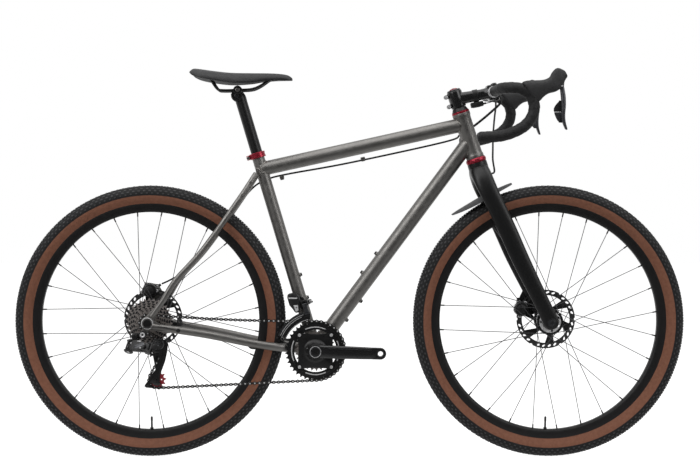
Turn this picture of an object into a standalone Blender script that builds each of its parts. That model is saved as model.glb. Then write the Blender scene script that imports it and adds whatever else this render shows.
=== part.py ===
"""Cyclocross bike with a titanium frame, a carbon fork, disc brakes and electronic derailleurs.

It stands on the ground plane Z 0, with its front towards +X and its drive side towards -Y. The
origin is on the ground, midway between the axles. All lengths are in metres.
"""

import math

import bmesh
import bpy
from mathutils import Matrix, Vector

# Gaps between pieces: CLEARANCE where they seat, TURNING_CLEARANCE where facets turn past facets.
CLEARANCE = 0.0003
TURNING_CLEARANCE = 0.0006

WHEELBASE = 1.0728
TYRE_RADIUS = 0.365
TYRE_WIDTH = 0.055
RIM_BEAD_RADIUS = 0.317
RIM_INNER_RADIUS = 0.293
RIM_WIDTH = 0.025
RIM_HOOK_DEPTH = 0.006
VALVE_LENGTH = 0.034
VALVE_RADIUS = 0.003
SPOKES = 28
SPOKE_RADIUS = 0.0012
NIPPLE_RADIUS = 0.0021
SPOKE_TANGENT_RADIUS = 0.032
SPOKE_SIDE_OFFSET = 0.0016
FLANGE_RADIUS = 0.0355
FLANGE_THICKNESS = 0.0058
FRONT_SPOKE_PHASE = math.radians(4.76)
REAR_SPOKE_PHASE = math.radians(6.96)
FRONT_VALVE_ANGLE = math.radians(-91.6)
REAR_VALVE_ANGLE = math.radians(-89.4)
WHEEL_STEPS = 32
ROUND_STEPS = 12

HUB_STEPS = 8
FRONT_SPACING = 0.100
REAR_SPACING = 0.142
FRONT_AXLE_RADIUS = 0.0075
REAR_AXLE_RADIUS = 0.006
FRONT_RIGHT_FLANGE = -0.033
FRONT_LEFT_FLANGE = 0.0215
REAR_RIGHT_FLANGE = -0.0205
REAR_LEFT_FLANGE = 0.0335
HUB_BARREL_RADIUS = 0.0155
HUB_END_RADIUS = 0.0125
FRONT_ROTOR_Y = 0.0390
REAR_ROTOR_Y = 0.0550
ROTOR_RADIUS = 0.080
ROTOR_BAND = 0.014
ROTOR_THICKNESS = 0.0018
ROTOR_ARMS = 6
ROTOR_SEAT_RADIUS = 0.0150

BB_DROP = 0.0756
CHAINSTAY_LENGTH = 0.4512
SEAT_TUBE_ANGLE = math.radians(73.3)
SEAT_TUBE_LENGTH = 0.550
SEAT_TUBE_RADIUS = 0.01675
SEAT_TUBE_BORE = 0.01575
SEAT_BORE_DEPTH = 0.330
TOP_TUBE_RADIUS = 0.019
TOP_TUBE_ON_SEAT_TUBE = 0.506
TOP_TUBE_ON_STEERING = 0.1028
DOWN_TUBE_RADIUS = 0.020
DOWN_TUBE_ON_STEERING = 0.0555
BB_SHELL_RADIUS = 0.0225
BB_SHELL_WIDTH = 0.068
BB_BORE = 0.0185
DROPOUT_THICKNESS = 0.007
DROPOUT_RADIUS = 0.016
BOSS_RADIUS = 0.0055
BOSS_HEIGHT = 0.003

# Head tube and steering, measured along the steering axis from the fork's crown race
HEAD_ANGLE = math.radians(72.1)
FORK_LENGTH = 0.471
FORK_RAKE = 0.052
HEAD_TUBE_START = 0.0070
HEAD_TUBE_END = 0.1333
HEAD_TUBE_RADIUS = 0.0225
HEAD_TUBE_LIP = 0.0242
HEAD_TUBE_BORE = 0.0210
STEERER_RADIUS = 0.0143
LOWER_CUP_RADIUS = 0.0275
UPPER_CUP_RADIUS = 0.0240
UPPER_CUP_HEIGHT = 0.0055
COVER_HEIGHT = 0.0105
STEM_CLAMP_HEIGHT = 0.046
STEM_CLAMP_RADIUS = 0.0205
STEM_LENGTH = 0.100
STEM_ANGLE = math.radians(10.9)
STEM_RADIUS = 0.0160
TOP_CAP_HEIGHT = 0.0045

BAR_CLAMP_RADIUS = 0.0159
BAR_RADIUS = 0.0119
TAPE_THICKNESS = 0.0028
PLUG_LENGTH = 0.0042
BAR_CLAMP_HALF_WIDTH = 0.030
STEM_FACE_HALF_WIDTH = 0.022
BAR_SIDES = 6
HOOD_OUT = 0.2145
LEVER_PIVOT_AHEAD = 0.148
LEVER_PIVOT_UP = 0.003
LEVER_SLOT_HALF = 0.0052
LEVER_PIN_RADIUS = 0.0020
PADDLE_PIN_RADIUS = 0.0010
MUDGUARD_RADIUS = 0.374
MUDGUARD_HALF_WIDTH = 0.0368

SEATPOST_RADIUS = 0.01545
SEATPOST_EXPOSED = 0.170
SEATPOST_INSERTED = 0.150
COLLAR_HEIGHT = 0.015
COLLAR_RADIUS = 0.0215
COLLAR_LIP = 0.002
SADDLE_RAIL_RADIUS = 0.0037
SADDLE_RAIL_SPREAD = 0.022

CHAIN_PITCH = 0.0127
CRANK_LENGTH = 0.1725
CRANK_ANGLE = math.radians(-1.65)
CRANK_AXLE_RADIUS = 0.012
CRANK_OUTER_FACE = 0.0750
CRANK_THICKNESS = 0.0125
CRANK_HUB_START = 0.0447
PEDAL_HOLE_RADIUS = 0.0071
OUTER_RING_TEETH = 39
INNER_RING_TEETH = 26
OUTER_RING_Y = -0.0475
INNER_RING_Y = -0.0395
RING_THICKNESS = 0.0019
SPIDER_BOLT_CIRCLE = 0.060
INNER_BOLT_CIRCLE = 0.041
SPIDER_THICKNESS = 0.005
COG_TEETH = (11, 12, 13, 14, 15, 17, 19, 21, 24, 27, 30)
COG_THICKNESS = 0.0016
COG_PITCH = 0.00374
SMALL_COG_Y = -0.0645
FREEHUB_RADIUS = 0.0165
PULLEY_TEETH = 11
PULLEY_THICKNESS = 0.0018
TOOTH_TIP = 0.0024
TOOTH_ROOT = 0.0046
CHAIN_HEIGHT = 0.0082
CHAIN_INNER_HALF_WIDTH = 0.0013
CHAIN_PLATE = 0.0007
CHAIN_PIN_HALF_LENGTH = 0.0016
UPPER_RUN_SAG = 0.0050

# Rear derailleur: the hanger bolt, the parallelogram's pin places and the pulleys, in the X Z plane
HANGER_BOLT = (-0.5463, 0.3373)
GUIDE_PULLEY = (-0.5159, 0.2949)
TENSION_PULLEY = (-0.5018, 0.2153)
CAGE_PIVOT = (-0.5060, 0.3120)
RD_BASE_PINS = Vector((-0.5812, -0.0800, 0.3048))
RD_TILT = math.radians(15.8)
RD_SLANT = math.radians(32)
RD_LINK = 0.0527
RD_LINK_HALF_WIDTH = 0.0090
RD_PIN_SPREAD = 0.0070
RD_PIN_RADIUS = 0.0018
EAR_THICKNESS = 0.0032
CAGE_HALF_WIDTH = 0.0045
CAGE_PLATE = 0.0015
CAGE_STUB_RADIUS = 0.0055
PULLEY_BOLT_RADIUS = 0.0030

FD_LEAN = math.radians(13)
FD_PIN_DISTANCE = 0.128
FD_LINK = 0.0255
FD_LINK_HALF_WIDTH = 0.0060
FD_PIN_SPREAD = 0.0060
FD_PIN_RADIUS = 0.0015
FD_CLAMP_DISTANCE = 0.1265
FD_CAGE_RADIUS = 0.0845
FD_CAGE_HALF_WIDTH = 0.0045

FRONT_CALIPER = (0.4690, 0.3930)
REAR_CALIPER = (-0.5460, 0.4420)
CALIPER_DEPTH = 0.036
CALIPER_LENGTH = 0.042
CALIPER_SLOT = 0.0034
FRONT_BRACKET = (
    (0.505, 0.440), (0.478, 0.444), (0.462, 0.412), (0.458, 0.378), (0.480, 0.372), (0.520, 0.385)
)
HOSE_RADIUS = 0.0025
WIRE_RADIUS = 0.0012
REAR_HOSE_BENDS = (
    (0.405, -0.032, 0.953), (0.381, -0.006, 0.927), (0.353, 0.020, 0.902), (0.335, 0.034, 0.888),
    (0.303, 0.033, 0.868), (0.260, 0.0230, 0.848), (0.000, 0.0230, 0.791),
    (-0.170, 0.0235, 0.7600), (-0.225, 0.0280, 0.7450), (-0.268, 0.0435, 0.7180),
    (-0.330, 0.0600, 0.6400), (-0.400, 0.0725, 0.5550), (-0.455, 0.0800, 0.4920),
    (-0.490, 0.0790, 0.4700), (-0.5140, 0.0660, 0.4590),
)
FRONT_HOSE_BENDS = (
    (0.4000, 0.0360, 0.9480), (0.3940, 0.0200, 0.9100), (0.3890, 0.0080, 0.8650),
    (0.3877, 0.0020, 0.8300), (0.3877, 0.0020, 0.7985), (0.3920, 0.0030, 0.7680),
)
WIRE_BENDS = (
    (-0.4584, -0.0775, 0.3480), (-0.4750, -0.0800, 0.3520), (-0.5000, -0.0850, 0.3570),
    (-0.5250, -0.0875, 0.3570), (-0.5450, -0.0900, 0.3560), (-0.5630, -0.0900, 0.3520),
    (-0.5760, -0.0850, 0.3430), (-0.5810, -0.0760, 0.3310), (-0.5802, -0.0735, 0.3253),
)

SEAT_DIRECTION = Vector((-math.cos(SEAT_TUBE_ANGLE), 0, math.sin(SEAT_TUBE_ANGLE)))
STEERING_DIRECTION = Vector((-math.cos(HEAD_ANGLE), 0, math.sin(HEAD_ANGLE)))
STEERING_FORWARD = Vector((math.sin(HEAD_ANGLE), 0, math.cos(HEAD_ANGLE)))
REAR_AXLE = Vector((-WHEELBASE / 2, 0, TYRE_RADIUS))
FRONT_AXLE = Vector((WHEELBASE / 2, 0, TYRE_RADIUS))
BOTTOM_BRACKET = REAR_AXLE + Vector((math.sqrt(CHAINSTAY_LENGTH**2 - BB_DROP**2), 0, -BB_DROP))
CROWN_RACE = FRONT_AXLE - FORK_RAKE * STEERING_FORWARD + FORK_LENGTH * STEERING_DIRECTION
SEAT_TUBE_TOP = BOTTOM_BRACKET + SEAT_TUBE_LENGTH * SEAT_DIRECTION
LATERAL = Vector((0, 1, 0))


def on_steering(distance):
    """The point of the steering axis at this distance above the crown race."""
    return CROWN_RACE + distance * STEERING_DIRECTION


def on_seat_tube(distance):
    """The point of the seat tube's axis at this distance above the bottom bracket."""
    return BOTTOM_BRACKET + distance * SEAT_DIRECTION


def material(name, colour, roughness, metallic=0.0):
    made = bpy.data.materials.new(name)
    made.use_nodes = True
    shader = made.node_tree.nodes["Principled BSDF"]
    shader.inputs["Base Color"].default_value = (*colour, 1.0)
    shader.inputs["Roughness"].default_value = roughness
    shader.inputs["Metallic"].default_value = metallic
    made.diffuse_color = (*colour, 1.0)
    return made


def make_materials():
    return {
        "titanium": material("titanium", (0.42, 0.42, 0.42), 0.35, 1.0),
        "carbon": material("carbon", (0.012, 0.012, 0.013), 0.25),
        "black_metal": material("black_metal", (0.02, 0.02, 0.022), 0.4, 0.6),
        "grey_metal": material("grey_metal", (0.18, 0.18, 0.19), 0.35, 0.9),
        "silver": material("silver", (0.55, 0.55, 0.56), 0.3, 1.0),
        "steel": material("steel", (0.45, 0.45, 0.45), 0.35, 1.0),
        "red": material("red", (0.45, 0.01, 0.015), 0.3, 0.8),
        "tyre": material("tyre", (0.035, 0.035, 0.035), 0.85),
        "rubber": material("rubber", (0.02, 0.02, 0.02), 0.6),
        "saddle": material("saddle", (0.02, 0.02, 0.022), 0.5),
        "plastic": material("plastic", (0.03, 0.03, 0.032), 0.5),
    }


def frame_matrix(origin, z_direction, x_hint):
    """A matrix whose Z axis is z_direction and whose X axis is as near x_hint as that allows."""
    z_axis = Vector(z_direction).normalized()
    x_axis = (Vector(x_hint) - z_axis * z_axis.dot(Vector(x_hint))).normalized()
    y_axis = z_axis.cross(x_axis)
    rotation = Matrix((x_axis, y_axis, z_axis)).transposed()
    return Matrix.Translation(Vector(origin)) @ rotation.to_4x4()


def across(centre):
    """Local X forward, local Y up and local Z towards the drive side, which is -Y."""
    return frame_matrix(centre, (0, -1, 0), (1, 0, 0))


def store(name, mesh_data, look):
    """Writes a bmesh to a new object with its normals pointing out."""
    bmesh.ops.recalc_face_normals(mesh_data, faces=mesh_data.faces)
    if mesh_data.calc_volume(signed=True) < 0:
        bmesh.ops.reverse_faces(mesh_data, faces=mesh_data.faces)
    mesh = bpy.data.meshes.new(name)
    mesh_data.to_mesh(mesh)
    mesh_data.free()
    made = bpy.data.objects.new(name, mesh)
    bpy.context.scene.collection.objects.link(made)
    shade(made)
    if look is not None:
        made.data.materials.append(look)
    return made


def shade(made):
    made.data.shade_smooth()
    made.data.set_sharp_from_angle(angle=math.radians(35))


def turned(name, profile, place, look, steps=20, start=0.0):
    """A turned piece: profile is a list of (radius, height) about the local Z axis.

    A profile that keeps off the axis is closed into a ring, and one that ends on it is a solid.
    """
    work = bmesh.new()
    points = [
        work.verts.new((radius * math.cos(start), radius * math.sin(start), height))
        for radius, height in profile
    ]
    edges = [work.edges.new(pair) for pair in zip(points, points[1:])]
    if min(radius for radius, height in profile) > 0:
        edges.append(work.edges.new((points[-1], points[0])))
    bmesh.ops.spin(
        work,
        geom=points + edges,
        cent=(0, 0, 0),
        axis=(0, 0, 1),
        angle=2 * math.pi,
        steps=steps,
        use_merge=True,
    )
    bmesh.ops.remove_doubles(work, verts=work.verts, dist=1e-7)
    work.transform(place)
    return store(name, work, look)


def cylinder(name, start, end, radius, look, sides=16, x_hint=(0, 1, 0)):
    """A round bar between two points."""
    start, end = Vector(start), Vector(end)
    length = (end - start).length
    place = frame_matrix(start, end - start, x_hint)
    return turned(name, [(0, 0), (radius, 0), (radius, length), (0, length)], place, look, sides)


def slab(name, outline, low, high, place, look):
    """A plate: a 2D outline in the local X Y plane, extruded from local Z low to high."""
    work = bmesh.new()
    face = work.faces.new([work.verts.new((x, y, low)) for x, y in outline])
    grown = bmesh.ops.extrude_face_region(work, geom=[face])
    top = [item for item in grown["geom"] if isinstance(item, bmesh.types.BMVert)]
    bmesh.ops.translate(work, vec=(0, 0, high - low), verts=top)
    work.transform(place)
    return store(name, work, look)


def block(name, place, size, look, bevel=0.0):
    """A box centred on the place, with its edges bevelled."""
    work = bmesh.new()
    bmesh.ops.create_cube(work, size=1.0)
    bmesh.ops.scale(work, vec=size, verts=work.verts)
    if bevel > 0:
        bmesh.ops.bevel(
            work, geom=work.edges[:], offset=bevel, segments=1, affect="EDGES", profile=0.5
        )
    work.transform(place)
    return store(name, work, look)


def loft(name, rings, look):
    """A skin bridged over closed rings of equally many points, capped at both ends."""
    work = bmesh.new()
    rows = [[work.verts.new(point) for point in ring] for ring in rings]
    for first, second in zip(rows, rows[1:]):
        for index, corner in enumerate(first):
            after = (index + 1) % len(first)
            work.faces.new((corner, first[after], second[after], second[index]))
    work.faces.new(rows[0][::-1])
    work.faces.new(rows[-1])
    return store(name, work, look)


def ellipse_ring(centre, first, second, sides, power=1.0):
    """Points round a centre, on an ellipse whose half axes are the two vectors.

    A power under 1 squares the ellipse off.
    """
    points = []
    for index in range(sides):
        angle = 2 * math.pi * (index + 0.5) / sides
        across_part, along_part = math.cos(angle), math.sin(angle)
        across_part = math.copysign(abs(across_part) ** power, across_part)
        along_part = math.copysign(abs(along_part) ** power, along_part)
        points.append(Vector(centre) + Vector(first) * across_part + Vector(second) * along_part)
    return points


def smooth_path(points, per_span):
    """A Catmull-Rom curve through the points, with per_span steps between neighbours."""
    points = [Vector(point) for point in points]
    padded = [2 * points[0] - points[1], *points, 2 * points[-1] - points[-2]]
    path = []
    for before, start, end, after in zip(padded, padded[1:], padded[2:], padded[3:]):
        for step in range(per_span):
            t = step / per_span
            path.append(
                0.5
                * (
                    2 * start
                    + (end - before) * t
                    + (2 * before - 5 * start + 4 * end - after) * t**2
                    + (3 * start - before - 3 * end + after) * t**3
                )
            )
    path.append(points[-1])
    return path


def swept(name, path, radii, look, sides, hint=(0, 1, 0), squash=1.0, power=1.0):
    """A bar of round or oval section along a path.

    radii is one radius or one per point, or one pair of half sizes per point: the first of a pair
    lies in the direction of hint. squash scales a radius in that direction.
    """
    rings = []
    for index, point in enumerate(path):
        size = radii[index] if isinstance(radii, list) else radii
        first, second = size if isinstance(size, tuple) else (size * squash, size)
        place = frame_matrix(point, heading_at(path, index), hint).to_3x3()
        rings.append(ellipse_ring(point, place.col[0] * first, place.col[1] * second, sides, power))
    return loft(name, rings, look)


def heading_at(path, index):
    """The direction of a path at one of its points."""
    return path[min(index + 1, len(path) - 1)] - path[max(index - 1, 0)]


def combine(base, others, operation):
    """Joins or cuts by one exact Boolean against all the others at once, and leaves one mesh."""
    group = bpy.data.collections.new("operands")
    bpy.context.scene.collection.children.link(group)
    for other in others:
        group.objects.link(other)
    modifier = base.modifiers.new(operation.lower(), "BOOLEAN")
    modifier.operation = operation
    modifier.solver = "EXACT"
    modifier.operand_type = "COLLECTION"
    modifier.collection = group
    graph = bpy.context.evaluated_depsgraph_get()
    base.data = bpy.data.meshes.new_from_object(base.evaluated_get(graph))
    base.modifiers.clear()
    for other in others:
        bpy.data.objects.remove(other, do_unlink=True)
    bpy.data.collections.remove(group)
    shade(base)
    return base


def join(base, others):
    return combine(base, others, "UNION")


def cut(base, others):
    return combine(base, others, "DIFFERENCE")


def mixed(first, second, share):
    return first + (second - first) * share


def stay_path(points, side):
    return [Vector((x, side * y, z)) for x, y, z in points]


def chainstay(side):
    """One chainstay: out from the shell, past the chainrings and the tyre, to the dropout."""
    rear = REAR_AXLE
    dropout_y = REAR_SPACING / 2 + DROPOUT_THICKNESS / 2
    points = [
        (BOTTOM_BRACKET.x - 0.006, 0.0200, BOTTOM_BRACKET.z),
        (BOTTOM_BRACKET.x - 0.055, 0.0240, BOTTOM_BRACKET.z + 0.003),
        (BOTTOM_BRACKET.x - 0.110, 0.0415, BOTTOM_BRACKET.z + 0.010),
        (BOTTOM_BRACKET.x - 0.170, 0.0480, BOTTOM_BRACKET.z + 0.020),
        (rear.x + 0.150, 0.0600, rear.z - 0.0300),
        (rear.x + 0.012, dropout_y, rear.z - 0.0080),
    ]
    path = stay_path(points, side)
    radii = [mixed(0.0118, 0.0095, index / (len(path) - 1)) for index in range(len(path))]
    return swept("chainstay", path, radii, None, 8, squash=0.8)


def seatstay(side):
    """One seatstay: a slight S from the dropout to the seat tube."""
    rear = REAR_AXLE
    dropout_y = REAR_SPACING / 2 + DROPOUT_THICKNESS / 2
    points = [
        (rear.x + 0.0115, dropout_y, rear.z + 0.0185),
        (rear.x + 0.042, 0.0755, rear.z + 0.0616),
        (rear.x + 0.075, 0.0720, rear.z + 0.1143),
        (rear.x + 0.1458, 0.0580, rear.z + 0.1935),
        (rear.x + 0.2405, 0.0380, rear.z + 0.3260),
        (rear.x + 0.2860, 0.0170, rear.z + 0.3960),
    ]
    path = stay_path(points, side)
    radii = [mixed(0.0072, 0.0085, index / (len(path) - 1)) for index in range(len(path))]
    return swept("seatstay", path, radii, None, 8)


def dropout(side):
    """A dropout plate round the rear axle. The right one carries the derailleur hanger, and the
    left one rises to the brake mount."""
    axle_x, axle_z = REAR_AXLE.x, REAR_AXLE.z
    inner = REAR_SPACING / 2
    arc = [
        (
            axle_x + DROPOUT_RADIUS * math.cos(math.radians(angle)),
            axle_z + DROPOUT_RADIUS * math.sin(math.radians(angle)),
        )
        for angle in (150, 180, 210)
    ]
    front = [(axle_x + 0.034, axle_z - 0.016), (axle_x + 0.036, axle_z - 0.002)]
    inner_corner = [(axle_x + 0.017, axle_z + 0.007)]
    stay_top = [(axle_x + 0.029, axle_z + 0.032), (axle_x + 0.017, axle_z + 0.040)]
    if side < 0:
        bolt_x, bolt_z = HANGER_BOLT
        foot = [
            (bolt_x - 0.0085, bolt_z + 0.003),
            (bolt_x - 0.006, bolt_z - 0.0075),
            (bolt_x + 0.006, bolt_z - 0.0075),
            (bolt_x + 0.011, bolt_z + 0.006),
            (axle_x + 0.010, axle_z - 0.0145),
        ]
        outline = [*inner_corner, *stay_top, *arc, *foot, *front]
    else:
        mount = [
            (axle_x + 0.012, axle_z + 0.092),
            (axle_x - 0.026, axle_z + 0.098),
            (axle_x - 0.030, axle_z + 0.070),
            (axle_x - 0.004, axle_z + 0.048),
        ]
        foot = [(axle_x - 0.005, axle_z - 0.0155), (axle_x + 0.010, axle_z - 0.0145)]
        outline = [*inner_corner, stay_top[0], (axle_x + 0.030, axle_z + 0.060), *mount, *arc]
        outline += [*foot, *front]
    flat = [(x, z) for x, z in outline]
    low, high = sorted((-side * inner, -side * (inner + DROPOUT_THICKNESS)))
    return slab("dropout", flat, low, high, across((0, 0, 0)), None)


def bottle_boss(tube_point, outward):
    """A threaded bottle boss standing off a tube."""
    foot = tube_point - outward * 0.003
    return cylinder("boss", foot, tube_point + outward * BOSS_HEIGHT, BOSS_RADIUS, None, 6)


def boss_places():
    """Bottle bosses: on the down tube's upper and lower sides and on the seat tube's front."""
    down_top = on_steering(DOWN_TUBE_ON_STEERING)
    along = (down_top - BOTTOM_BRACKET).normalized()
    upward = Vector((-along.z, 0, along.x))
    forward = Vector((SEAT_DIRECTION.z, 0, -SEAT_DIRECTION.x))
    places = []
    for distance in (0.240, 0.304):
        places.append((BOTTOM_BRACKET + along * distance + upward * DOWN_TUBE_RADIUS, upward))
    for distance in (0.112, 0.176):
        places.append((BOTTOM_BRACKET + along * distance - upward * DOWN_TUBE_RADIUS, -upward))
    for distance in (0.139, 0.203):
        places.append((on_seat_tube(distance) + forward * SEAT_TUBE_RADIUS, forward))
    return places


def build_frame(looks):
    """The welded titanium frame: tubes joined into one body, then its bores cut."""
    head_place = frame_matrix(on_steering(0), STEERING_DIRECTION, STEERING_FORWARD)
    start, end, lip = HEAD_TUBE_START, HEAD_TUBE_END, 0.008
    head_profile = [
        (0, start),
        (HEAD_TUBE_LIP, start),
        (HEAD_TUBE_LIP, start + lip),
        (HEAD_TUBE_RADIUS, start + 1.6 * lip),
        (HEAD_TUBE_RADIUS, end - 1.6 * lip),
        (HEAD_TUBE_LIP, end - lip),
        (HEAD_TUBE_LIP, end),
        (0, end),
    ]
    frame = turned("frame", head_profile, head_place, looks["titanium"], ROUND_STEPS)
    shell = cylinder(
        "shell",
        BOTTOM_BRACKET - LATERAL * BB_SHELL_WIDTH / 2,
        BOTTOM_BRACKET + LATERAL * BB_SHELL_WIDTH / 2,
        BB_SHELL_RADIUS,
        None,
        ROUND_STEPS,
        (1, 0, 0),
    )
    top_start = on_seat_tube(TOP_TUBE_ON_SEAT_TUBE)
    tubes = [
        cylinder(
            "seat_tube", BOTTOM_BRACKET, SEAT_TUBE_TOP, SEAT_TUBE_RADIUS, None, ROUND_STEPS
        ),
        cylinder(
            "top_tube", top_start, on_steering(TOP_TUBE_ON_STEERING), TOP_TUBE_RADIUS, None,
            ROUND_STEPS,
        ),
        cylinder(
            "down_tube", BOTTOM_BRACKET, on_steering(DOWN_TUBE_ON_STEERING), DOWN_TUBE_RADIUS, None,
            ROUND_STEPS,
        ),
        shell,
    ]
    stays = []
    for side in (-1, 1):
        stays += [chainstay(side), seatstay(side), dropout(side)]
    stay_bridge = REAR_AXLE + Vector((0.2405, 0, 0.3260))
    chain_bridge = BOTTOM_BRACKET + Vector((-0.058, 0, 0.003))
    bridges = [
        cylinder(
            "stay_bridge", stay_bridge - LATERAL * 0.038, stay_bridge + LATERAL * 0.038, 0.0065,
            None, 8, (1, 0, 0),
        ),
        cylinder(
            "chain_bridge", chain_bridge - LATERAL * 0.025, chain_bridge + LATERAL * 0.025, 0.0065,
            None, 8, (1, 0, 0),
        ),
    ]
    bosses = [bottle_boss(point, outward) for point, outward in boss_places()]
    join(frame, tubes + stays + bridges + bosses)
    cut(frame, frame_bores())
    return frame


def frame_bores():
    """Cutters for the head tube, the seat tube and its slot, the shell and the axle holes."""
    seat_bore_start = on_seat_tube(SEAT_TUBE_LENGTH - SEAT_BORE_DEPTH)
    head = cylinder(
        "head_bore",
        on_steering(HEAD_TUBE_START - 0.01),
        on_steering(HEAD_TUBE_END + 0.01),
        HEAD_TUBE_BORE,
        None,
        ROUND_STEPS,
        STEERING_FORWARD,
    )
    seat = cylinder(
        "seat_bore", seat_bore_start, on_seat_tube(SEAT_TUBE_LENGTH + 0.01), SEAT_TUBE_BORE, None,
        ROUND_STEPS,
    )
    slot_place = frame_matrix(
        on_seat_tube(SEAT_TUBE_LENGTH - 0.010) - Vector((SEAT_TUBE_RADIUS, 0, 0)),
        SEAT_DIRECTION,
        (1, 0, 0),
    )
    slot = block("slot", slot_place, (0.012, 0.002, 0.040), None)
    shell = cylinder(
        "shell_bore",
        BOTTOM_BRACKET - LATERAL * BB_SHELL_WIDTH,
        BOTTOM_BRACKET + LATERAL * BB_SHELL_WIDTH,
        BB_BORE,
        None,
        ROUND_STEPS,
        (1, 0, 0),
    )
    axle = cylinder(
        "axle_bore",
        REAR_AXLE - LATERAL * REAR_SPACING,
        REAR_AXLE + LATERAL * REAR_SPACING,
        REAR_AXLE_RADIUS + TURNING_CLEARANCE,
        None,
        10,
        (1, 0, 0),
    )
    hanger = cylinder(
        "hanger_bore",
        (HANGER_BOLT[0], -REAR_SPACING, HANGER_BOLT[1]),
        (HANGER_BOLT[0], 0, HANGER_BOLT[1]),
        0.0045 + CLEARANCE,
        None,
        8,
        (1, 0, 0),
    )
    return [head, seat, slot, shell, axle, hanger]


def build_headset(looks):
    """Two press-in cups, their bearings inside them, and the conical cover under the stem."""
    place = frame_matrix(on_steering(0), STEERING_DIRECTION, STEERING_FORWARD)
    bore = STEERER_RADIUS + TURNING_CLEARANCE
    skirt = HEAD_TUBE_BORE - CLEARANCE
    start, end = HEAD_TUBE_START - CLEARANCE, HEAD_TUBE_END + CLEARANCE
    lower = [
        (bore, -0.0052),
        (LOWER_CUP_RADIUS - 0.0015, -0.0052),
        (LOWER_CUP_RADIUS, -0.0035),
        (LOWER_CUP_RADIUS, 0.0030),
        (HEAD_TUBE_LIP + 0.0005, start),
        (skirt, start),
        (skirt, start + 0.012),
        (bore, start + 0.012),
    ]
    turned("headset_lower_cup", lower, place, looks["red"], ROUND_STEPS)
    upper = [
        (bore, end - 0.012),
        (skirt, end - 0.012),
        (skirt, end),
        (UPPER_CUP_RADIUS, end),
        (UPPER_CUP_RADIUS, end + UPPER_CUP_HEIGHT - 0.0015),
        (UPPER_CUP_RADIUS - 0.0015, end + UPPER_CUP_HEIGHT),
        (bore, end + UPPER_CUP_HEIGHT),
    ]
    turned("headset_upper_cup", upper, place, looks["red"], ROUND_STEPS)
    base = end + UPPER_CUP_HEIGHT + CLEARANCE
    cover = [
        (bore, base),
        (UPPER_CUP_RADIUS - 0.001, base),
        (STEM_CLAMP_RADIUS - 0.002, base + COVER_HEIGHT - 0.003),
        (STEM_CLAMP_RADIUS - 0.002, base + COVER_HEIGHT),
        (bore, base + COVER_HEIGHT),
    ]
    turned("headset_cover", cover, place, looks["black_metal"], ROUND_STEPS)


def stem_base():
    """Where the stem's clamp starts on the steering axis."""
    return HEAD_TUBE_END + 3 * CLEARANCE + UPPER_CUP_HEIGHT + COVER_HEIGHT


def stem_direction():
    return Vector((math.cos(STEM_ANGLE), 0, math.sin(STEM_ANGLE)))


def bar_centre():
    """The centre of the bar clamp, at the stem's length from the steering axis."""
    return on_steering(stem_base() + STEM_CLAMP_HEIGHT / 2) + stem_direction() * STEM_LENGTH


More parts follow.
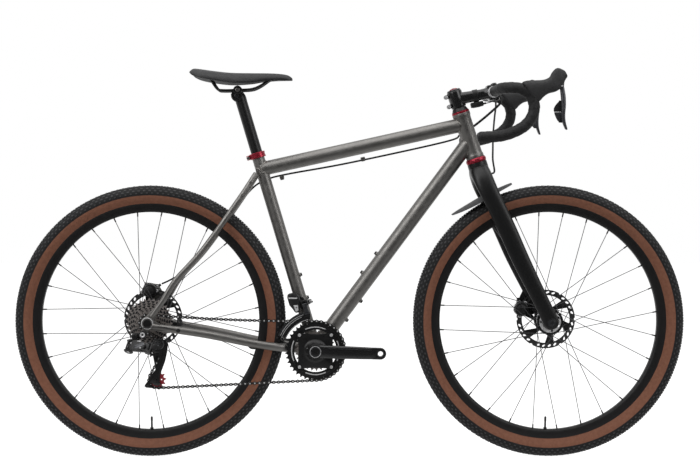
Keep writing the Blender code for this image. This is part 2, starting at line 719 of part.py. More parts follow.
def build_stem(looks):
    """The stem: a steerer clamp, a tapered body, a half clamp for the bar, its faceplate and cap."""
    place = frame_matrix(on_steering(stem_base()), STEERING_DIRECTION, STEERING_FORWARD)
    clamp = [
        (0, 0),
        (STEM_CLAMP_RADIUS - 0.002, 0),
        (STEM_CLAMP_RADIUS, 0.003),
        (STEM_CLAMP_RADIUS, STEM_CLAMP_HEIGHT - 0.003),
        (STEM_CLAMP_RADIUS - 0.002, STEM_CLAMP_HEIGHT),
        (0, STEM_CLAMP_HEIGHT),
    ]
    stem = turned("stem", clamp, place, looks["black_metal"], ROUND_STEPS)
    centre = bar_centre()
    forward = stem_direction()
    upward = Vector((-forward.z, 0, forward.x))
    start = centre - forward * STEM_LENGTH
    rings = []
    for distance, half_height, half_width in (
        (0.0, STEM_RADIUS, 0.0175),
        (0.030, STEM_RADIUS, 0.0165),
        (0.070, STEM_RADIUS - 0.0015, 0.0155),
        (STEM_LENGTH - 0.014, STEM_RADIUS, 0.0200),
        (STEM_LENGTH - 0.001, STEM_RADIUS + 0.002, STEM_FACE_HALF_WIDTH),
    ):
        middle = start + forward * distance
        rings.append(ellipse_ring(middle, LATERAL * half_width, upward * half_height, 10, 0.7))
    body = loft("stem_body", rings, None)
    ears = block(
        "stem_ears",
        frame_matrix(on_steering(stem_base() + STEM_CLAMP_HEIGHT / 2), STEERING_DIRECTION,
                     STEERING_FORWARD) @ Matrix.Translation((-0.021, 0, 0)),
        (0.012, 0.020, STEM_CLAMP_HEIGHT - 0.010),
        None,
    )
    join(stem, [body, ears])
    steerer_bore = cylinder(
        "steerer_bore",
        on_steering(stem_base() - 0.01),
        on_steering(stem_base() + STEM_CLAMP_HEIGHT + 0.01),
        STEERER_RADIUS + CLEARANCE,
        None,
        ROUND_STEPS,
        STEERING_FORWARD,
    )
    bar_bore = cylinder(
        "bar_bore",
        centre - LATERAL * 0.04,
        centre + LATERAL * 0.04,
        BAR_CLAMP_RADIUS + TURNING_CLEARANCE,
        None,
        16,
        (1, 0, 0),
    )
    slit = block(
        "stem_slit",
        frame_matrix(on_steering(stem_base() + STEM_CLAMP_HEIGHT / 2), STEERING_DIRECTION,
                     STEERING_FORWARD) @ Matrix.Translation((-0.022, 0, 0)),
        (0.020, 0.002, STEM_CLAMP_HEIGHT + 0.010),
        None,
    )
    cut(stem, [steerer_bore, bar_bore, slit])

    face_rings = []
    for distance, half_height, half_width in (
        (0.0, STEM_RADIUS + 0.002, STEM_FACE_HALF_WIDTH),
        (0.008, STEM_RADIUS + 0.001, STEM_FACE_HALF_WIDTH),
        (0.0205, 0.009, STEM_FACE_HALF_WIDTH - 0.003),
    ):
        middle = centre + forward * distance
        face_rings.append(ellipse_ring(middle, LATERAL * half_width, upward * half_height, 10, 0.7))
    face = loft("stem_faceplate", face_rings, looks["silver"])
    face_bore = cylinder(
        "face_bore",
        centre - LATERAL * 0.04,
        centre + LATERAL * 0.04,
        BAR_CLAMP_RADIUS + TURNING_CLEARANCE,
        None,
        16,
        (1, 0, 0),
    )
    cut(face, [face_bore])

    cap_start = STEM_CLAMP_HEIGHT + CLEARANCE
    cap = [
        (0, cap_start - 0.006),
        (0.006, cap_start - 0.006),
        (0.006, cap_start),
        (STEM_CLAMP_RADIUS - 0.002, cap_start),
        (STEM_CLAMP_RADIUS - 0.002, cap_start + TOP_CAP_HEIGHT - 0.0015),
        (STEM_CLAMP_RADIUS - 0.005, cap_start + TOP_CAP_HEIGHT),
        (0, cap_start + TOP_CAP_HEIGHT),
    ]
    turned("top_cap", cap, place, looks["red"], ROUND_STEPS)

    box_centre = start + forward * 0.052 - upward * (STEM_RADIUS + 0.0079)
    block(
        "junction_box",
        frame_matrix(box_centre, upward, forward),
        (0.034, 0.022, 0.0155),
        looks["plastic"],
        0.003,
    )


def steering_point(distance, forward, lateral):
    """A point given by its distance above the crown race, ahead of the axis and to the left."""
    return on_steering(distance) + STEERING_FORWARD * forward + LATERAL * lateral


FORK_LEG = (
    # distance, forward, lateral, half depth, half width
    (-FORK_LENGTH - 0.0170, 0.0510, 0.0570, 0.0110, 0.0050),
    (-FORK_LENGTH - 0.0080, 0.0515, 0.0570, 0.0190, 0.0068),
    (-FORK_LENGTH + 0.0050, 0.0510, 0.0570, 0.0210, 0.0068),
    (-FORK_LENGTH + 0.0670, 0.0425, 0.0585, 0.0205, 0.0083),
    (-FORK_LENGTH + 0.1840, 0.0255, 0.0585, 0.0233, 0.0093),
    (-FORK_LENGTH + 0.2710, 0.0165, 0.0560, 0.0240, 0.0100),
    (-0.1130, 0.0054, 0.0500, 0.0240, 0.0108),
    (-0.0720, 0.0005, 0.0435, 0.0255, 0.0125),
    (-0.0430, -0.0010, 0.0270, 0.0265, 0.0185),
    (-0.0310, -0.0010, 0.0, 0.0265, 0.0250),
)


def build_fork(looks):
    """The fork: one sculpted sweep from dropout to dropout over the crown, and its steerer."""
    stations = [(*place[:2], -place[2], *place[3:]) for place in FORK_LEG]
    stations += list(FORK_LEG[-2::-1])
    path = [steering_point(*station[:3]) for station in stations]
    sizes = [station[3:] for station in stations]
    fork = swept("fork", path, sizes, looks["carbon"], 8, hint=STEERING_FORWARD, power=0.85)
    crown_top = -0.0055
    steerer_top = stem_base() + STEM_CLAMP_HEIGHT - 0.003
    place = frame_matrix(on_steering(0), STEERING_DIRECTION, STEERING_FORWARD)
    steerer = turned(
        "steerer",
        [
            (0, -0.030),
            (LOWER_CUP_RADIUS - 0.001, -0.030),
            (LOWER_CUP_RADIUS - 0.001, crown_top),
            (STEERER_RADIUS, crown_top),
            (STEERER_RADIUS, steerer_top),
            (STEERER_RADIUS - 0.003, steerer_top),
            (STEERER_RADIUS - 0.003, steerer_top - 0.060),
            (0, steerer_top - 0.060),
        ],
        place,
        None,
        ROUND_STEPS,
    )
    bracket = slab("bracket", FRONT_BRACKET, -0.0615, -0.0562, across((0, 0, 0)), None)
    join(fork, [steerer, bracket])
    axle = cylinder(
        "axle_bore",
        FRONT_AXLE - LATERAL * FRONT_SPACING,
        FRONT_AXLE + LATERAL * FRONT_SPACING,
        FRONT_AXLE_RADIUS + TURNING_CLEARANCE,
        None,
        10,
        (1, 0, 0),
    )
    cut(fork, [axle])
    return fork


def build_mudguard(looks):
    """A short plastic guard under the crown, held at its edges by the two legs."""
    rings = []
    thickness = 0.0015
    for angle, half_width in (
        (133.0, 0.016), (128.0, 0.026), (121.5, MUDGUARD_HALF_WIDTH),
        (117.0, MUDGUARD_HALF_WIDTH), (111.0, 0.026), (105.5, 0.018),
    ):
        turn = math.radians(angle)
        outward = Vector((math.cos(turn), 0, math.sin(turn)))
        distance = MUDGUARD_RADIUS + 0.012 * ((angle - 119.5) / 13.5) ** 2
        upper, lower = [], []
        for share in (-1.0, -0.5, 0.0, 0.5, 1.0):
            rise = 0.006 * (1 - share**2)
            spot = FRONT_AXLE + outward * (distance + rise) + LATERAL * half_width * share
            upper.append(spot + outward * thickness)
            lower.append(spot)
        rings.append(upper + lower[::-1])
    loft("fork_mudguard", rings, looks["plastic"])


BAR_BENDS = (
    # ahead of the clamp, out to the side, above the clamp
    (0.0000, 0.0520, 0.0000),
    (0.0000, 0.1560, 0.0000),
    (0.0050, 0.1860, 0.0000),
    (0.0220, 0.2065, -0.0010),
    (0.0450, 0.2135, -0.0060),
    (0.0680, 0.2145, -0.0200),
    (0.0780, 0.2160, -0.0420),
    (0.0760, 0.2185, -0.0660),
    (0.0620, 0.2210, -0.0900),
    (0.0360, 0.2235, -0.1090),
    (-0.0060, 0.2250, -0.1235),
    (-0.0640, 0.2250, -0.1275),
)


def bar_side_path():
    """The bar's centre line on the left, from the tape's start to the drop's end."""
    centre = bar_centre()
    straight = [centre + LATERAL * BAR_BENDS[0][1]]
    return straight + [centre + Vector(bend) for bend in BAR_BENDS[1:]]


def carried_rings(path, radii, hint):
    """Round sections along a path, each turned as little as the path allows from the one before."""
    rings = []
    for index, point in enumerate(path):
        radius = radii[index] if isinstance(radii, list) else radii
        place = frame_matrix(point, heading_at(path, index), hint).to_3x3()
        hint = place.col[0]
        rings.append(ellipse_ring(point, place.col[0] * radius, place.col[1] * radius, BAR_SIDES))
    return rings


def mirrored(rings):
    """Rings moved to the other side of the bike, each point keeping its number."""
    return [[Vector((point.x, -point.y, point.z)) for point in ring] for ring in rings]


def on_side(rings, side):
    return rings if side > 0 else mirrored(rings)


def build_handlebar(looks):
    """The drop bar, thick at the clamp, and a sleeve of tape with a plug on each side."""
    centre = bar_centre()
    inner = [(BAR_CLAMP_HALF_WIDTH, BAR_CLAMP_RADIUS), (0.042, BAR_RADIUS)]
    half = bar_side_path()
    path = [centre + LATERAL * out for out, radius in inner] + half
    radii = [radius for out, radius in inner] + [BAR_RADIUS] * len(half)
    left = carried_rings(path, radii, (0, 0, 1))
    loft("handlebar", mirrored(left)[::-1] + left, looks["silver"])
    for side, name in ((-1, "bar_tape_right"), (1, "bar_tape_left")):
        sleeve(name, half, side, looks["rubber"])


def sleeve(name, path, side, look):
    """A tube of tape along a path, closed over at its far end by a plug beyond the bar."""
    work = bmesh.new()
    end = heading_at(path, len(path) - 1).normalized() * PLUG_LENGTH
    bore = carried_rings(path, BAR_RADIUS + TURNING_CLEARANCE, (0, 0, 1))
    outer = carried_rings(path, BAR_RADIUS + TAPE_THICKNESS, (0, 0, 1))
    bore.append([corner + end * 0.2 for corner in bore[-1]])
    outer.append([corner + end for corner in outer[-1]])
    inside = [[work.verts.new(corner) for corner in ring] for ring in on_side(bore, side)]
    outside = [[work.verts.new(corner) for corner in ring] for ring in on_side(outer, side)]
    for rows in (inside, outside):
        for first, second in zip(rows, rows[1:]):
            bridge(work, first, second)
    bridge(work, inside[0], outside[0])
    work.faces.new(inside[-1])
    work.faces.new(outside[-1])
    return store(name, work, look)


def bridge(work, first, second):
    """Quads between two closed rows of vertices."""
    for index, corner in enumerate(first):
        after = (index + 1) % len(first)
        work.faces.new((corner, first[after], second[after], second[index]))


HOOD_SECTIONS = (
    # top ahead and up, bottom ahead and up, from the bar clamp, and half width
    (0.0500, 0.0165, 0.0900, -0.0370, 0.0190),
    (0.0800, 0.0180, 0.1020, -0.0250, 0.0195),
    (0.1020, 0.0195, 0.1150, -0.0160, 0.0190),
    (0.1170, 0.0260, 0.1330, -0.0110, 0.0178),
    (0.1240, 0.0380, 0.1470, -0.0020, 0.0150),
    (0.1330, 0.0475, 0.1535, 0.0075, 0.0132),
    (0.1420, 0.0490, 0.1570, 0.0170, 0.0110),
    (0.1550, 0.0430, 0.1630, 0.0270, 0.0065),
)


def control_centre(side):
    """The middle plane of a brake hood, at the bar clamp's height and reach."""
    return bar_centre() + LATERAL * side * HOOD_OUT


def lever_pivot(side):
    return control_centre(side) + Vector((LEVER_PIVOT_AHEAD, 0, LEVER_PIVOT_UP))


def build_controls(looks):
    for side, label in ((-1, "right"), (1, "left")):
        build_hood(looks, side, label)
        build_lever(looks, side, label)
        build_paddle(looks, side, label)


def build_hood(looks, side, label):
    """A brake hood: a lofted grip on the bar, slotted for the lever and drilled for its pin."""
    middle = control_centre(side)
    rings = []
    for top_x, top_z, low_x, low_z, half_width in HOOD_SECTIONS:
        centre = middle + Vector(((top_x + low_x) / 2, 0, (top_z + low_z) / 2))
        half = Vector(((top_x - low_x) / 2, 0, (top_z - low_z) / 2))
        rings.append(ellipse_ring(centre, LATERAL * half_width, half, 10, 0.75))
    hood = loft(f"hood_{label}", rings, looks["rubber"])
    space = BAR_RADIUS + TAPE_THICKNESS + CLEARANCE
    bar = loft("bar_space", on_side(carried_rings(bar_side_path(), space, (0, 0, 1)), side), None)
    pivot = lever_pivot(side)
    slot = block(
        "lever_slot",
        Matrix.Translation(pivot + Vector((0.010, 0, -0.001))),
        (0.034, 2 * LEVER_SLOT_HALF, 0.034),
        None,
    )
    pin = cylinder(
        "pin_bore",
        pivot - LATERAL * 0.03,
        pivot + LATERAL * 0.03,
        LEVER_PIN_RADIUS + TURNING_CLEARANCE,
        None,
        8,
        (1, 0, 0),
    )
    cut(hood, [bar])
    cut(hood, [slot, pin])


LEVER_SECTIONS = (
    # ahead of the pivot, above the pivot, half depth, half width
    (0.0040, 0.0095, 0.0035, 0.0040),
    (0.0010, 0.0000, 0.0058, 0.0042),
    (0.0025, -0.0100, 0.0060, 0.0042),
    (0.0045, -0.0260, 0.0062, 0.0080),
    (0.0055, -0.0480, 0.0058, 0.0090),
    (0.0045, -0.0720, 0.0050, 0.0090),
    (0.0060, -0.0900, 0.0045, 0.0085),
    (0.0120, -0.1090, 0.0032, 0.0060),
)


def build_lever(looks, side, label):
    """A brake lever blade on its cross pin, flared below the hood and turned out at its tip."""
    pivot = lever_pivot(side)
    rings = []
    for ahead, up, half_depth, half_width in LEVER_SECTIONS:
        centre = pivot + Vector((ahead, 0, up))
        rings.append(
            ellipse_ring(centre, LATERAL * half_width, Vector((half_depth, 0, 0)), 8, 0.7)
        )
    lever = loft(f"brake_lever_{label}", rings[::-1], looks["carbon"])
    pin = cylinder(
        "pin", pivot - LATERAL * 0.0110, pivot + LATERAL * 0.0110, LEVER_PIN_RADIUS, None, 6,
        (1, 0, 0),
    )
    hinge = paddle_pivot(side)
    lugs = []
    for height in PADDLE_LUGS:
        lugs.append(
            block(
                "lug",
                Matrix.Translation(hinge + Vector((0.0028, side * 0.0005, height))),
                (0.0110, 0.0060, 0.0030),
                None,
            )
        )
    join(lever, [pin, *lugs])
    hole = cylinder(
        "hinge_hole", hinge + Vector((0, 0, -0.060)), hinge + Vector((0, 0, 0.030)),
        PADDLE_PIN_RADIUS + TURNING_CLEARANCE, None, 6,
    )
    cut(lever, [hole])


PADDLE_LUGS = (0.0185, -0.0350)


def paddle_pivot(side):
    """The paddle's upright hinge line, just behind the lever on its inner side."""
    return lever_pivot(side) + Vector((-0.0030, -side * 0.0060, -0.0560))


def build_paddle(looks, side, label):
    """A shift paddle behind the blade: an upright plate that presses inwards."""
    pivot = paddle_pivot(side)
    outline = [
        (0.0005, 0.0165), (-0.0060, 0.0150), (-0.0150, 0.0010), (-0.0140, -0.0110),
        (-0.0050, -0.0290), (0.0005, -0.0330),
    ]
    place = across(pivot)
    paddle = slab(
        f"shift_paddle_{label}", outline, -0.0015, 0.0015, place, looks["black_metal"]
    )
    pin = cylinder(
        "hinge_pin", pivot + Vector((0, 0, PADDLE_LUGS[1] - 0.001)),
        pivot + Vector((0, 0, PADDLE_LUGS[0] + 0.001)), PADDLE_PIN_RADIUS, None, 6,
    )
    join(paddle, [pin])


def build_seat_collar(looks):
    """The red collar round the seat tube's top, slit at the back between its two bolt ears."""
    place = frame_matrix(SEAT_TUBE_TOP, SEAT_DIRECTION, (1, 0, 0))
    low = COLLAR_LIP - COLLAR_HEIGHT
    profile = [
        (SEAT_TUBE_RADIUS + CLEARANCE, low),
        (COLLAR_RADIUS, low),
        (COLLAR_RADIUS, COLLAR_LIP - 0.001),
        (COLLAR_RADIUS - 0.001, COLLAR_LIP),
        (SEATPOST_RADIUS + CLEARANCE, COLLAR_LIP),
        (SEATPOST_RADIUS + CLEARANCE, CLEARANCE),
        (SEAT_TUBE_RADIUS + CLEARANCE, CLEARANCE),
    ]
    collar = turned("seat_collar", profile, place, looks["red"], ROUND_STEPS)
    middle = (low + COLLAR_LIP) / 2
    ears = block(
        "ears",
        place @ Matrix.Translation((-COLLAR_RADIUS - 0.0030, 0, middle)),
        (0.011, 0.013, COLLAR_HEIGHT - 0.003),
        None,
        0.0015,
    )
    join(collar, [ears])
    slit = block(
        "slit",
        place @ Matrix.Translation((-COLLAR_RADIUS - 0.001, 0, middle)),
        (0.020, 0.0016, COLLAR_HEIGHT + 0.004),
        None,
    )
    cut(collar, [slit])


def rail_height():
    """The height of the rails' middle line in the clamp."""
    return (SEAT_TUBE_TOP + SEAT_DIRECTION * SEATPOST_EXPOSED).z + 0.0070


def clamp_centre():
    top = SEAT_TUBE_TOP + SEAT_DIRECTION * SEATPOST_EXPOSED
    return Vector((top.x - 0.002, 0, rail_height()))


def build_seatpost(looks):
    """The post with a cradle under the rails, and an upper clamp joined to it by the bolt."""
    foot = SEAT_TUBE_TOP - SEAT_DIRECTION * SEATPOST_INSERTED
    top = SEAT_TUBE_TOP + SEAT_DIRECTION * (SEATPOST_EXPOSED - 0.006)
    post = cylinder("seatpost", foot, top, SEATPOST_RADIUS, looks["carbon"], ROUND_STEPS)
    centre = clamp_centre()
    tilt = Matrix.Rotation(math.radians(-3), 4, "Y")
    gap = SADDLE_RAIL_RADIUS + CLEARANCE
    place = Matrix.Translation(centre) @ tilt
    cradle = block(
        "cradle",
        place @ Matrix.Translation((0, 0, -gap - 0.0055)),
        (0.034, 2 * SADDLE_RAIL_SPREAD + 0.010, 0.011),
        None,
        0.002,
    )
    neck = block(
        "neck", place @ Matrix.Translation((0, 0, -gap - 0.012)), (0.026, 0.026, 0.018), None, 0.003
    )
    column = block("column", place, (0.012, 0.012, 0.018), None)
    upper = block(
        "upper",
        place @ Matrix.Translation((0, 0, gap + 0.0025)),
        (0.026, 2 * SADDLE_RAIL_SPREAD + 0.010, 0.005),
        None,
        0.0015,
    )
    join(post, [cradle, neck, column, upper])


# How far up its own thickness the saddle is hollowed from below.
SADDLE_HOLLOW = 0.45
SADDLE_STATIONS = (
    # ahead of the clamp, top, bottom, half width
    (-0.1270, 0.0510, 0.0440, 0.0480),
    (-0.1180, 0.0575, 0.0370, 0.0600),
    (-0.1000, 0.0560, 0.0300, 0.0690),
    (-0.0640, 0.0510, 0.0230, 0.0720),
    (-0.0180, 0.0465, 0.0175, 0.0590),
    (0.0350, 0.0460, 0.0190, 0.0380),
    (0.0700, 0.0460, 0.0240, 0.0280),
    (0.1050, 0.0450, 0.0265, 0.0225),
    (0.1320, 0.0415, 0.0270, 0.0190),
    (0.1460, 0.0330, 0.0265, 0.0110),
)
SADDLE_CHANNEL = 0.0025


def saddle_underside(station):
    """The height of the shell's hollow underside at a station, above the clamp."""
    _, top, bottom, _ = station
    return bottom + SADDLE_HOLLOW * (top - bottom)


def build_saddle(looks):
    """The cushion: crowned, drawn in at the sides, with a shallow channel and a hollow underside."""
    origin = clamp_centre()
    rings = []
    for station in SADDLE_STATIONS:
        ahead, top, bottom, half_width = station
        height = top - bottom
        half = [
            (0.00, top - SADDLE_CHANNEL),
            (0.14, top - SADDLE_CHANNEL * 0.6),
            (0.30, top),
            (0.55, top - 0.08 * height),
            (0.80, top - 0.28 * height),
            (0.96, top - 0.58 * height),
            (1.00, top - 0.82 * height),
            (0.96, bottom),
            (0.80, bottom + 0.12 * height),
            (0.45, saddle_underside(station)),
        ]
        ring = [(half_width * share, z) for share, z in half]
        ring += [(0.0, saddle_underside(station))]
        ring += [(-y, z) for y, z in ring[-2:0:-1]]
        rings.append([origin + Vector((ahead, y, z)) for y, z in ring])
    saddle = loft("saddle", rings, looks["saddle"])
    build_rails(looks, saddle)
    saddle.data.set_sharp_from_angle(angle=math.radians(60))


def build_rails(looks, saddle):
    """Both saddle rails as one bent bar that turns round in the nose, with their seats in the saddle."""
    origin = clamp_centre()
    rear_lift = underside_at(-0.074)
    nose_lift = underside_at(0.112)
    half = [
        (-0.0760, 0.0370, rear_lift + 0.0010),
        (-0.0700, 0.0345, rear_lift - 0.0110),
        (-0.0540, 0.0280, 0.0030),
        (-0.0380, SADDLE_RAIL_SPREAD, -0.0010),
        (0.0000, SADDLE_RAIL_SPREAD, 0.0000),
        (0.0380, SADDLE_RAIL_SPREAD, 0.0022),
        (0.0620, 0.0185, 0.0120),
        (0.0870, 0.0130, nose_lift - 0.0060),
        (0.1060, 0.0100, nose_lift - 0.0040),
        (0.1130, 0.0000, nose_lift - 0.0040),
    ]
    right = [origin + Vector((x, -y, z)) for x, y, z in half]
    left = [origin + Vector((x, y, z)) for x, y, z in half[-2::-1]]
    path = right + left
    swept("saddle_rails", path, SADDLE_RAIL_RADIUS, looks["carbon"], 6, hint=(0, 1, 0.2))
    ends = [path[0] - heading_at(path, 0).normalized() * CLEARANCE]
    ends.append(path[-1] + heading_at(path, len(path) - 1).normalized() * CLEARANCE)
    space = [ends[0], *path[1:-1], ends[1]]
    cut(saddle, [swept("rail_space", space, SADDLE_RAIL_RADIUS + CLEARANCE, None, 6, (0, 1, 0.2))])


def underside_at(ahead):
    """The underside's height at a distance ahead of the clamp, between stations."""
    for first, second in zip(SADDLE_STATIONS, SADDLE_STATIONS[1:]):
        if first[0] <= ahead <= second[0]:
            share = (ahead - first[0]) / (second[0] - first[0])
            return mixed(saddle_underside(first), saddle_underside(second), share)
    return saddle_underside(SADDLE_STATIONS[-1])


def wheel_place(centre):
    """Local X forward and local Z to the left, which is +Y."""
    return frame_matrix(centre, LATERAL, (1, 0, 0))


def build_wheel(looks, label, centre, phase, valve_angle, flanges, hub_profile, rotor_y):
    place = wheel_place(centre)
    build_tyre(looks, label, place)
    build_rim(looks, label, centre, place, valve_angle)
    build_hub(looks, label, centre, place, phase, flanges, hub_profile)
    build_rotor(looks, label, centre, rotor_y)


def build_tyre(looks, label, place):
    half = TYRE_WIDTH / 2
    bead = RIM_BEAD_RADIUS
    seat = bead - RIM_HOOK_DEPTH + CLEARANCE
    side = [
        (seat, RIM_WIDTH / 2 - 0.0045),
        (bead + 0.0215, half),
        (TYRE_RADIUS - 0.0070, half - 0.0085),
        (TYRE_RADIUS, 0.0070),
    ]
    profile = side + [(radius, -y) for radius, y in side[::-1]]
    turned(f"{label}_tyre", profile, place, looks["tyre"], WHEEL_STEPS)


def build_rim(looks, label, centre, place, valve_angle):
    half = RIM_WIDTH / 2
    side = [
        (RIM_INNER_RADIUS, half - 0.0045),
        (RIM_BEAD_RADIUS, half),
        (RIM_BEAD_RADIUS - RIM_HOOK_DEPTH, half - 0.0030),
    ]
    profile = side + [(radius, -y) for radius, y in side[::-1]]
    rim = turned(f"{label}_rim", profile, place, looks["carbon"], WHEEL_STEPS)
    outward = Vector((math.cos(valve_angle), 0, math.sin(valve_angle)))
    valve = cylinder(
        "valve",
        centre + outward * (RIM_INNER_RADIUS - VALVE_LENGTH),
        centre + outward * (RIM_INNER_RADIUS + 0.004),
        VALVE_RADIUS,
        None,
        8,
    )
    join(rim, [valve])


def spoke_rings(centre, angle, lean, flange_y, side_offset):
    """One spoke: from a tangent point in the flange to its nipple, just inside the rim."""
    end_radius = RIM_INNER_RADIUS * math.cos(math.pi / WHEEL_STEPS) - CLEARANCE
    turn = angle + lean * math.acos(SPOKE_TANGENT_RADIUS / end_radius)
    flat_end = Vector((math.cos(angle), 0, math.sin(angle))) * end_radius
    flat_start = Vector((math.cos(turn), 0, math.sin(turn))) * SPOKE_TANGENT_RADIUS
    start = centre + flat_start + LATERAL * (flange_y + side_offset)
    end = centre + flat_end
    place = frame_matrix(start, end - start, LATERAL).to_3x3()
    stations = [(start, SPOKE_RADIUS), (end, NIPPLE_RADIUS)]
    return [
        ellipse_ring(spot, place.col[0] * size, place.col[1] * size, 3) for spot, size in stations
    ]


def build_hub(looks, label, centre, place, phase, flanges, hub_profile):
    """The hub shell with its laced spokes: 14 a side, leaning both ways past each other."""
    hub = turned(f"{label}_hub", hub_profile, place, looks["black_metal"], HUB_STEPS)
    spokes = bmesh.new()
    for index in range(SPOKES):
        flange_y = flanges[index % 2]
        lean = 1 if (index // 2) % 2 else -1
        rings = spoke_rings(
            centre, phase + 2 * math.pi * index / SPOKES, lean, flange_y, lean * SPOKE_SIDE_OFFSET
        )
        rows = [[spokes.verts.new(point) for point in ring] for ring in rings]
        for first, second in zip(rows, rows[1:]):
            bridge(spokes, first, second)
        spokes.faces.new(rows[0][::-1])
        spokes.faces.new(rows[-1])
    join(hub, [store("spokes", spokes, None)])


def front_hub_profile():
    """Radius and height from the right end to the left, the rotor's seat between two shoulders."""
    bore = (FRONT_AXLE_RADIUS + TURNING_CLEARANCE) / math.cos(math.pi / HUB_STEPS)
    half = FRONT_SPACING / 2 - CLEARANCE
    return [(bore, -half), (HUB_END_RADIUS, -half), (HUB_END_RADIUS, FRONT_RIGHT_FLANGE - 0.005)] + (
        hub_middle(FRONT_RIGHT_FLANGE, FRONT_LEFT_FLANGE)
        + rotor_seat(FRONT_ROTOR_Y)
        + [(HUB_END_RADIUS, half), (bore, half)]
    )


def rear_hub_profile():
    bore = (REAR_AXLE_RADIUS + TURNING_CLEARANCE) / math.cos(math.pi / HUB_STEPS)
    half = REAR_SPACING / 2 - CLEARANCE
    start = REAR_RIGHT_FLANGE - FLANGE_THICKNESS / 2 - 0.0018
    return [(bore, start), (HUB_BARREL_RADIUS, start)] + (
        hub_middle(REAR_RIGHT_FLANGE, REAR_LEFT_FLANGE)
        + rotor_seat(REAR_ROTOR_Y)
        + [(HUB_END_RADIUS, half), (bore, half)]
    )


def hub_middle(right, left):
    """The two flanges and the waisted barrel between them."""
    half = FLANGE_THICKNESS / 2
    middle = (right + left) / 2
    return [
        (FLANGE_RADIUS, right - half),
        (FLANGE_RADIUS, right + half),
        (HUB_BARREL_RADIUS, right + half + 0.004),
        (HUB_BARREL_RADIUS - 0.002, middle),
        (HUB_BARREL_RADIUS, left - half - 0.004),
        (FLANGE_RADIUS, left - half),
        (FLANGE_RADIUS, left + half),
    ]


def rotor_seat(rotor_y):
    """A shoulder, the seat that the rotor's bore fits, and the lock ring that holds it."""
    half = ROTOR_THICKNESS / 2 + CLEARANCE
    return [
        (0.0200, rotor_y - half - 0.004),
        (0.0200, rotor_y - half),
        (ROTOR_SEAT_RADIUS, rotor_y - half),
        (ROTOR_SEAT_RADIUS, rotor_y + half),
        (0.0180, rotor_y + half),
        (0.0180, rotor_y + half + 0.0025),
        (HUB_END_RADIUS, rotor_y + half + 0.0025),
    ]


def build_rotor(looks, label, centre, rotor_y):
    """A brake rotor: an outer band on slanted arms round a central ring."""
    place = wheel_place(centre + LATERAL * rotor_y)
    half = ROTOR_THICKNESS / 2
    steps = 24
    outer = [polar(ROTOR_RADIUS, 2 * math.pi * step / steps) for step in range(steps)]
    rotor = slab(f"{label}_rotor", outer, -half, half, place, looks["steel"])
    band_inner = ROTOR_RADIUS - ROTOR_BAND
    cutters = [
        turned(
            "bore",
            [(0, -0.01), (ROTOR_SEAT_RADIUS + CLEARANCE, -0.01),
             (ROTOR_SEAT_RADIUS + CLEARANCE, 0.01), (0, 0.01)],
            place,
            None,
            HUB_STEPS,
        )
    ]
    for arm in range(ROTOR_ARMS):
        turn = 2 * math.pi * arm / ROTOR_ARMS
        width = 2 * math.pi / ROTOR_ARMS
        slant = math.radians(18)
        window = [polar(band_inner, turn + slant + width * share) for share in (0.0, 0.43, 0.86)]
        window += [polar(0.027, turn + width * share) for share in (0.80, 0.10)]
        cutters.append(slab("window", window, -0.01, 0.01, place, None))
    cut(rotor, cutters)


def polar(radius, angle):
    return (radius * math.cos(angle), radius * math.sin(angle))


def pitch_radius(teeth):
    return CHAIN_PITCH / (2 * math.sin(math.pi / teeth))


def toothed_outline(teeth, gap_angle, tip=TOOTH_TIP, root=TOOTH_ROOT, root_half=0.0021):
    """A sprocket's outline: a pointed tooth between two flat-floored gaps.

    gap_angle is where the middle of one gap lies.
    """
    radius = pitch_radius(teeth)
    step = 2 * math.pi / teeth
    spread = root_half / (radius - root)
    points = []
    for tooth in range(teeth):
        gap = gap_angle + tooth * step
        points.append(polar(radius - root, gap - spread))
        points.append(polar(radius - root, gap + spread))
        points.append((*polar(radius + tip, gap + step / 2), None))
    return points


def pointed_outline(teeth, gap_angle):
    """The same with one point per gap, for a sprocket that the chain isn't on."""
    radius = pitch_radius(teeth)
    step = 2 * math.pi / teeth
    points = []
    for tooth in range(teeth):
        gap = gap_angle + tooth * step
        points.append(polar(radius - TOOTH_ROOT + 0.0006, gap))
        points.append((*polar(radius + TOOTH_TIP, gap + step / 2), None))
    return points


def cog(name, outline, low, high, place, look):
    """A plate like a slab's whose every tooth tip is ground to one point between its two faces.

    The outline's points come in turns: floor points, then a tip that is a (x, y, None) triple.
    """
    work = bmesh.new()
    floors = []
    teeth = []
    for point in outline:
        if len(point) == 3:
            teeth.append((len(floors) - 1, work.verts.new((point[0], point[1], (low + high) / 2))))
        else:
            pair = [work.verts.new((point[0], point[1], height)) for height in (low, high)]
            floors.append(pair)
    count = len(floors)
    tipped = {index: tip for index, tip in teeth}
    for index in range(count):
        here, after = floors[index], floors[(index + 1) % count]
        tip = tipped.get(index)
        if tip is None:
            work.faces.new((here[0], after[0], after[1], here[1]))
            continue
        work.faces.new((here[0], tip, here[1]))
        work.faces.new((after[0], after[1], tip))
        work.faces.new((here[0], after[0], tip))
        work.faces.new((here[1], tip, after[1]))
    work.faces.new([pair[0] for pair in floors][::-1])
    work.faces.new([pair[1] for pair in floors])
    work.transform(place)
    return store(name, work, look)


def plane_at(centre, y):
    """Local X forward, local Y up, at a height of local Z from the plane y towards -Y."""
    return across((centre.x, y, centre.z))


def disc(name, radius, low, high, place, look, sides=20):
    return turned(name, [(0, low), (radius, low), (radius, high), (0, high)], place, look, sides)


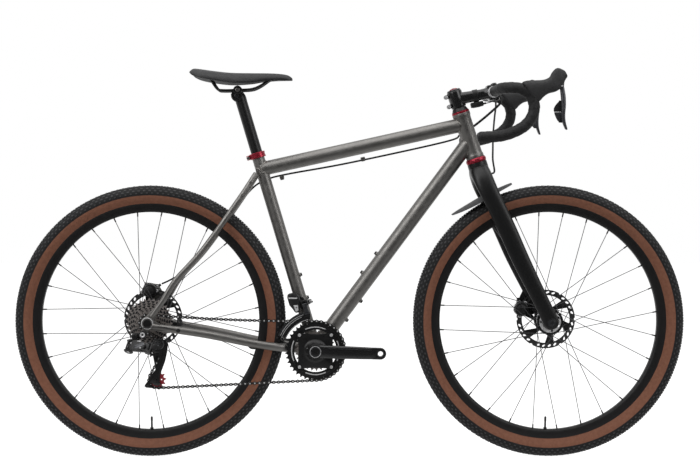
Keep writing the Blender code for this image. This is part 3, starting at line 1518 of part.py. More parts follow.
def build_cassette(looks, cog_gap):
    """Eleven sprockets on their carrier, the smallest outermost, with the lock ring."""
    half = COG_THICKNESS / 2
    place = plane_at(REAR_AXLE, SMALL_COG_Y)
    depth = (len(COG_TEETH) - 1) * COG_PITCH
    base = [
        (0, -depth - half),
        (0.0300, -depth - half),
        (0.0260, -depth * 0.6),
        (0.0200, -depth * 0.3),
        (0.0176, -COG_PITCH),
        (0.0176, half),
        (0.0160, half + 0.0012),
        (0, half + 0.0012),
    ]
    cassette = turned("cassette", base, place, looks["silver"], 8)
    cogs = []
    for index, teeth in enumerate(COG_TEETH):
        middle = -index * COG_PITCH
        outline = toothed_outline(teeth, cog_gap) if index == 0 else pointed_outline(teeth, 0.05)
        cogs.append(cog("cog", outline, middle - half, middle + half, place, None))
    join(cassette, cogs)
    bore = disc("bore", FREEHUB_RADIUS + CLEARANCE, -depth - 0.01, 0.01, place, None, 8)
    cut(cassette, [bore])


def build_freehub(looks):
    """The freehub body inside the cassette, with its end cap against the dropout."""
    place = plane_at(REAR_AXLE, 0)
    bore = (REAR_AXLE_RADIUS + TURNING_CLEARANCE) / math.cos(math.pi / 8)
    inner = -(REAR_RIGHT_FLANGE - FLANGE_THICKNESS / 2 - 0.0018) + CLEARANCE
    outer = REAR_SPACING / 2 - CLEARANCE
    shoulder = -SMALL_COG_Y + COG_THICKNESS / 2 + 0.0012
    profile = [
        (bore, inner), (FREEHUB_RADIUS, inner), (FREEHUB_RADIUS, shoulder), (0.0100, shoulder),
        (0.0100, outer), (bore, outer),
    ]
    turned("freehub_body", profile, place, looks["grey_metal"], 8)


def ring_hole(outer, inner, tab_half):
    """A chainring's inside edge: a circle that steps in to a tab at each of four bolts."""
    points = []
    for quarter in range(4):
        corner = math.radians(45 + 90 * quarter)
        points.append(polar(inner, corner - tab_half))
        points.append(polar(inner, corner + tab_half))
        for step in range(4):
            share = (step + 0.6) / 4.2
            points.append(polar(outer, corner + tab_half + share * (math.pi / 2 - 2 * tab_half)))
    return points


def bolt_place(circle, quarter):
    corner = math.radians(45 + 90 * quarter)
    x, z = polar(circle, corner)
    return BOTTOM_BRACKET + Vector((x, 0, z))


def build_chainrings(looks, ring_gap):
    half = RING_THICKNESS / 2
    place = plane_at(BOTTOM_BRACKET, OUTER_RING_Y)
    outline = toothed_outline(OUTER_RING_TEETH, ring_gap)
    outer = cog("chainring_outer", outline, -half, half, place, looks["black_metal"])
    hole = slab("hole", ring_hole(0.0650, 0.0535, math.radians(9)), -0.01, 0.01, place, None)
    bores = [
        disc("bore", 0.0053, -0.01, 0.01, plane_at(bolt_place(SPIDER_BOLT_CIRCLE, quarter),
                                                   OUTER_RING_Y), None, 6)
        for quarter in range(4)
    ]
    cut(outer, [hole, *bores])
    place = plane_at(BOTTOM_BRACKET, INNER_RING_Y)
    outline = pointed_outline(INNER_RING_TEETH, 0.06)
    inner = cog("chainring_inner", outline, -half, half, place, looks["black_metal"])
    hole = disc("hole", 0.0345, -0.01, 0.01, place, None, 12)
    bores = [
        disc("bore", 0.0043, -0.01, 0.01, plane_at(bolt_place(INNER_BOLT_CIRCLE, quarter),
                                                   INNER_RING_Y), None, 6)
        for quarter in range(4)
    ]
    cut(inner, [hole, *bores])


def crank_tip(side):
    """The pedal hole's centre: the right arm points forward, the left one back."""
    turn = CRANK_ANGLE if side < 0 else CRANK_ANGLE + math.pi
    return BOTTOM_BRACKET + Vector((math.cos(turn), 0, math.sin(turn))) * CRANK_LENGTH


CRANK_SECTIONS = (
    # along the arm, inset of the outer face, half thickness, half height
    (-0.0080, 0.0030, 0.0120, 0.0170),
    (0.0250, 0.0025, 0.0105, 0.0178),
    (0.0800, 0.0010, 0.0078, 0.0170),
    (0.1400, 0.0000, CRANK_THICKNESS / 2, 0.0160),
    (0.1760, 0.0000, CRANK_THICKNESS / 2, 0.0155),
    (0.1860, 0.0008, CRANK_THICKNESS / 2 - 0.0008, 0.0095),
)


def crank_arm(side, name, look):
    """A hollow-forged arm: thick at the axle, thin and rounded at the pedal."""
    along = (crank_tip(side) - BOTTOM_BRACKET).normalized()
    upward = Vector((-along.z, 0, along.x))
    rings = []
    for distance, inset, half_thickness, half_height in CRANK_SECTIONS:
        middle_y = side * (CRANK_OUTER_FACE - inset - half_thickness)
        centre = BOTTOM_BRACKET + along * distance + LATERAL * middle_y
        rings.append(
            ellipse_ring(centre, LATERAL * half_thickness, upward * half_height, 8, 0.6)
        )
    return loft(name, rings, look)


def crank_hub(side):
    return cylinder(
        "crank_hub",
        BOTTOM_BRACKET + LATERAL * side * CRANK_HUB_START,
        BOTTOM_BRACKET + LATERAL * side * (CRANK_OUTER_FACE - 0.002),
        0.0195,
        None,
        ROUND_STEPS,
        (1, 0, 0),
    )


def crank_bores(side):
    axle = cylinder(
        "axle_bore",
        BOTTOM_BRACKET,
        BOTTOM_BRACKET + LATERAL * side * (CRANK_OUTER_FACE - 0.004),
        CRANK_AXLE_RADIUS + CLEARANCE,
        None,
        ROUND_STEPS,
        (1, 0, 0),
    )
    tip = crank_tip(side)
    pedal = cylinder(
        "pedal_bore", tip, tip + LATERAL * side * 0.1, PEDAL_HOLE_RADIUS, None, 8, (1, 0, 0)
    )
    return [axle, pedal]


def build_cranks(looks):
    right = crank_arm(-1, "crank_right", looks["black_metal"])
    spider_inner = OUTER_RING_Y - RING_THICKNESS / 2 - CLEARANCE
    place = plane_at(BOTTOM_BRACKET, 0)
    outline = []
    for quarter in range(4):
        corner = math.radians(45 + 90 * quarter)
        outline += [polar(0.0665, corner - 0.13), polar(0.0665, corner + 0.13)]
        outline.append(polar(0.0420, corner + math.pi / 4))
    low = -spider_inner
    spider = slab("spider", outline, low, low + SPIDER_THICKNESS, place, None)
    fasteners = []
    for quarter in range(4):
        bolt = bolt_place(SPIDER_BOLT_CIRCLE, quarter)
        fasteners.append(
            cylinder(
                "bolt",
                bolt + LATERAL * (OUTER_RING_Y + RING_THICKNESS / 2 + 0.0012),
                bolt + LATERAL * (spider_inner - SPIDER_THICKNESS - 0.0012),
                0.0046,
                None,
                6,
                (1, 0, 0),
            )
        )
        boss = bolt_place(INNER_BOLT_CIRCLE, quarter)
        fasteners.append(
            cylinder(
                "inner_bolt",
                boss + LATERAL * (INNER_RING_Y + RING_THICKNESS / 2 + 0.001),
                boss + LATERAL * (spider_inner - 0.001),
                0.0036,
                None,
                6,
                (1, 0, 0),
            )
        )
    join(right, [crank_hub(-1), spider, *fasteners])
    cut(right, crank_bores(-1))
    left = crank_arm(1, "crank_left", looks["black_metal"])
    join(left, [crank_hub(1)])
    cut(left, crank_bores(1))
    end = CRANK_OUTER_FACE - 0.004 - CLEARANCE
    cylinder(
        "crank_axle",
        BOTTOM_BRACKET - LATERAL * end,
        BOTTOM_BRACKET + LATERAL * end,
        CRANK_AXLE_RADIUS,
        looks["steel"],
        ROUND_STEPS,
        (1, 0, 0),
    )


def build_bottom_bracket(looks):
    """Two outboard cups, each with its bearing inside, pressed into the shell."""
    bore = (CRANK_AXLE_RADIUS + TURNING_CLEARANCE) / math.cos(math.pi / ROUND_STEPS)
    shell = BB_SHELL_WIDTH / 2
    for side, label in ((-1, "right"), (1, "left")):
        place = frame_matrix(BOTTOM_BRACKET, LATERAL * side, (1, 0, 0))
        profile = [
            (bore, shell - 0.014),
            (BB_BORE - CLEARANCE, shell - 0.014),
            (BB_BORE - CLEARANCE, shell + CLEARANCE),
            (BB_SHELL_RADIUS - 0.0005, shell + CLEARANCE),
            (BB_SHELL_RADIUS - 0.0005, CRANK_HUB_START - CLEARANCE - 0.0015),
            (BB_SHELL_RADIUS - 0.0030, CRANK_HUB_START - CLEARANCE),
            (bore, CRANK_HUB_START - CLEARANCE),
        ]
        turned(f"bottom_bracket_cup_{label}", profile, place, looks["black_metal"], ROUND_STEPS)


def tangent_run(first, second):
    """The straight run between two sprockets, each given as (x, z, radius, turning sense)."""
    gap = Vector((second[0] - first[0], second[1] - first[1]))
    lean = math.asin((first[2] * first[3] - second[2] * second[3]) / gap.length)
    heading = math.atan2(gap.y, gap.x) + lean
    side = Vector((math.sin(heading), -math.cos(heading)))
    start = Vector(first[:2]) + side * first[2] * first[3]
    end = Vector(second[:2]) + side * second[2] * second[3]
    return start, end


def wrap_points(sprocket, start, end):
    """Points along a sprocket's pitch circle from one tangent point to the next."""
    centre = Vector(sprocket[:2])
    first = math.atan2(start.y - centre.y, start.x - centre.x)
    last = math.atan2(end.y - centre.y, end.x - centre.x)
    turn = (last - first) * sprocket[3] % (2 * math.pi)
    steps = max(8, int(turn * sprocket[2] / 0.001))
    points = []
    for step in range(1, steps):
        angle = first + sprocket[3] * turn * step / steps
        points.append(centre + Vector((math.cos(angle), math.sin(angle))) * sprocket[2])
    return points


def run_points(start, end, first_y, last_y, sag):
    """Points of a straight run, eased sideways between two sprockets' planes."""
    steps = 160
    points = []
    for step in range(steps + 1):
        share = step / steps
        flat = start.lerp(end, share)
        side = mixed(first_y, last_y, share * share * (3 - 2 * share))
        points.append(Vector((flat.x, side, flat.y - sag * 4 * share * (1 - share))))
    return points


def turned_about_cage_pivot(place, angle):
    """A place in the X Z plane moved round the cage's pivot, forwards for a positive angle."""
    pivot = Vector(CAGE_PIVOT)
    offset = Vector(place) - pivot
    cosine, sine = math.cos(angle), math.sin(angle)
    return pivot + Vector((offset.x * cosine - offset.y * sine, offset.x * sine + offset.y * cosine))


def chain_sprockets(cage_angle):
    small = pitch_radius(PULLEY_TEETH)
    guide = turned_about_cage_pivot(GUIDE_PULLEY, cage_angle)
    tension = turned_about_cage_pivot(TENSION_PULLEY, cage_angle)
    return {
        "ring": (BOTTOM_BRACKET.x, BOTTOM_BRACKET.z, pitch_radius(OUTER_RING_TEETH), -1),
        "tension": (tension.x, tension.y, small, -1),
        "guide": (guide.x, guide.y, small, 1),
        "cog": (REAR_AXLE.x, REAR_AXLE.z, pitch_radius(COG_TEETH[0]), -1),
    }


def chain_loop(cage_angle):
    """The chain's whole centre line, from the outer ring's lowest tangent point and back to it."""
    around = chain_sprockets(cage_angle)
    order = ["ring", "tension", "guide", "cog", "ring"]
    sides = {"ring": OUTER_RING_Y, "tension": SMALL_COG_Y, "guide": SMALL_COG_Y, "cog": SMALL_COG_Y}
    runs = [tangent_run(around[a], around[b]) for a, b in zip(order, order[1:])]
    loop = []
    for index, (start, end) in enumerate(runs):
        here, after = order[index], order[index + 1]
        sag = UPPER_RUN_SAG if here == "cog" else 0.0
        loop += run_points(start, end, sides[here], sides[after], sag)
        leaving = runs[(index + 1) % len(runs)][0]
        for flat in wrap_points(around[after], end, leaving):
            loop.append(Vector((flat.x, sides[after], flat.y)))
    return loop


def walk_pins(loop):
    """Pins set one chain pitch apart along the loop, and the part of a link left over."""
    pins = [loop[0]]
    for start, end in zip(loop, loop[1:] + loop[:1]):
        while (end - pins[-1]).length >= CHAIN_PITCH:
            along = end - start
            back = start - pins[-1]
            a, b = along.dot(along), 2 * back.dot(along)
            c = back.dot(back) - CHAIN_PITCH**2
            share = (-b + math.sqrt(max(b * b - 4 * a * c, 0))) / (2 * a)
            pins.append(start + along * share)
    return pins, (loop[0] - pins[-1]).length / CHAIN_PITCH


def link_count(cage_angle):
    pins, left_over = walk_pins(chain_loop(cage_angle))
    return len(pins) - 1 + left_over


def solve_cage_angle():
    """The angle of the cage at which the loop holds a whole, even number of links."""
    wanted = 2 * round(link_count(0.0) / 2)
    low, high = math.radians(-12), math.radians(12)
    for _ in range(40):
        middle = (low + high) / 2
        if link_count(middle) > wanted:
            low = middle
        else:
            high = middle
    return (low + high) / 2, wanted


def chain_pins(cage_angle, count):
    return walk_pins(chain_loop(cage_angle))[0][:count]


def gap_angle(pins, sprocket):
    """The angle of the pin that lies deepest in a sprocket's wrap, as seen from its centre."""
    centre = Vector(sprocket[:2])
    middle = Vector((0, 0))
    for pin in pins:
        flat = Vector((pin.x, pin.z))
        if abs((flat - centre).length - sprocket[2]) < 0.0002:
            middle += flat - centre
    outward = middle.normalized()
    nearest = max(pins, key=lambda pin: nearness(pin, centre, sprocket[2], outward))
    return math.atan2(nearest.z - centre.y, nearest.x - centre.x)


def nearness(pin, centre, radius, outward):
    """How nearly a pin lies on a pitch circle in the outward direction."""
    flat = Vector((pin.x, pin.z)) - centre
    on_circle = abs(flat.length - radius) < 0.0002
    return flat.dot(outward) if on_circle else -1.0


def rung_places(pins):
    """The pins that get a rung: every one on a sprocket, and every other one on the straight runs."""
    count = len(pins)
    kept = []
    for index, pin in enumerate(pins):
        back = pin - pins[index - 2]
        ahead = pins[(index + 2) % count] - pin
        straight = back.angle(ahead) < math.radians(2.5)
        if kept and kept[-1] is pins[index - 1] and straight:
            continue
        kept.append(pin)
    return kept


def build_chain(looks, pins):
    """The chain as one closed ladder: a rung at each pin, and a window for a tooth between rungs."""
    work = bmesh.new()
    pins = rung_places(pins)
    count = len(pins)
    rungs = []
    for index, pin in enumerate(pins):
        ahead = (pins[(index + 1) % count] - pins[index - 1]).normalized()
        upward = Vector((-ahead.z, 0, ahead.x)).normalized() * CHAIN_HEIGHT / 2
        outer_width = CHAIN_INNER_HALF_WIDTH + CHAIN_PLATE
        rung = {}
        for up in (-1, 1):
            for side in (-1, 1):
                level = pin + upward * up
                rung["outer", up, side] = work.verts.new(level + LATERAL * side * outer_width)
                for end in (-1, 1):
                    corner = level + LATERAL * side * CHAIN_INNER_HALF_WIDTH
                    corner += ahead * end * CHAIN_PIN_HALF_LENGTH
                    rung["inner", up, side, end] = work.verts.new(corner)
        rungs.append(rung)
    for index, rung in enumerate(rungs):
        after = rungs[(index + 1) % count]
        for up in (-1, 1):
            work.faces.new(
                (
                    rung["outer", up, -1],
                    rung["inner", up, -1, -1],
                    rung["inner", up, 1, -1],
                    rung["outer", up, 1],
                    rung["inner", up, 1, 1],
                    rung["inner", up, -1, 1],
                )
            )
            for side in (-1, 1):
                work.faces.new(
                    (
                        rung["outer", up, side],
                        after["outer", up, side],
                        after["inner", up, side, -1],
                        rung["inner", up, side, 1],
                    )
                )
        for side in (-1, 1):
            wall = [rung["outer", -1, side], after["outer", -1, side]]
            wall += [after["outer", 1, side], rung["outer", 1, side]]
            work.faces.new(wall)
            wall = [rung["inner", -1, side, 1], after["inner", -1, side, -1]]
            wall += [after["inner", 1, side, -1], rung["inner", 1, side, 1]]
            work.faces.new(wall)
        for end in (-1, 1):
            wall = [rung["inner", -1, -1, end], rung["inner", -1, 1, end]]
            wall += [rung["inner", 1, 1, end], rung["inner", 1, -1, end]]
            work.faces.new(wall)
    return store("chain", work, looks["steel"])


def capsule(name, start, end, radius, low, high, place, look):
    """A flat bar with rounded ends between two points of the local X Y plane."""
    heading = math.atan2(end[1] - start[1], end[0] - start[0])
    outline = []
    for centre, opening in ((end, heading - math.pi / 2), (start, heading + math.pi / 2)):
        for step in range(4):
            x, y = polar(radius, opening + math.pi * step / 3)
            outline.append((centre[0] + x, centre[1] + y))
    return slab(name, outline, low, high, place, look)


def shifter_axes():
    """The rear parallelogram's forward, slanted and pin directions."""
    forward = Vector((math.cos(RD_TILT), 0, -math.sin(RD_TILT)))
    downward = Vector((-math.sin(RD_TILT), 0, -math.cos(RD_TILT)))
    slanted = LATERAL * math.cos(RD_SLANT) + downward * math.sin(RD_SLANT)
    return forward, slanted, forward.cross(slanted)


def rd_swing():
    """Half the parallelogram's swing, so that it reaches from the smallest cog to the largest."""
    shift = (len(COG_TEETH) - 1) * COG_PITCH
    return math.asin(shift / (2 * RD_LINK * math.cos(RD_SLANT)))


def rd_knuckle_centre():
    forward, slanted, _ = shifter_axes()
    swing = rd_swing()
    return RD_BASE_PINS + (forward * math.cos(swing) - slanted * math.sin(swing)) * RD_LINK


def clevis(place, ends, inner, outer, edge):
    """A U-shaped yoke: two ears and the wall between them.

    The place has its X axis along the pins and its Z axis along the yoke's length. ends are the
    local Y of the ears' tips, of the wall's inner face and of its back.
    """
    tip, floor, back = ends
    outline = [
        (-outer, tip), (-inner, tip), (-inner, floor), (inner, floor), (inner, tip), (outer, tip),
        (outer, back), (-outer, back),
    ]
    return slab("clevis", outline, -edge, edge, place, None)


def pin_holes(place, spread, radius, reach):
    """Cutters for the two pins' holes."""
    holes = []
    for side in (-1, 1):
        centre = place @ Vector((0, side * spread, 0))
        axis = place.to_3x3() @ Vector((0, 0, reach))
        holes.append(cylinder("pin_hole", centre - axis, centre + axis, radius, None, 6, (1, 0, 0)))
    return holes


def build_rear_derailleur(looks, cage_angle, guide_gap, tension_gap):
    forward, slanted, pin = shifter_axes()
    base = frame_matrix(RD_BASE_PINS, pin, forward)
    hole = RD_PIN_RADIUS + TURNING_CLEARANCE
    ear_inner = RD_LINK_HALF_WIDTH + CLEARANCE
    ear_outer = ear_inner + EAR_THICKNESS
    edge = RD_PIN_SPREAD + 0.0048
    yoke = frame_matrix(RD_BASE_PINS, slanted, pin)
    ears = clevis(yoke, (0.0040, -0.0060, -0.0095), ear_inner, ear_outer, edge)
    bolt = Vector((HANGER_BOLT[0], 0, HANGER_BOLT[1]))
    hanger_face = -REAR_SPACING / 2 - DROPOUT_THICKNESS - TURNING_CLEARANCE
    body = cylinder(
        "rear_derailleur_body",
        bolt + LATERAL * hanger_face,
        bolt + LATERAL * (hanger_face - 0.018),
        0.0098,
        looks["black_metal"],
        ROUND_STEPS,
        (1, 0, 0),
    )
    bolt_shaft = cylinder(
        "bolt",
        bolt + LATERAL * (-REAR_SPACING / 2 - 0.001),
        bolt + LATERAL * (hanger_face - 0.002),
        0.0045,
        None,
        8,
        (1, 0, 0),
    )
    arm_path = [
        RD_BASE_PINS + pin * 0.0155 - forward * 0.004,
        RD_BASE_PINS + pin * 0.0165 + forward * 0.006 - slanted * 0.004,
        bolt + LATERAL * (hanger_face - 0.0100),
    ]
    arm = swept("arm", arm_path, [(0.0042, 0.0075), (0.0045, 0.0075), (0.0050, 0.0070)], None, 8,
                hint=pin, power=0.7)
    join(body, [bolt_shaft, arm, ears])
    cut(body, pin_holes(base, RD_PIN_SPREAD, hole, 0.03))

    swing = rd_swing()
    for side, name, look in ((-1, "rd_outer_link", "grey_metal"), (1, "rd_inner_link", "black_metal")):
        origin = RD_BASE_PINS + slanted * side * RD_PIN_SPREAD
        heading = forward * math.cos(swing) - slanted * math.sin(swing)
        place = frame_matrix(origin, pin, heading)
        half = RD_LINK_HALF_WIDTH
        link = capsule(name, (0, 0), (RD_LINK, 0), 0.0042, -half, half, place, looks[look])
        extras = []
        for reach in (0, RD_LINK):
            foot = place @ Vector((reach, 0, -half - 0.003))
            top = place @ Vector((reach, 0, half + 0.003))
            extras.append(cylinder("pin", foot, top, RD_PIN_RADIUS, None, 6, heading))
        if side < 0:
            middle = RD_LINK / 2
            cover = place @ Matrix.Translation((middle, -0.0105, -0.0030))
            web = place @ Matrix.Translation((middle, -0.0055, 0))
            extras.append(block("cover", cover, (0.047, 0.0070, 0.033), None, 0.0025))
            extras.append(block("web", web, (0.030, 0.0060, 0.016), None))
        join(link, extras)

    centre = rd_knuckle_centre()
    end_place = frame_matrix(centre, pin, forward)
    pivot = Vector((CAGE_PIVOT[0], 0, CAGE_PIVOT[1]))
    inner_face = SMALL_COG_Y - CAGE_HALF_WIDTH - CAGE_PLATE - 0.001
    knuckle = cylinder(
        "rd_knuckle",
        pivot + LATERAL * inner_face,
        pivot + LATERAL * (inner_face - 0.0220),
        0.0098,
        looks["black_metal"],
        ROUND_STEPS,
        (1, 0, 0),
    )
    cap = cylinder(
        "cap",
        pivot + LATERAL * (inner_face - 0.0150),
        pivot + LATERAL * (inner_face - 0.0215),
        0.0140,
        None,
        ROUND_STEPS,
        (1, 0, 0),
    )
    neck = swept(
        "neck",
        [centre + forward * 0.0092, pivot + LATERAL * (inner_face - 0.0150)],
        [(0.0085, 0.0045), (0.0080, 0.0062)],
        None,
        8,
        hint=pin,
        power=0.7,
    )
    yoke = frame_matrix(centre, slanted, pin)
    ears = clevis(yoke, (-0.0040, 0.0060, 0.0095), ear_inner, ear_outer, edge)
    join(knuckle, [cap, neck, ears])
    bores = pin_holes(end_place, RD_PIN_SPREAD, hole, 0.03)
    bores.append(
        cylinder(
            "pivot_bore",
            pivot + LATERAL * (inner_face + 0.01),
            pivot + LATERAL * (inner_face - 0.0190),
            CAGE_STUB_RADIUS + TURNING_CLEARANCE,
            None,
            10,
            (1, 0, 0),
        )
    )
    cut(knuckle, bores)
    build_cage(looks, cage_angle, inner_face)
    build_pulley(looks, "guide_pulley", turned_about_cage_pivot(GUIDE_PULLEY, cage_angle), guide_gap)
    build_pulley(
        looks, "tension_pulley", turned_about_cage_pivot(TENSION_PULLEY, cage_angle), tension_gap
    )


OUTER_CAGE_OUTLINE = (
    (-0.5165, 0.3205), (-0.4985, 0.3215), (-0.4800, 0.3085), (-0.4835, 0.2680),
    (-0.4930, 0.2410), (-0.4835, 0.1935), (-0.5330, 0.1935), (-0.5120, 0.2400),
    (-0.5030, 0.2660), (-0.5240, 0.2870), (-0.5245, 0.3040),
)
INNER_CAGE_OUTLINE = (
    (-0.5225, 0.3010), (-0.5105, 0.3025), (-0.5000, 0.2890), (-0.4935, 0.2410),
    (-0.4920, 0.2100), (-0.5010, 0.2030), (-0.5110, 0.2090), (-0.5100, 0.2420), (-0.5235, 0.2890),
)


def build_cage(looks, cage_angle, inner_face):
    """The pulley cage: two plates, the pulleys' bolts across them, and the stub it turns on."""
    place = across((0, SMALL_COG_Y, 0))
    outer = [turned_about_cage_pivot(spot, cage_angle) for spot in OUTER_CAGE_OUTLINE]
    inner = [turned_about_cage_pivot(spot, cage_angle) for spot in INNER_CAGE_OUTLINE]
    near, far = CAGE_HALF_WIDTH, CAGE_HALF_WIDTH + CAGE_PLATE
    cage = slab("rd_cage", outer, near, far, place, looks["black_metal"])
    pieces = [slab("inner_plate", inner, -far, -near, place, None)]
    for spot in (GUIDE_PULLEY, TENSION_PULLEY):
        x, z = turned_about_cage_pivot(spot, cage_angle)
        axis = Vector((x, SMALL_COG_Y, z))
        pieces.append(
            cylinder(
                "pulley_bolt", axis - LATERAL * (far + 0.0015), axis + LATERAL * (far + 0.0008),
                PULLEY_BOLT_RADIUS, None, 8, (1, 0, 0),
            )
        )
    pivot = Vector((CAGE_PIVOT[0], 0, CAGE_PIVOT[1]))
    pieces.append(
        cylinder(
            "stub",
            pivot + LATERAL * (SMALL_COG_Y - near - CAGE_PLATE / 2),
            pivot + LATERAL * (inner_face - 0.0180),
            CAGE_STUB_RADIUS,
            None,
            10,
            (1, 0, 0),
        )
    )
    join(cage, pieces)


def build_pulley(looks, name, spot, gap):
    place = across((spot.x, SMALL_COG_Y, spot.y))
    half = PULLEY_THICKNESS / 2
    outline = toothed_outline(PULLEY_TEETH, gap)
    pulley = cog(name, outline, -half, half, place, looks["plastic"])
    hub = disc("hub", 0.0075, -0.0038, 0.0038, place, None, 10)
    join(pulley, [hub])
    bore = (PULLEY_BOLT_RADIUS + TURNING_CLEARANCE) / math.cos(math.pi / 10)
    cut(pulley, [disc("bore", bore, -0.01, 0.01, place, None, 10)])


def fd_axes():
    """The front parallelogram's outward radial direction and its pins' direction."""
    radial = Vector((-math.sin(FD_LEAN), 0, math.cos(FD_LEAN)))
    return radial, Vector((radial.z, 0, -radial.x))


def fd_swing():
    """Half the swing that carries the cage from the outer ring to the inner one."""
    return math.asin((INNER_RING_Y - OUTER_RING_Y) / (2 * FD_LINK))


def fd_body_pins():
    radial, _ = fd_axes()
    return BOTTOM_BRACKET + radial * FD_PIN_DISTANCE + LATERAL * (OUTER_RING_Y + INNER_RING_Y) / 2


def fd_cage_pins():
    radial, _ = fd_axes()
    swing = fd_swing()
    return fd_body_pins() - (radial * math.cos(swing) + LATERAL * math.sin(swing)) * FD_LINK


def build_front_derailleur(looks):
    radial, pin = fd_axes()
    half = FD_LINK_HALF_WIDTH
    low, high = half + CLEARANCE, half + CLEARANCE + 0.0028
    hole = FD_PIN_RADIUS + TURNING_CLEARANCE
    base = frame_matrix(fd_body_pins(), pin, LATERAL)
    edge = FD_PIN_SPREAD + 0.0042
    clamp_at = on_seat_tube(FD_CLAMP_DISTANCE)
    body = cylinder(
        "front_derailleur_body",
        clamp_at - SEAT_DIRECTION * 0.006,
        clamp_at + SEAT_DIRECTION * 0.006,
        SEAT_TUBE_RADIUS + 0.0050,
        looks["black_metal"],
        ROUND_STEPS,
    )
    yoke = frame_matrix(fd_body_pins(), LATERAL, pin)
    motor_centre = Vector((-0.1482, -0.0345, 0.4215))
    pieces = [
        clevis(yoke, (0.0038, -0.0050, -0.0110), low, high, edge),
        block("motor", Matrix.Translation(motor_centre), (0.0390, 0.0210, 0.0350), None, 0.004),
        block("neck", Matrix.Translation((-0.1400, -0.0220, 0.4120)), (0.018, 0.014, 0.011), None),
    ]
    join(body, pieces)
    clamp_bore = cylinder(
        "clamp_bore",
        clamp_at - SEAT_DIRECTION * 0.03,
        clamp_at + SEAT_DIRECTION * 0.03,
        SEAT_TUBE_RADIUS + CLEARANCE,
        None,
        ROUND_STEPS,
    )
    cut(body, [clamp_bore, *fd_holes(base, hole)])

    swing = fd_swing()
    for side, name in ((-1, "fd_outer_link"), (1, "fd_inner_link")):
        start = (side * FD_PIN_SPREAD, 0)
        end = (start[0] - FD_LINK * math.sin(swing), -FD_LINK * math.cos(swing))
        link = capsule(name, start, end, 0.0035, -half, half, base, looks["grey_metal"])
        pins = []
        for spot in (start, end):
            foot = base @ Vector((*spot, -half - 0.0025))
            top = base @ Vector((*spot, half + 0.0025))
            pins.append(cylinder("pin", foot, top, FD_PIN_RADIUS, None, 6, radial))
        join(link, pins)
    build_fd_cage(looks, low, high, edge, hole)


def fd_holes(place, radius):
    holes = []
    for side in (-1, 1):
        centre = place @ Vector((side * FD_PIN_SPREAD, 0, 0))
        axis = place.to_3x3() @ Vector((0, 0, 0.0115))
        holes.append(cylinder("hole", centre - axis, centre + axis, radius, None, 6))
    return holes


def build_fd_cage(looks, low, high, edge, hole):
    """The cage: two curved plates either side of the chain, a bridge and two lugs for the pins."""
    _, pin = fd_axes()
    top = frame_matrix(fd_cage_pins(), pin, LATERAL)
    outline = []
    for angle in (98, 110, 122, 134, 146, 158):
        x, z = polar(FD_CAGE_RADIUS, math.radians(angle))
        outline.append((BOTTOM_BRACKET.x + x, BOTTOM_BRACKET.z + z))
    outline += [(-0.186, 0.331), (-0.191, 0.345), (-0.178, 0.377), (-0.150, 0.3905), (-0.1326, 0.393)]
    outline += [(-0.1033, 0.388)]
    near, far = FD_CAGE_HALF_WIDTH, FD_CAGE_HALF_WIDTH + 0.0011
    place = across((0, OUTER_RING_Y, 0))
    cage = slab("fd_cage", outline, near, far, place, looks["silver"])
    yoke = frame_matrix(fd_cage_pins(), LATERAL, pin)
    tail = Vector((-0.184, OUTER_RING_Y, 0.343))
    pieces = [
        slab("inner_plate", outline, -far, -near, place, None),
        clevis(yoke, (-0.0036, 0.0052, 0.0085), low, high, edge),
        cylinder("tail_bolt", tail - LATERAL * far, tail + LATERAL * far, 0.0028, None, 8, (1, 0, 0)),
    ]
    join(cage, pieces)
    link_space = [(-low, -0.02), (low, -0.02), (low, 0.0052), (-low, 0.0052)]
    cut(cage, [slab("link_space", link_space, -2 * edge, 2 * edge, yoke, None)])
    cut(cage, fd_holes(top, hole))


def build_caliper(looks, name, centre, axle, low_y, high_y, rotor_y, fitting):
    """A caliper over the rotor's edge: two halves joined outside the rotor, with a hose port."""
    spot = Vector((centre[0], 0, centre[1]))
    outward = (spot - axle).normalized()
    place = frame_matrix(spot + LATERAL * (low_y + high_y) / 2, LATERAL, outward)
    caliper = block(
        name, place, (CALIPER_DEPTH, CALIPER_LENGTH, high_y - low_y), looks["black_metal"], 0.004
    )
    ridge = block(
        "piston_housing", place, (CALIPER_DEPTH - 0.010, CALIPER_LENGTH - 0.020, high_y - low_y - 0.002),
        None,
    )
    fitting_start = Vector((fitting[0], fitting[1], fitting[2]))
    inward = place.translation - fitting_start
    port = cylinder("port", fitting_start, fitting_start + inward * 0.6, 0.0040, None, 8, (1, 0, 0))
    join(caliper, [ridge, port])
    slot_end = ROTOR_RADIUS + 0.002
    centre_radius = (spot - axle).length
    slot_depth = slot_end - (centre_radius - CALIPER_DEPTH)
    slot_place = frame_matrix(
        axle + outward * (slot_end - slot_depth / 2) + LATERAL * rotor_y, LATERAL, outward
    )
    slot = block("rotor_slot", slot_place, (slot_depth, 2 * CALIPER_LENGTH, CALIPER_SLOT), None)
    cut(caliper, [slot])


def thinned(path, longest):
    """The path without the points that it needs neither for its bends nor for its longest step."""
    points = [path[0]]
    for index in range(1, len(path) - 1):
        step = path[index + 1] - points[-1]
        bend = (path[index] - points[-1]).angle(path[index + 1] - path[index])
        turned_by = heading_at(path, index).angle(heading_at(path, path.index(points[-1])))
        if step.length > longest or max(bend, turned_by) > math.radians(17):
            points.append(path[index])
    return points + [path[-1]]


def cord(name, points, radius, look, longest):
    """A hose or wire along a smooth curve through the points."""
    path = thinned(smooth_path(points, 8), longest)
    curve = bpy.data.curves.new(name, "CURVE")
    curve.dimensions = "3D"
    curve.bevel_depth = radius
    curve.bevel_resolution = 2
    curve.use_fill_caps = True
    spline = curve.splines.new("POLY")
    spline.points.add(len(path) - 1)
    for place, point in zip(path, spline.points):
        point.co = (*place, 1.0)
    made = bpy.data.objects.new(name, curve)
    bpy.context.scene.collection.objects.link(made)
    made.data.materials.append(look)
    return made


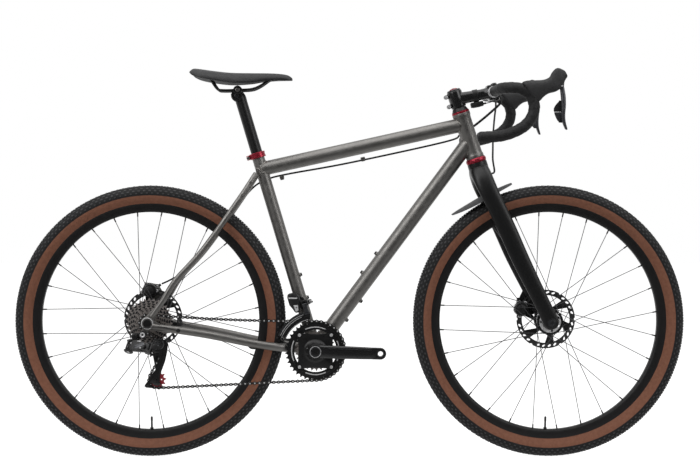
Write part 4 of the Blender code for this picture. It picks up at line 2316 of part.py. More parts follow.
def hose_start(side):
    """A hose's first points: out of the tape's end, along the bar's lower front."""
    centre = bar_centre()
    beside = Vector((0.77, 0, -0.64)) * (BAR_RADIUS + HOSE_RADIUS + CLEARANCE)
    first = BAR_BENDS[0][1] - 0.0015
    return [centre + beside + LATERAL * side * out for out in (first, first - 0.006)]


def build_hoses(looks):
    """Both brake hoses and the rear derailleur's wire."""
    rear = hose_start(-1) + list(REAR_HOSE_BENDS)
    cord("rear_brake_hose", rear, HOSE_RADIUS, looks["rubber"], 0.060)
    port = steering_point(-0.047, 0.0290, 0.004)
    front = hose_start(1) + list(FRONT_HOSE_BENDS) + [port]
    cord("front_brake_hose", front, HOSE_RADIUS, looks["rubber"], 0.060)
    cord("derailleur_wire", WIRE_BENDS, WIRE_RADIUS, looks["rubber"], 0.030)


def clear_scene():
    for item in list(bpy.data.objects):
        bpy.data.objects.remove(item, do_unlink=True)


def pivot_at(name, place, nodes, parent=None):
    """An empty on a joint's axis that carries the nodes moving about it."""
    empty = bpy.data.objects.new(name, None)
    empty.empty_display_size = 0.02
    empty.location = place
    bpy.context.scene.collection.objects.link(empty)
    if parent is not None:
        hold(empty, parent)
    bpy.context.view_layer.update()
    for node in nodes:
        hold(bpy.data.objects[node], empty)
    return empty


def hold(child, parent):
    child.parent = parent
    child.matrix_parent_inverse = parent.matrix_world.inverted()


def build_bike():
    looks = make_materials()
    cage_angle, count = solve_cage_angle()
    pins = chain_pins(cage_angle, count)
    around = chain_sprockets(cage_angle)
    gaps = {name: gap_angle(pins, sprocket) for name, sprocket in around.items()}

    build_frame(looks)
    build_headset(looks)
    build_stem(looks)
    build_fork(looks)
    build_mudguard(looks)
    build_handlebar(looks)
    build_controls(looks)
    build_seat_collar(looks)
    build_seatpost(looks)
    build_saddle(looks)
    build_wheel(
        looks, "front", FRONT_AXLE, FRONT_SPOKE_PHASE, FRONT_VALVE_ANGLE,
        (FRONT_RIGHT_FLANGE, FRONT_LEFT_FLANGE), front_hub_profile(), FRONT_ROTOR_Y,
    )
    build_wheel(
        looks, "rear", REAR_AXLE, REAR_SPOKE_PHASE, REAR_VALVE_ANGLE,
        (REAR_RIGHT_FLANGE, REAR_LEFT_FLANGE), rear_hub_profile(), REAR_ROTOR_Y,
    )
    build_thru_axles(looks)
    build_cassette(looks, gaps["cog"])
    build_freehub(looks)
    build_chainrings(looks, gaps["ring"])
    build_cranks(looks)
    build_bottom_bracket(looks)
    build_chain(looks, pins)
    build_rear_derailleur(looks, cage_angle, gaps["guide"], gaps["tension"])
    build_front_derailleur(looks)
    build_caliper(
        looks, "front_caliper", FRONT_CALIPER, FRONT_AXLE, 0.0238, 0.0557, FRONT_ROTOR_Y,
        (0.4620, 0.0480, 0.4190),
    )
    build_caliper(
        looks, "rear_caliper", REAR_CALIPER, REAR_AXLE, 0.0396, 0.0707, REAR_ROTOR_Y,
        (-0.5190, 0.0620, 0.4560),
    )
    build_hoses(looks)
    set_pivots(cage_angle)


def build_thru_axles(looks):
    """Each axle with its head on the drive side, flush with the other side's dropout."""
    for name, axle, radius, inner, outer in (
        ("front_thru_axle", FRONT_AXLE, FRONT_AXLE_RADIUS, 0.0630, 0.0638),
        ("rear_thru_axle", REAR_AXLE, REAR_AXLE_RADIUS, 0.0770, REAR_SPACING / 2 + DROPOUT_THICKNESS),
    ):
        shaft = cylinder(
            name, axle + LATERAL * inner, axle - LATERAL * (outer + 0.001), radius,
            looks["black_metal"], 10, (1, 0, 0),
        )
        head = cylinder(
            "head",
            axle - LATERAL * (outer + CLEARANCE),
            axle - LATERAL * (outer + 0.0024),
            0.0105,
            None,
            10,
            (1, 0, 0),
        )
        join(shaft, [head])


def set_pivots(cage_angle):
    steering = pivot_at(
        "steering",
        CROWN_RACE,
        [
            "fork", "fork_mudguard", "headset_cover", "stem", "stem_faceplate", "top_cap",
            "handlebar", "bar_tape_right", "bar_tape_left", "hood_right", "hood_left",
            "front_caliper", "front_thru_axle", "junction_box", "front_brake_hose",
        ],
    )
    wheel = ("tyre", "rim", "hub", "rotor")
    pivot_at("front_wheel", FRONT_AXLE, [f"front_{piece}" for piece in wheel], steering)
    pivot_at("rear_wheel", REAR_AXLE, [f"rear_{piece}" for piece in wheel])
    for side, label in ((-1, "right"), (1, "left")):
        lever = pivot_at(
            f"brake_{label}", lever_pivot(side), [f"brake_lever_{label}"], steering
        )
        pivot_at(f"shift_{label}", paddle_pivot(side), [f"shift_paddle_{label}"], lever)
    pivot_at(
        "crankset",
        BOTTOM_BRACKET,
        ["crank_right", "crank_left", "crank_axle", "chainring_outer", "chainring_inner"],
    )
    pivot_at("freehub", REAR_AXLE, ["cassette", "freehub_body"])
    pivot_at("saddle_height", SEAT_TUBE_TOP, ["seatpost", "saddle", "saddle_rails"])
    _, slanted, _ = shifter_axes()
    outer = pivot_at(
        "rd_outer_pivot", RD_BASE_PINS - slanted * RD_PIN_SPREAD, ["rd_outer_link"]
    )
    pivot_at("rd_inner_pivot", RD_BASE_PINS + slanted * RD_PIN_SPREAD, ["rd_inner_link"])
    knuckle = pivot_at(
        "rd_knuckle_pivot", rd_knuckle_centre() - slanted * RD_PIN_SPREAD, ["rd_knuckle"], outer
    )
    cage = pivot_at(
        "rd_cage_pivot", (CAGE_PIVOT[0], SMALL_COG_Y, CAGE_PIVOT[1]), ["rd_cage"], knuckle
    )
    for name, spot in (("guide_pulley", GUIDE_PULLEY), ("tension_pulley", TENSION_PULLEY)):
        x, z = turned_about_cage_pivot(spot, cage_angle)
        pivot_at(f"{name}_pivot", (x, SMALL_COG_Y, z), [name], cage)
    fd_outer = pivot_at(
        "fd_outer_pivot", fd_body_pins() - LATERAL * FD_PIN_SPREAD, ["fd_outer_link"]
    )
    pivot_at("fd_inner_pivot", fd_body_pins() + LATERAL * FD_PIN_SPREAD, ["fd_inner_link"])
    pivot_at("fd_cage_pivot", fd_cage_pins() - LATERAL * FD_PIN_SPREAD, ["fd_cage"], fd_outer)


def main():
    clear_scene()
    build_bike()


if __name__ == "__main__":
    main()
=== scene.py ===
"""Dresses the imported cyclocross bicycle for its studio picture.

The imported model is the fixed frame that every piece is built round. Each sub-assembly is a class
that holds its sizes as fields, models its pieces with bmesh operators, and dresses them in
procedural finishes. +X is forward, +Y the rider's left and +Z up, in metres, and the drive side
faces -Y.
"""

import logging
import math
from collections.abc import Callable, Sequence
from dataclasses import dataclass
from enum import Enum

import bmesh
import bpy
from mathutils import Matrix, Vector

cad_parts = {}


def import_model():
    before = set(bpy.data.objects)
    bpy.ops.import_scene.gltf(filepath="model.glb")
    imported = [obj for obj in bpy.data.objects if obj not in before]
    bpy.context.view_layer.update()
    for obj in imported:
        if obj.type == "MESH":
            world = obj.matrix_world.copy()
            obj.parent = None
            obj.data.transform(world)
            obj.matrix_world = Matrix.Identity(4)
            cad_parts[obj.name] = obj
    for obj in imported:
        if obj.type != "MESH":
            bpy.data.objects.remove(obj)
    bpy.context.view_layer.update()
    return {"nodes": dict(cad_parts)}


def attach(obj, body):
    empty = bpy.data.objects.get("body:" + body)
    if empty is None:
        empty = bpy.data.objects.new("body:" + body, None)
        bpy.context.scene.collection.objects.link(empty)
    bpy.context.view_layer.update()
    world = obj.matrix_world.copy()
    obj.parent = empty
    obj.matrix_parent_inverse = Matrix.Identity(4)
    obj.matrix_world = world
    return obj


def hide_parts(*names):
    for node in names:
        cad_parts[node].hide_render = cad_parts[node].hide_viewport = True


LOG = logging.getLogger("bicycle")

Flat = tuple[float, float]
Row = tuple[float, ...]

# The bicycle's own layout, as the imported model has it.
AXLE_HEIGHT = 0.365
REAR_AXLE = Vector((-0.5364, 0, AXLE_HEIGHT))
FRONT_AXLE = Vector((0.5364, 0, AXLE_HEIGHT))
BOTTOM_BRACKET = Vector((-0.091579, 0, 0.2894))
LATERAL = Vector((0, 1, 0))
UPWARD = Vector((0, 0, 1))
FORWARD = Vector((1, 0, 0))
SEAT_ANGLE = math.radians(73.3)
SEAT_DIRECTION = Vector((-math.cos(SEAT_ANGLE), 0, math.sin(SEAT_ANGLE)))
SEAT_TUBE_LENGTH = 0.550
SEAT_TUBE_TOP = BOTTOM_BRACKET + SEAT_DIRECTION * SEAT_TUBE_LENGTH
HEAD_ANGLE = math.radians(72.1)
STEERING_DIRECTION = Vector((-math.cos(HEAD_ANGLE), 0, math.sin(HEAD_ANGLE)))
STEERING_FORWARD = Vector((math.sin(HEAD_ANGLE), 0, math.cos(HEAD_ANGLE)))
FORK_LENGTH = 0.471
FORK_OFFSET = 0.052
CROWN_RACE = FRONT_AXLE - FORK_OFFSET * STEERING_FORWARD + FORK_LENGTH * STEERING_DIRECTION
TOP_TUBE_ON_SEAT_TUBE = 0.506
TOP_TUBE_ON_STEERING = 0.1028
DOWN_TUBE_ON_STEERING = 0.0555
STEM_ANGLE = math.radians(10.9)
STEM_DIRECTION = Vector((math.cos(STEM_ANGLE), 0, math.sin(STEM_ANGLE)))
STEM_UPWARD = Vector((-math.sin(STEM_ANGLE), 0, math.cos(STEM_ANGLE)))
STEM_BASE = 0.1502
STEM_CLAMP_HEIGHT = 0.046
STEM_LENGTH = 0.100
BAR_CENTRE = (
    CROWN_RACE
    + (STEM_BASE + STEM_CLAMP_HEIGHT / 2) * STEERING_DIRECTION
    + STEM_DIRECTION * STEM_LENGTH
)
STEM_START = BAR_CENTRE - STEM_DIRECTION * STEM_LENGTH
HANGER_BOLT = (-0.5463, 0.3373)
CAGE_PIVOT = (-0.5060, 0.3120)
CAGE_TURN = math.radians(-5.69)
CHAIN_PITCH = 0.0127
CHAIN_LINKS = 108
OUTER_RING_Y = -0.0475
INNER_RING_Y = -0.0395
SMALL_COG_Y = -0.0645
COG_SPACING = 0.00374
COG_COUNT = 11
CLEARANCE = 0.0003
SPIDER_ANGLES = tuple(math.radians(45 + 90 * quarter) for quarter in range(4))
PHOTO_WIDTH = 700
PHOTO_HEIGHT = 467


class Slot(Enum):
    """The record's material slots."""

    TITANIUM = "titanium"
    CARBON = "carbon"
    BLACK_METAL = "black_metal"
    GREY_METAL = "grey_metal"
    SILVER = "silver"
    STEEL = "steel"
    RED = "red"
    TYRE = "tyre"
    RUBBER = "rubber"
    SADDLE = "saddle"
    PLASTIC = "plastic"


class Grain(Enum):
    """How a finish's surface is broken up."""

    BLASTED = "blasted"
    MACHINED = "machined"
    MOULDED = "moulded"
    PEBBLED = "pebbled"
    WOVEN = "woven"


class Side(Enum):
    """The bicycle's two sides, with the sign of Y."""

    RIGHT = -1
    LEFT = 1

    @property
    def label(self) -> str:
        """The side's name in piece names."""
        return self.name.lower()


# Finishes


def feed(
    tree: bpy.types.NodeTree, node: bpy.types.Node, values: dict[str | int, object]
) -> None:
    """Sets a node's inputs, each to a plain value or to another node's output.

    Args:
        tree: The tree that the node is in.
        node: The node.
        values: The values and outputs, by the input's name or number.
    """
    for name, value in values.items():
        if isinstance(value, bpy.types.NodeSocket):
            tree.links.new(value, node.inputs[name])
        else:
            node.inputs[name].default_value = value


def shader_node(
    tree: bpy.types.NodeTree, kind: str, values: dict[str | int, object] | None = None
) -> bpy.types.Node:
    """Adds a shader node.

    Args:
        tree: The tree that takes it.
        kind: Its type, without the words that all shader nodes' types begin with.
        values: What its inputs are fed, as in feed.

    Returns:
        The node.
    """
    made = tree.nodes.new(f"ShaderNode{kind}")
    feed(tree, made, values or {})
    return made


@dataclass(frozen=True)
class Finish:
    """One procedural finish.

    The colour is mottled towards a darker or lighter one, the roughness varies with a second
    noise, and the grain gives the bump.
    """

    name: str
    slot: Slot
    colour: tuple[float, float, float]
    roughness: float
    metallic: float = 0.0
    second: tuple[float, float, float] | None = None
    mottle_scale: float = 45.0
    mottle_share: float = 0.5
    grain: Grain = Grain.MOULDED
    grain_scale: float = 900.0
    bump: float = 0.15
    bump_depth: float = 0.0002
    coat: float = 0.0
    coat_roughness: float = 0.08
    sheen: float = 0.0
    specular: float = 0.5

    def material(self) -> bpy.types.Material:
        """Builds the material, or gives the one already built.

        Returns:
            The finish's material.
        """
        made = bpy.data.materials.get(self.name)
        if made is not None:
            return made
        made = bpy.data.materials.new(self.name)
        made.diffuse_color = (*self.colour, 1.0)
        made.use_nodes = True
        tree = made.node_tree
        place = shader_node(tree, "TexCoord").outputs["Object"]
        feed(tree, tree.nodes["Principled BSDF"], {
            "Metallic": self.metallic,
            "Coat Weight": self.coat,
            "Coat Roughness": self.coat_roughness,
            "Sheen Weight": self.sheen,
            "Specular IOR Level": self.specular,
            "Base Color": self._paint(tree, place),
            "Roughness": self._roughen(tree, place),
            "Normal": self._raise_grain(tree, place),
        })
        return made

    def _paint(
        self, tree: bpy.types.NodeTree, place: bpy.types.NodeSocket
    ) -> bpy.types.NodeSocket:
        """Mottles the base colour.

        Args:
            tree: The material's nodes.
            place: The coordinates.

        Returns:
            The colour.
        """
        darkening, edge = 0.78, 0.16
        noise = shader_node(
            tree, "TexNoise", {"Vector": place, "Scale": self.mottle_scale, "Detail": 5.0}
        )
        ramp = shader_node(tree, "ValToRGB", {"Fac": noise.outputs["Fac"]})
        second = self.second or tuple(part * darkening for part in self.colour)
        stops = ramp.color_ramp.elements
        for stop, offset, colour in zip(stops, (-edge, edge), (second, self.colour)):
            stop.position = self.mottle_share + offset
            stop.color = (*colour, 1.0)
        return ramp.outputs["Color"]

    def _roughen(
        self, tree: bpy.types.NodeTree, place: bpy.types.NodeSocket
    ) -> bpy.types.NodeSocket:
        """Varies the roughness.

        Args:
            tree: The material's nodes.
            place: The coordinates.

        Returns:
            The roughness.
        """
        noise = shader_node(
            tree, "TexNoise", {"Vector": place, "Scale": self.mottle_scale * 3.1, "Detail": 3.0}
        )
        spread = shader_node(tree, "MapRange", {
            "Value": noise.outputs["Fac"],
            "From Min": 0.3,
            "From Max": 0.7,
            "To Min": self.roughness * 0.85,
            "To Max": min(1.0, self.roughness * 1.15),
        })
        return spread.outputs["Result"]

    def _raise_grain(
        self, tree: bpy.types.NodeTree, place: bpy.types.NodeSocket
    ) -> bpy.types.NodeSocket:
        """Gives the surface its grain.

        Args:
            tree: The material's nodes.
            place: The coordinates.

        Returns:
            The normal.
        """
        kind, output = {
            Grain.PEBBLED: ("TexVoronoi", "Distance"), Grain.WOVEN: ("TexChecker", "Fac"),
        }.get(self.grain, ("TexNoise", "Fac"))
        if self.grain is Grain.MACHINED:
            stretch = {"Vector": place, "Scale": (0.25, 3.0, 0.25)}
            place = shader_node(tree, "Mapping", stretch).outputs["Vector"]
        texture = shader_node(tree, kind, {"Vector": place, "Scale": self.grain_scale})
        if kind == "TexNoise":
            texture.inputs["Detail"].default_value = 4.0
        bump = shader_node(tree, "Bump", {
            "Strength": self.bump,
            "Distance": self.bump_depth,
            "Height": texture.outputs[output],
        })
        return bump.outputs["Normal"]


TITANIUM = Finish(
    "blasted_titanium", Slot.TITANIUM, (0.240, 0.233, 0.223), 0.46, 1.0, (0.222, 0.215, 0.206),
    26.0, grain=Grain.BLASTED, grain_scale=900.0, bump=0.03,
)
WELD = Finish(
    "titanium_weld", Slot.TITANIUM, (0.34, 0.33, 0.315), 0.28, 1.0, (0.24, 0.225, 0.21), 180.0,
    grain=Grain.BLASTED, bump=0.05,
)
CARBON = Finish(
    "lacquered_carbon", Slot.CARBON, (0.0042, 0.0042, 0.0045), 0.42,
    second=(0.0045, 0.0045, 0.0048), mottle_scale=80.0, grain=Grain.WOVEN, grain_scale=420.0,
    bump=0.01, coat=0.45, coat_roughness=0.34, specular=0.2,
)
RIM_CARBON = Finish(
    "satin_carbon", Slot.CARBON, (0.0062, 0.0058, 0.0060), 0.45, second=(0.0045, 0.0042, 0.0044),
    mottle_scale=60.0, grain=Grain.WOVEN, grain_scale=500.0, bump=0.02, specular=0.35,
)
BLACK = Finish(
    "black_anodised", Slot.BLACK_METAL, (0.0070, 0.0070, 0.0073), 0.32, 0.2,
    (0.0095, 0.0095, 0.0100), 70.0, bump=0.04, specular=0.45,
)
GLOSS_BLACK = Finish(
    "polished_black", Slot.BLACK_METAL, (0.0072, 0.0072, 0.0075), 0.24, 0.2,
    (0.0090, 0.0090, 0.0095), 60.0, bump=0.02, coat=0.5, coat_roughness=0.07,
)
DARK_GREY = Finish(
    "grey_anodised", Slot.GREY_METAL, (0.075, 0.077, 0.082), 0.30, 0.75, (0.052, 0.053, 0.057),
    80.0, bump=0.05,
)
LEVER_GREY = Finish(
    "lever_lacquer", Slot.GREY_METAL, (0.055, 0.056, 0.062), 0.30, 0.5, (0.042, 0.043, 0.048),
    60.0, bump=0.03, coat=0.4, coat_roughness=0.2,
)
SILVER = Finish(
    "bright_alloy", Slot.SILVER, (0.56, 0.55, 0.54), 0.27, 1.0, (0.45, 0.44, 0.43), 90.0,
    grain=Grain.MACHINED, grain_scale=700.0, bump=0.05,
)
SATIN_SILVER = Finish(
    "satin_alloy", Slot.SILVER, (0.62, 0.62, 0.625), 0.36, 0.35, (0.52, 0.52, 0.525), 120.0,
    bump=0.04,
)
COG_STEEL = Finish(
    "nickel_plate", Slot.SILVER, (0.42, 0.385, 0.365), 0.34, 0.6, (0.30, 0.27, 0.255), 160.0,
    grain=Grain.MACHINED, grain_scale=900.0, bump=0.06,
)
STEEL = Finish(
    "bare_steel", Slot.STEEL, (0.38, 0.37, 0.36), 0.32, 1.0, (0.25, 0.24, 0.235), 140.0,
    grain=Grain.MACHINED, grain_scale=800.0, bump=0.05,
)
ROTOR_STEEL = Finish(
    "rotor_steel", Slot.STEEL, (0.150, 0.150, 0.152), 0.36, 1.0, (0.100, 0.100, 0.102), 140.0,
    grain=Grain.MACHINED, grain_scale=800.0, bump=0.05,
)
SPOKE_STEEL = Finish(
    "dark_steel", Slot.BLACK_METAL, (0.070, 0.070, 0.073), 0.36, 0.8, (0.052, 0.052, 0.055), 200.0,
    bump=0.02,
)
CHAIN_STEEL = Finish(
    "chain_plate", Slot.STEEL, (0.13, 0.127, 0.124), 0.30, 1.0, (0.07, 0.068, 0.066), 220.0,
    bump=0.05,
)
RED = Finish(
    "red_anodised", Slot.RED, (0.42, 0.032, 0.058), 0.27, 0.65, (0.26, 0.014, 0.028), 120.0,
    grain=Grain.MACHINED, grain_scale=800.0, bump=0.04,
)
# The tread and the knobs are one rubber: the knobs are painted lighter as highlight, and the tread
# between them darker as painted shade.
TREAD_PAINTED_SHADE = Finish(
    "tread_rubber", Slot.TYRE, (0.0125, 0.0125, 0.0130), 0.72, second=(0.009, 0.009, 0.0095),
    mottle_scale=160.0, grain_scale=1300.0, bump=0.25, bump_depth=0.0003, specular=0.3,
)
KNOB_PAINTED_HIGHLIGHT = Finish(
    "knob_rubber", Slot.TYRE, (0.040, 0.040, 0.0415), 0.60, second=(0.024, 0.024, 0.025),
    mottle_scale=210.0, bump=0.2, specular=0.5,
)
TAN = Finish(
    "tan_sidewall", Slot.TYRE, (0.200, 0.082, 0.048), 0.66, second=(0.165, 0.067, 0.039),
    mottle_scale=120.0, grain=Grain.WOVEN, grain_scale=1400.0, bump=0.20, specular=0.25,
)
TAPE = Finish(
    "bar_tape", Slot.RUBBER, (0.0105, 0.0105, 0.0110), 0.60, second=(0.0070, 0.0070, 0.0074),
    mottle_scale=140.0, grain=Grain.PEBBLED, grain_scale=750.0, bump=0.35, bump_depth=0.0004,
    specular=0.35,
)
TAPE_END = Finish(
    "finishing_tape", Slot.RUBBER, (0.48, 0.48, 0.49), 0.55, second=(0.40, 0.40, 0.41), bump=0.1,
)
HOOD_RUBBER = Finish(
    "hood_rubber", Slot.RUBBER, (0.021, 0.021, 0.022), 0.62, second=(0.016, 0.016, 0.017),
    mottle_scale=60.0, grain=Grain.PEBBLED, grain_scale=1100.0, bump=0.20, specular=0.4,
)
HOSE_RUBBER = Finish(
    "hose_jacket", Slot.RUBBER, (0.010, 0.010, 0.0105), 0.40, second=(0.007, 0.007, 0.0073),
    bump=0.05, specular=0.4,
)
COVER = Finish(
    "saddle_cover", Slot.SADDLE, (0.0150, 0.0150, 0.0165), 0.50, second=(0.0115, 0.0115, 0.0125),
    mottle_scale=30.0, grain=Grain.PEBBLED, grain_scale=950.0, bump=0.25, sheen=0.05, specular=0.4,
)
SMOOTH_COVER = Finish(
    "saddle_nose", Slot.SADDLE, (0.0125, 0.0125, 0.0135), 0.40, second=(0.0100, 0.0100, 0.0108),
    bump=0.06, specular=0.42,
)
PLASTIC = Finish(
    "black_resin", Slot.PLASTIC, (0.0115, 0.0115, 0.0120), 0.44, second=(0.0085, 0.0085, 0.0090),
    mottle_scale=70.0, bump=0.12, specular=0.42,
)
GREY_RESIN = Finish(
    "grey_resin", Slot.PLASTIC, (0.055, 0.055, 0.058), 0.50, second=(0.042, 0.042, 0.044),
    mottle_scale=70.0, bump=0.12,
)
RED_RESIN = Finish(
    "red_resin", Slot.PLASTIC, (0.27, 0.011, 0.024), 0.42, second=(0.20, 0.008, 0.017), bump=0.1,
)


# Geometry


def aimed(origin: Sequence[float], z_axis: Vector, x_hint: Sequence[float]) -> Matrix:
    """A place whose local Z points one way and whose local X is as near a hint as that allows.

    Args:
        origin: The place's origin.
        z_axis: The direction of local Z.
        x_hint: The direction that local X leans to.

    Returns:
        The place as a 4 x 4 matrix.
    """
    along = Vector(z_axis).normalized()
    first = (Vector(x_hint) - along * along.dot(Vector(x_hint))).normalized()
    turn = Matrix((first, along.cross(first), along)).transposed()
    return Matrix.Translation(Vector(origin)) @ turn.to_4x4()


def drive_side(centre: Sequence[float]) -> Matrix:
    """A place with local X forward, local Y up and local Z towards the drive side."""
    return aimed(centre, -LATERAL, FORWARD)


def polar(radius: float, angle: float, centre: Flat = (0.0, 0.0)) -> Flat:
    """The flat point at a radius and an angle round a centre."""
    return (centre[0] + radius * math.cos(angle), centre[1] + radius * math.sin(angle))


def circle(radius: float, steps: int, centre: Flat = (0.0, 0.0)) -> list[Flat]:
    """A circle's flat outline."""
    return [polar(radius, math.tau * step / steps, centre) for step in range(steps)]


def arc(radius: float, start: float, end: float, steps: int) -> list[Flat]:
    """Flat points along an arc, both ends included, with its angles in radians."""
    return [polar(radius, start + (end - start) * step / steps) for step in range(steps + 1)]


def hoop(inner: float, outer: float, low: float, high: float) -> list[Flat]:
    """A turned ring's profile: square, between two radii and two heights."""
    return [(inner, low), (outer, low), (outer, high), (inner, high)]


def squared_oval(half_x: float, half_y: float, power: float, steps: int) -> list[Flat]:
    """An oval's outline, squared off.

    Args:
        half_x: Half of its width.
        half_y: Half of its height.
        power: How square it is, from 1 for an ellipse down.
        steps: How many points it has.

    Returns:
        The outline's points.
    """
    points = []
    for x, y in circle(1.0, steps):
        flat_x = half_x * math.copysign(abs(x) ** power, x)
        flat_y = half_y * math.copysign(abs(y) ** power, y)
        points.append((flat_x, flat_y))
    return points


def oval(start: Flat, end: Flat, radius: float, steps: int = 5) -> list[Flat]:
    """The outline of a slot with round ends.

    Args:
        start: The first end's centre.
        end: The second end's centre.
        radius: Half of the slot's width.
        steps: Steps in each round end.

    Returns:
        The outline's points.
    """
    heading = math.atan2(end[1] - start[1], end[0] - start[0])
    points = []
    for centre, opening in ((end, heading - math.pi / 2), (start, heading + math.pi / 2)):
        points += [
            polar(radius, opening + math.pi * step / steps, centre) for step in range(steps + 1)
        ]
    return points


def eased(rows: Sequence[Sequence[float]], steps: int, closed: bool = False) -> list[Row]:
    """Rows of numbers passed through a Catmull-Rom curve.

    Args:
        rows: The rows that the curve passes through.
        steps: Steps between one row and the next.
        closed: Whether the last row leads back to the first.

    Returns:
        The finer rows.
    """
    vectors = [Vector(row) for row in rows]
    if closed:
        padded = [vectors[-1], *vectors, vectors[0], vectors[1]]
    else:
        first = 2 * vectors[0] - vectors[1]
        last = 2 * vectors[-1] - vectors[-2]
        padded = [first, *vectors, last]
    found = []
    for a, b, c, d in zip(padded, padded[1:], padded[2:], padded[3:]):
        for step in range(steps):
            t = step / steps
            spot = 2 * b + (c - a) * t + (2 * a - 5 * b + 4 * c - d) * t**2
            found.append(tuple(0.5 * (spot + (3 * b - a - 3 * c + d) * t**3)))
    if not closed:
        found.append(tuple(vectors[-1]))
    return found


def eased_path(points: Sequence[Sequence[float]], steps: int) -> list[Vector]:
    """A smooth path through points, with its steps between neighbours."""
    return [Vector(row) for row in eased(points, steps)]


def heading(path: Sequence[Vector], index: int) -> Vector:
    """A path's direction at one of its points."""
    return (path[min(index + 1, len(path) - 1)] - path[max(index - 1, 0)]).normalized()


def stations(
    path: Sequence[Vector],
    sizes: Sequence[Flat] | Flat,
    hint: Sequence[float],
    carried: bool = False,
) -> list[Matrix]:
    """Places along a path, each scaled to its section's half sizes.

    Args:
        path: The centre line.
        sizes: One pair of half sizes, or one pair for each point. The first lies along the hint.
        hint: The direction that each section's first axis leans to.
        carried: Whether the hint is carried along, so that the sections turn as little as may be.

    Returns:
        One matrix for each point, which takes a unit circle to the section.
    """
    found = []
    lean = Vector(hint)
    for index, point in enumerate(path):
        first, second = sizes[index] if isinstance(sizes[0], (tuple, list)) else sizes
        place = aimed(point, heading(path, index), lean)
        if carried:
            lean = place.col[0].xyz
        found.append(place @ Matrix.Diagonal((first, second, 1.0, 1.0)))
    return found


def on_steering(distance: float, ahead: float = 0.0, left: float = 0.0) -> Vector:
    """A point by its distance above the crown race, ahead of the steering axis and to the left."""
    return CROWN_RACE + distance * STEERING_DIRECTION + ahead * STEERING_FORWARD + left * LATERAL


def on_seat_tube(distance: float) -> Vector:
    """The point of the seat tube's axis at a distance above the bottom bracket."""
    return BOTTOM_BRACKET + distance * SEAT_DIRECTION


def steering_place(distance: float = 0.0) -> Matrix:
    """A place on the steering axis, with local Z up it and local X ahead."""
    return aimed(on_steering(distance), STEERING_DIRECTION, STEERING_FORWARD)

def raised(place: Matrix, height: float) -> Matrix:
    """A place moved along its own Z."""
    return place @ Matrix.Translation((0, 0, height))


def facing(place: Matrix, way: int) -> Matrix:
    """A place as it is for 1, or turned over for -1."""
    return place if way > 0 else place @ Matrix.Rotation(math.pi, 4, "X")


def draw(shell: bmesh.types.BMesh, outline: Sequence[Flat], level: float = 0.0) -> None:
    """Draws a closed outline's edges at one height."""
    points = [shell.verts.new((x, y, level)) for x, y in outline]
    for pair in zip(points, points[1:] + points[:1]):
        shell.edges.new(pair)


def corners_of(grown: dict[str, list]) -> list[bmesh.types.BMVert]:
    """The new vertices that an extrusion gives back."""
    return [item for item in grown["geom"] if isinstance(item, bmesh.types.BMVert)]


def close_ends(shell: bmesh.types.BMesh) -> None:
    """Fills a shell's open ends."""
    ends = [edge for edge in shell.edges if edge.is_boundary]
    bmesh.ops.holes_fill(shell, edges=ends, sides=0)


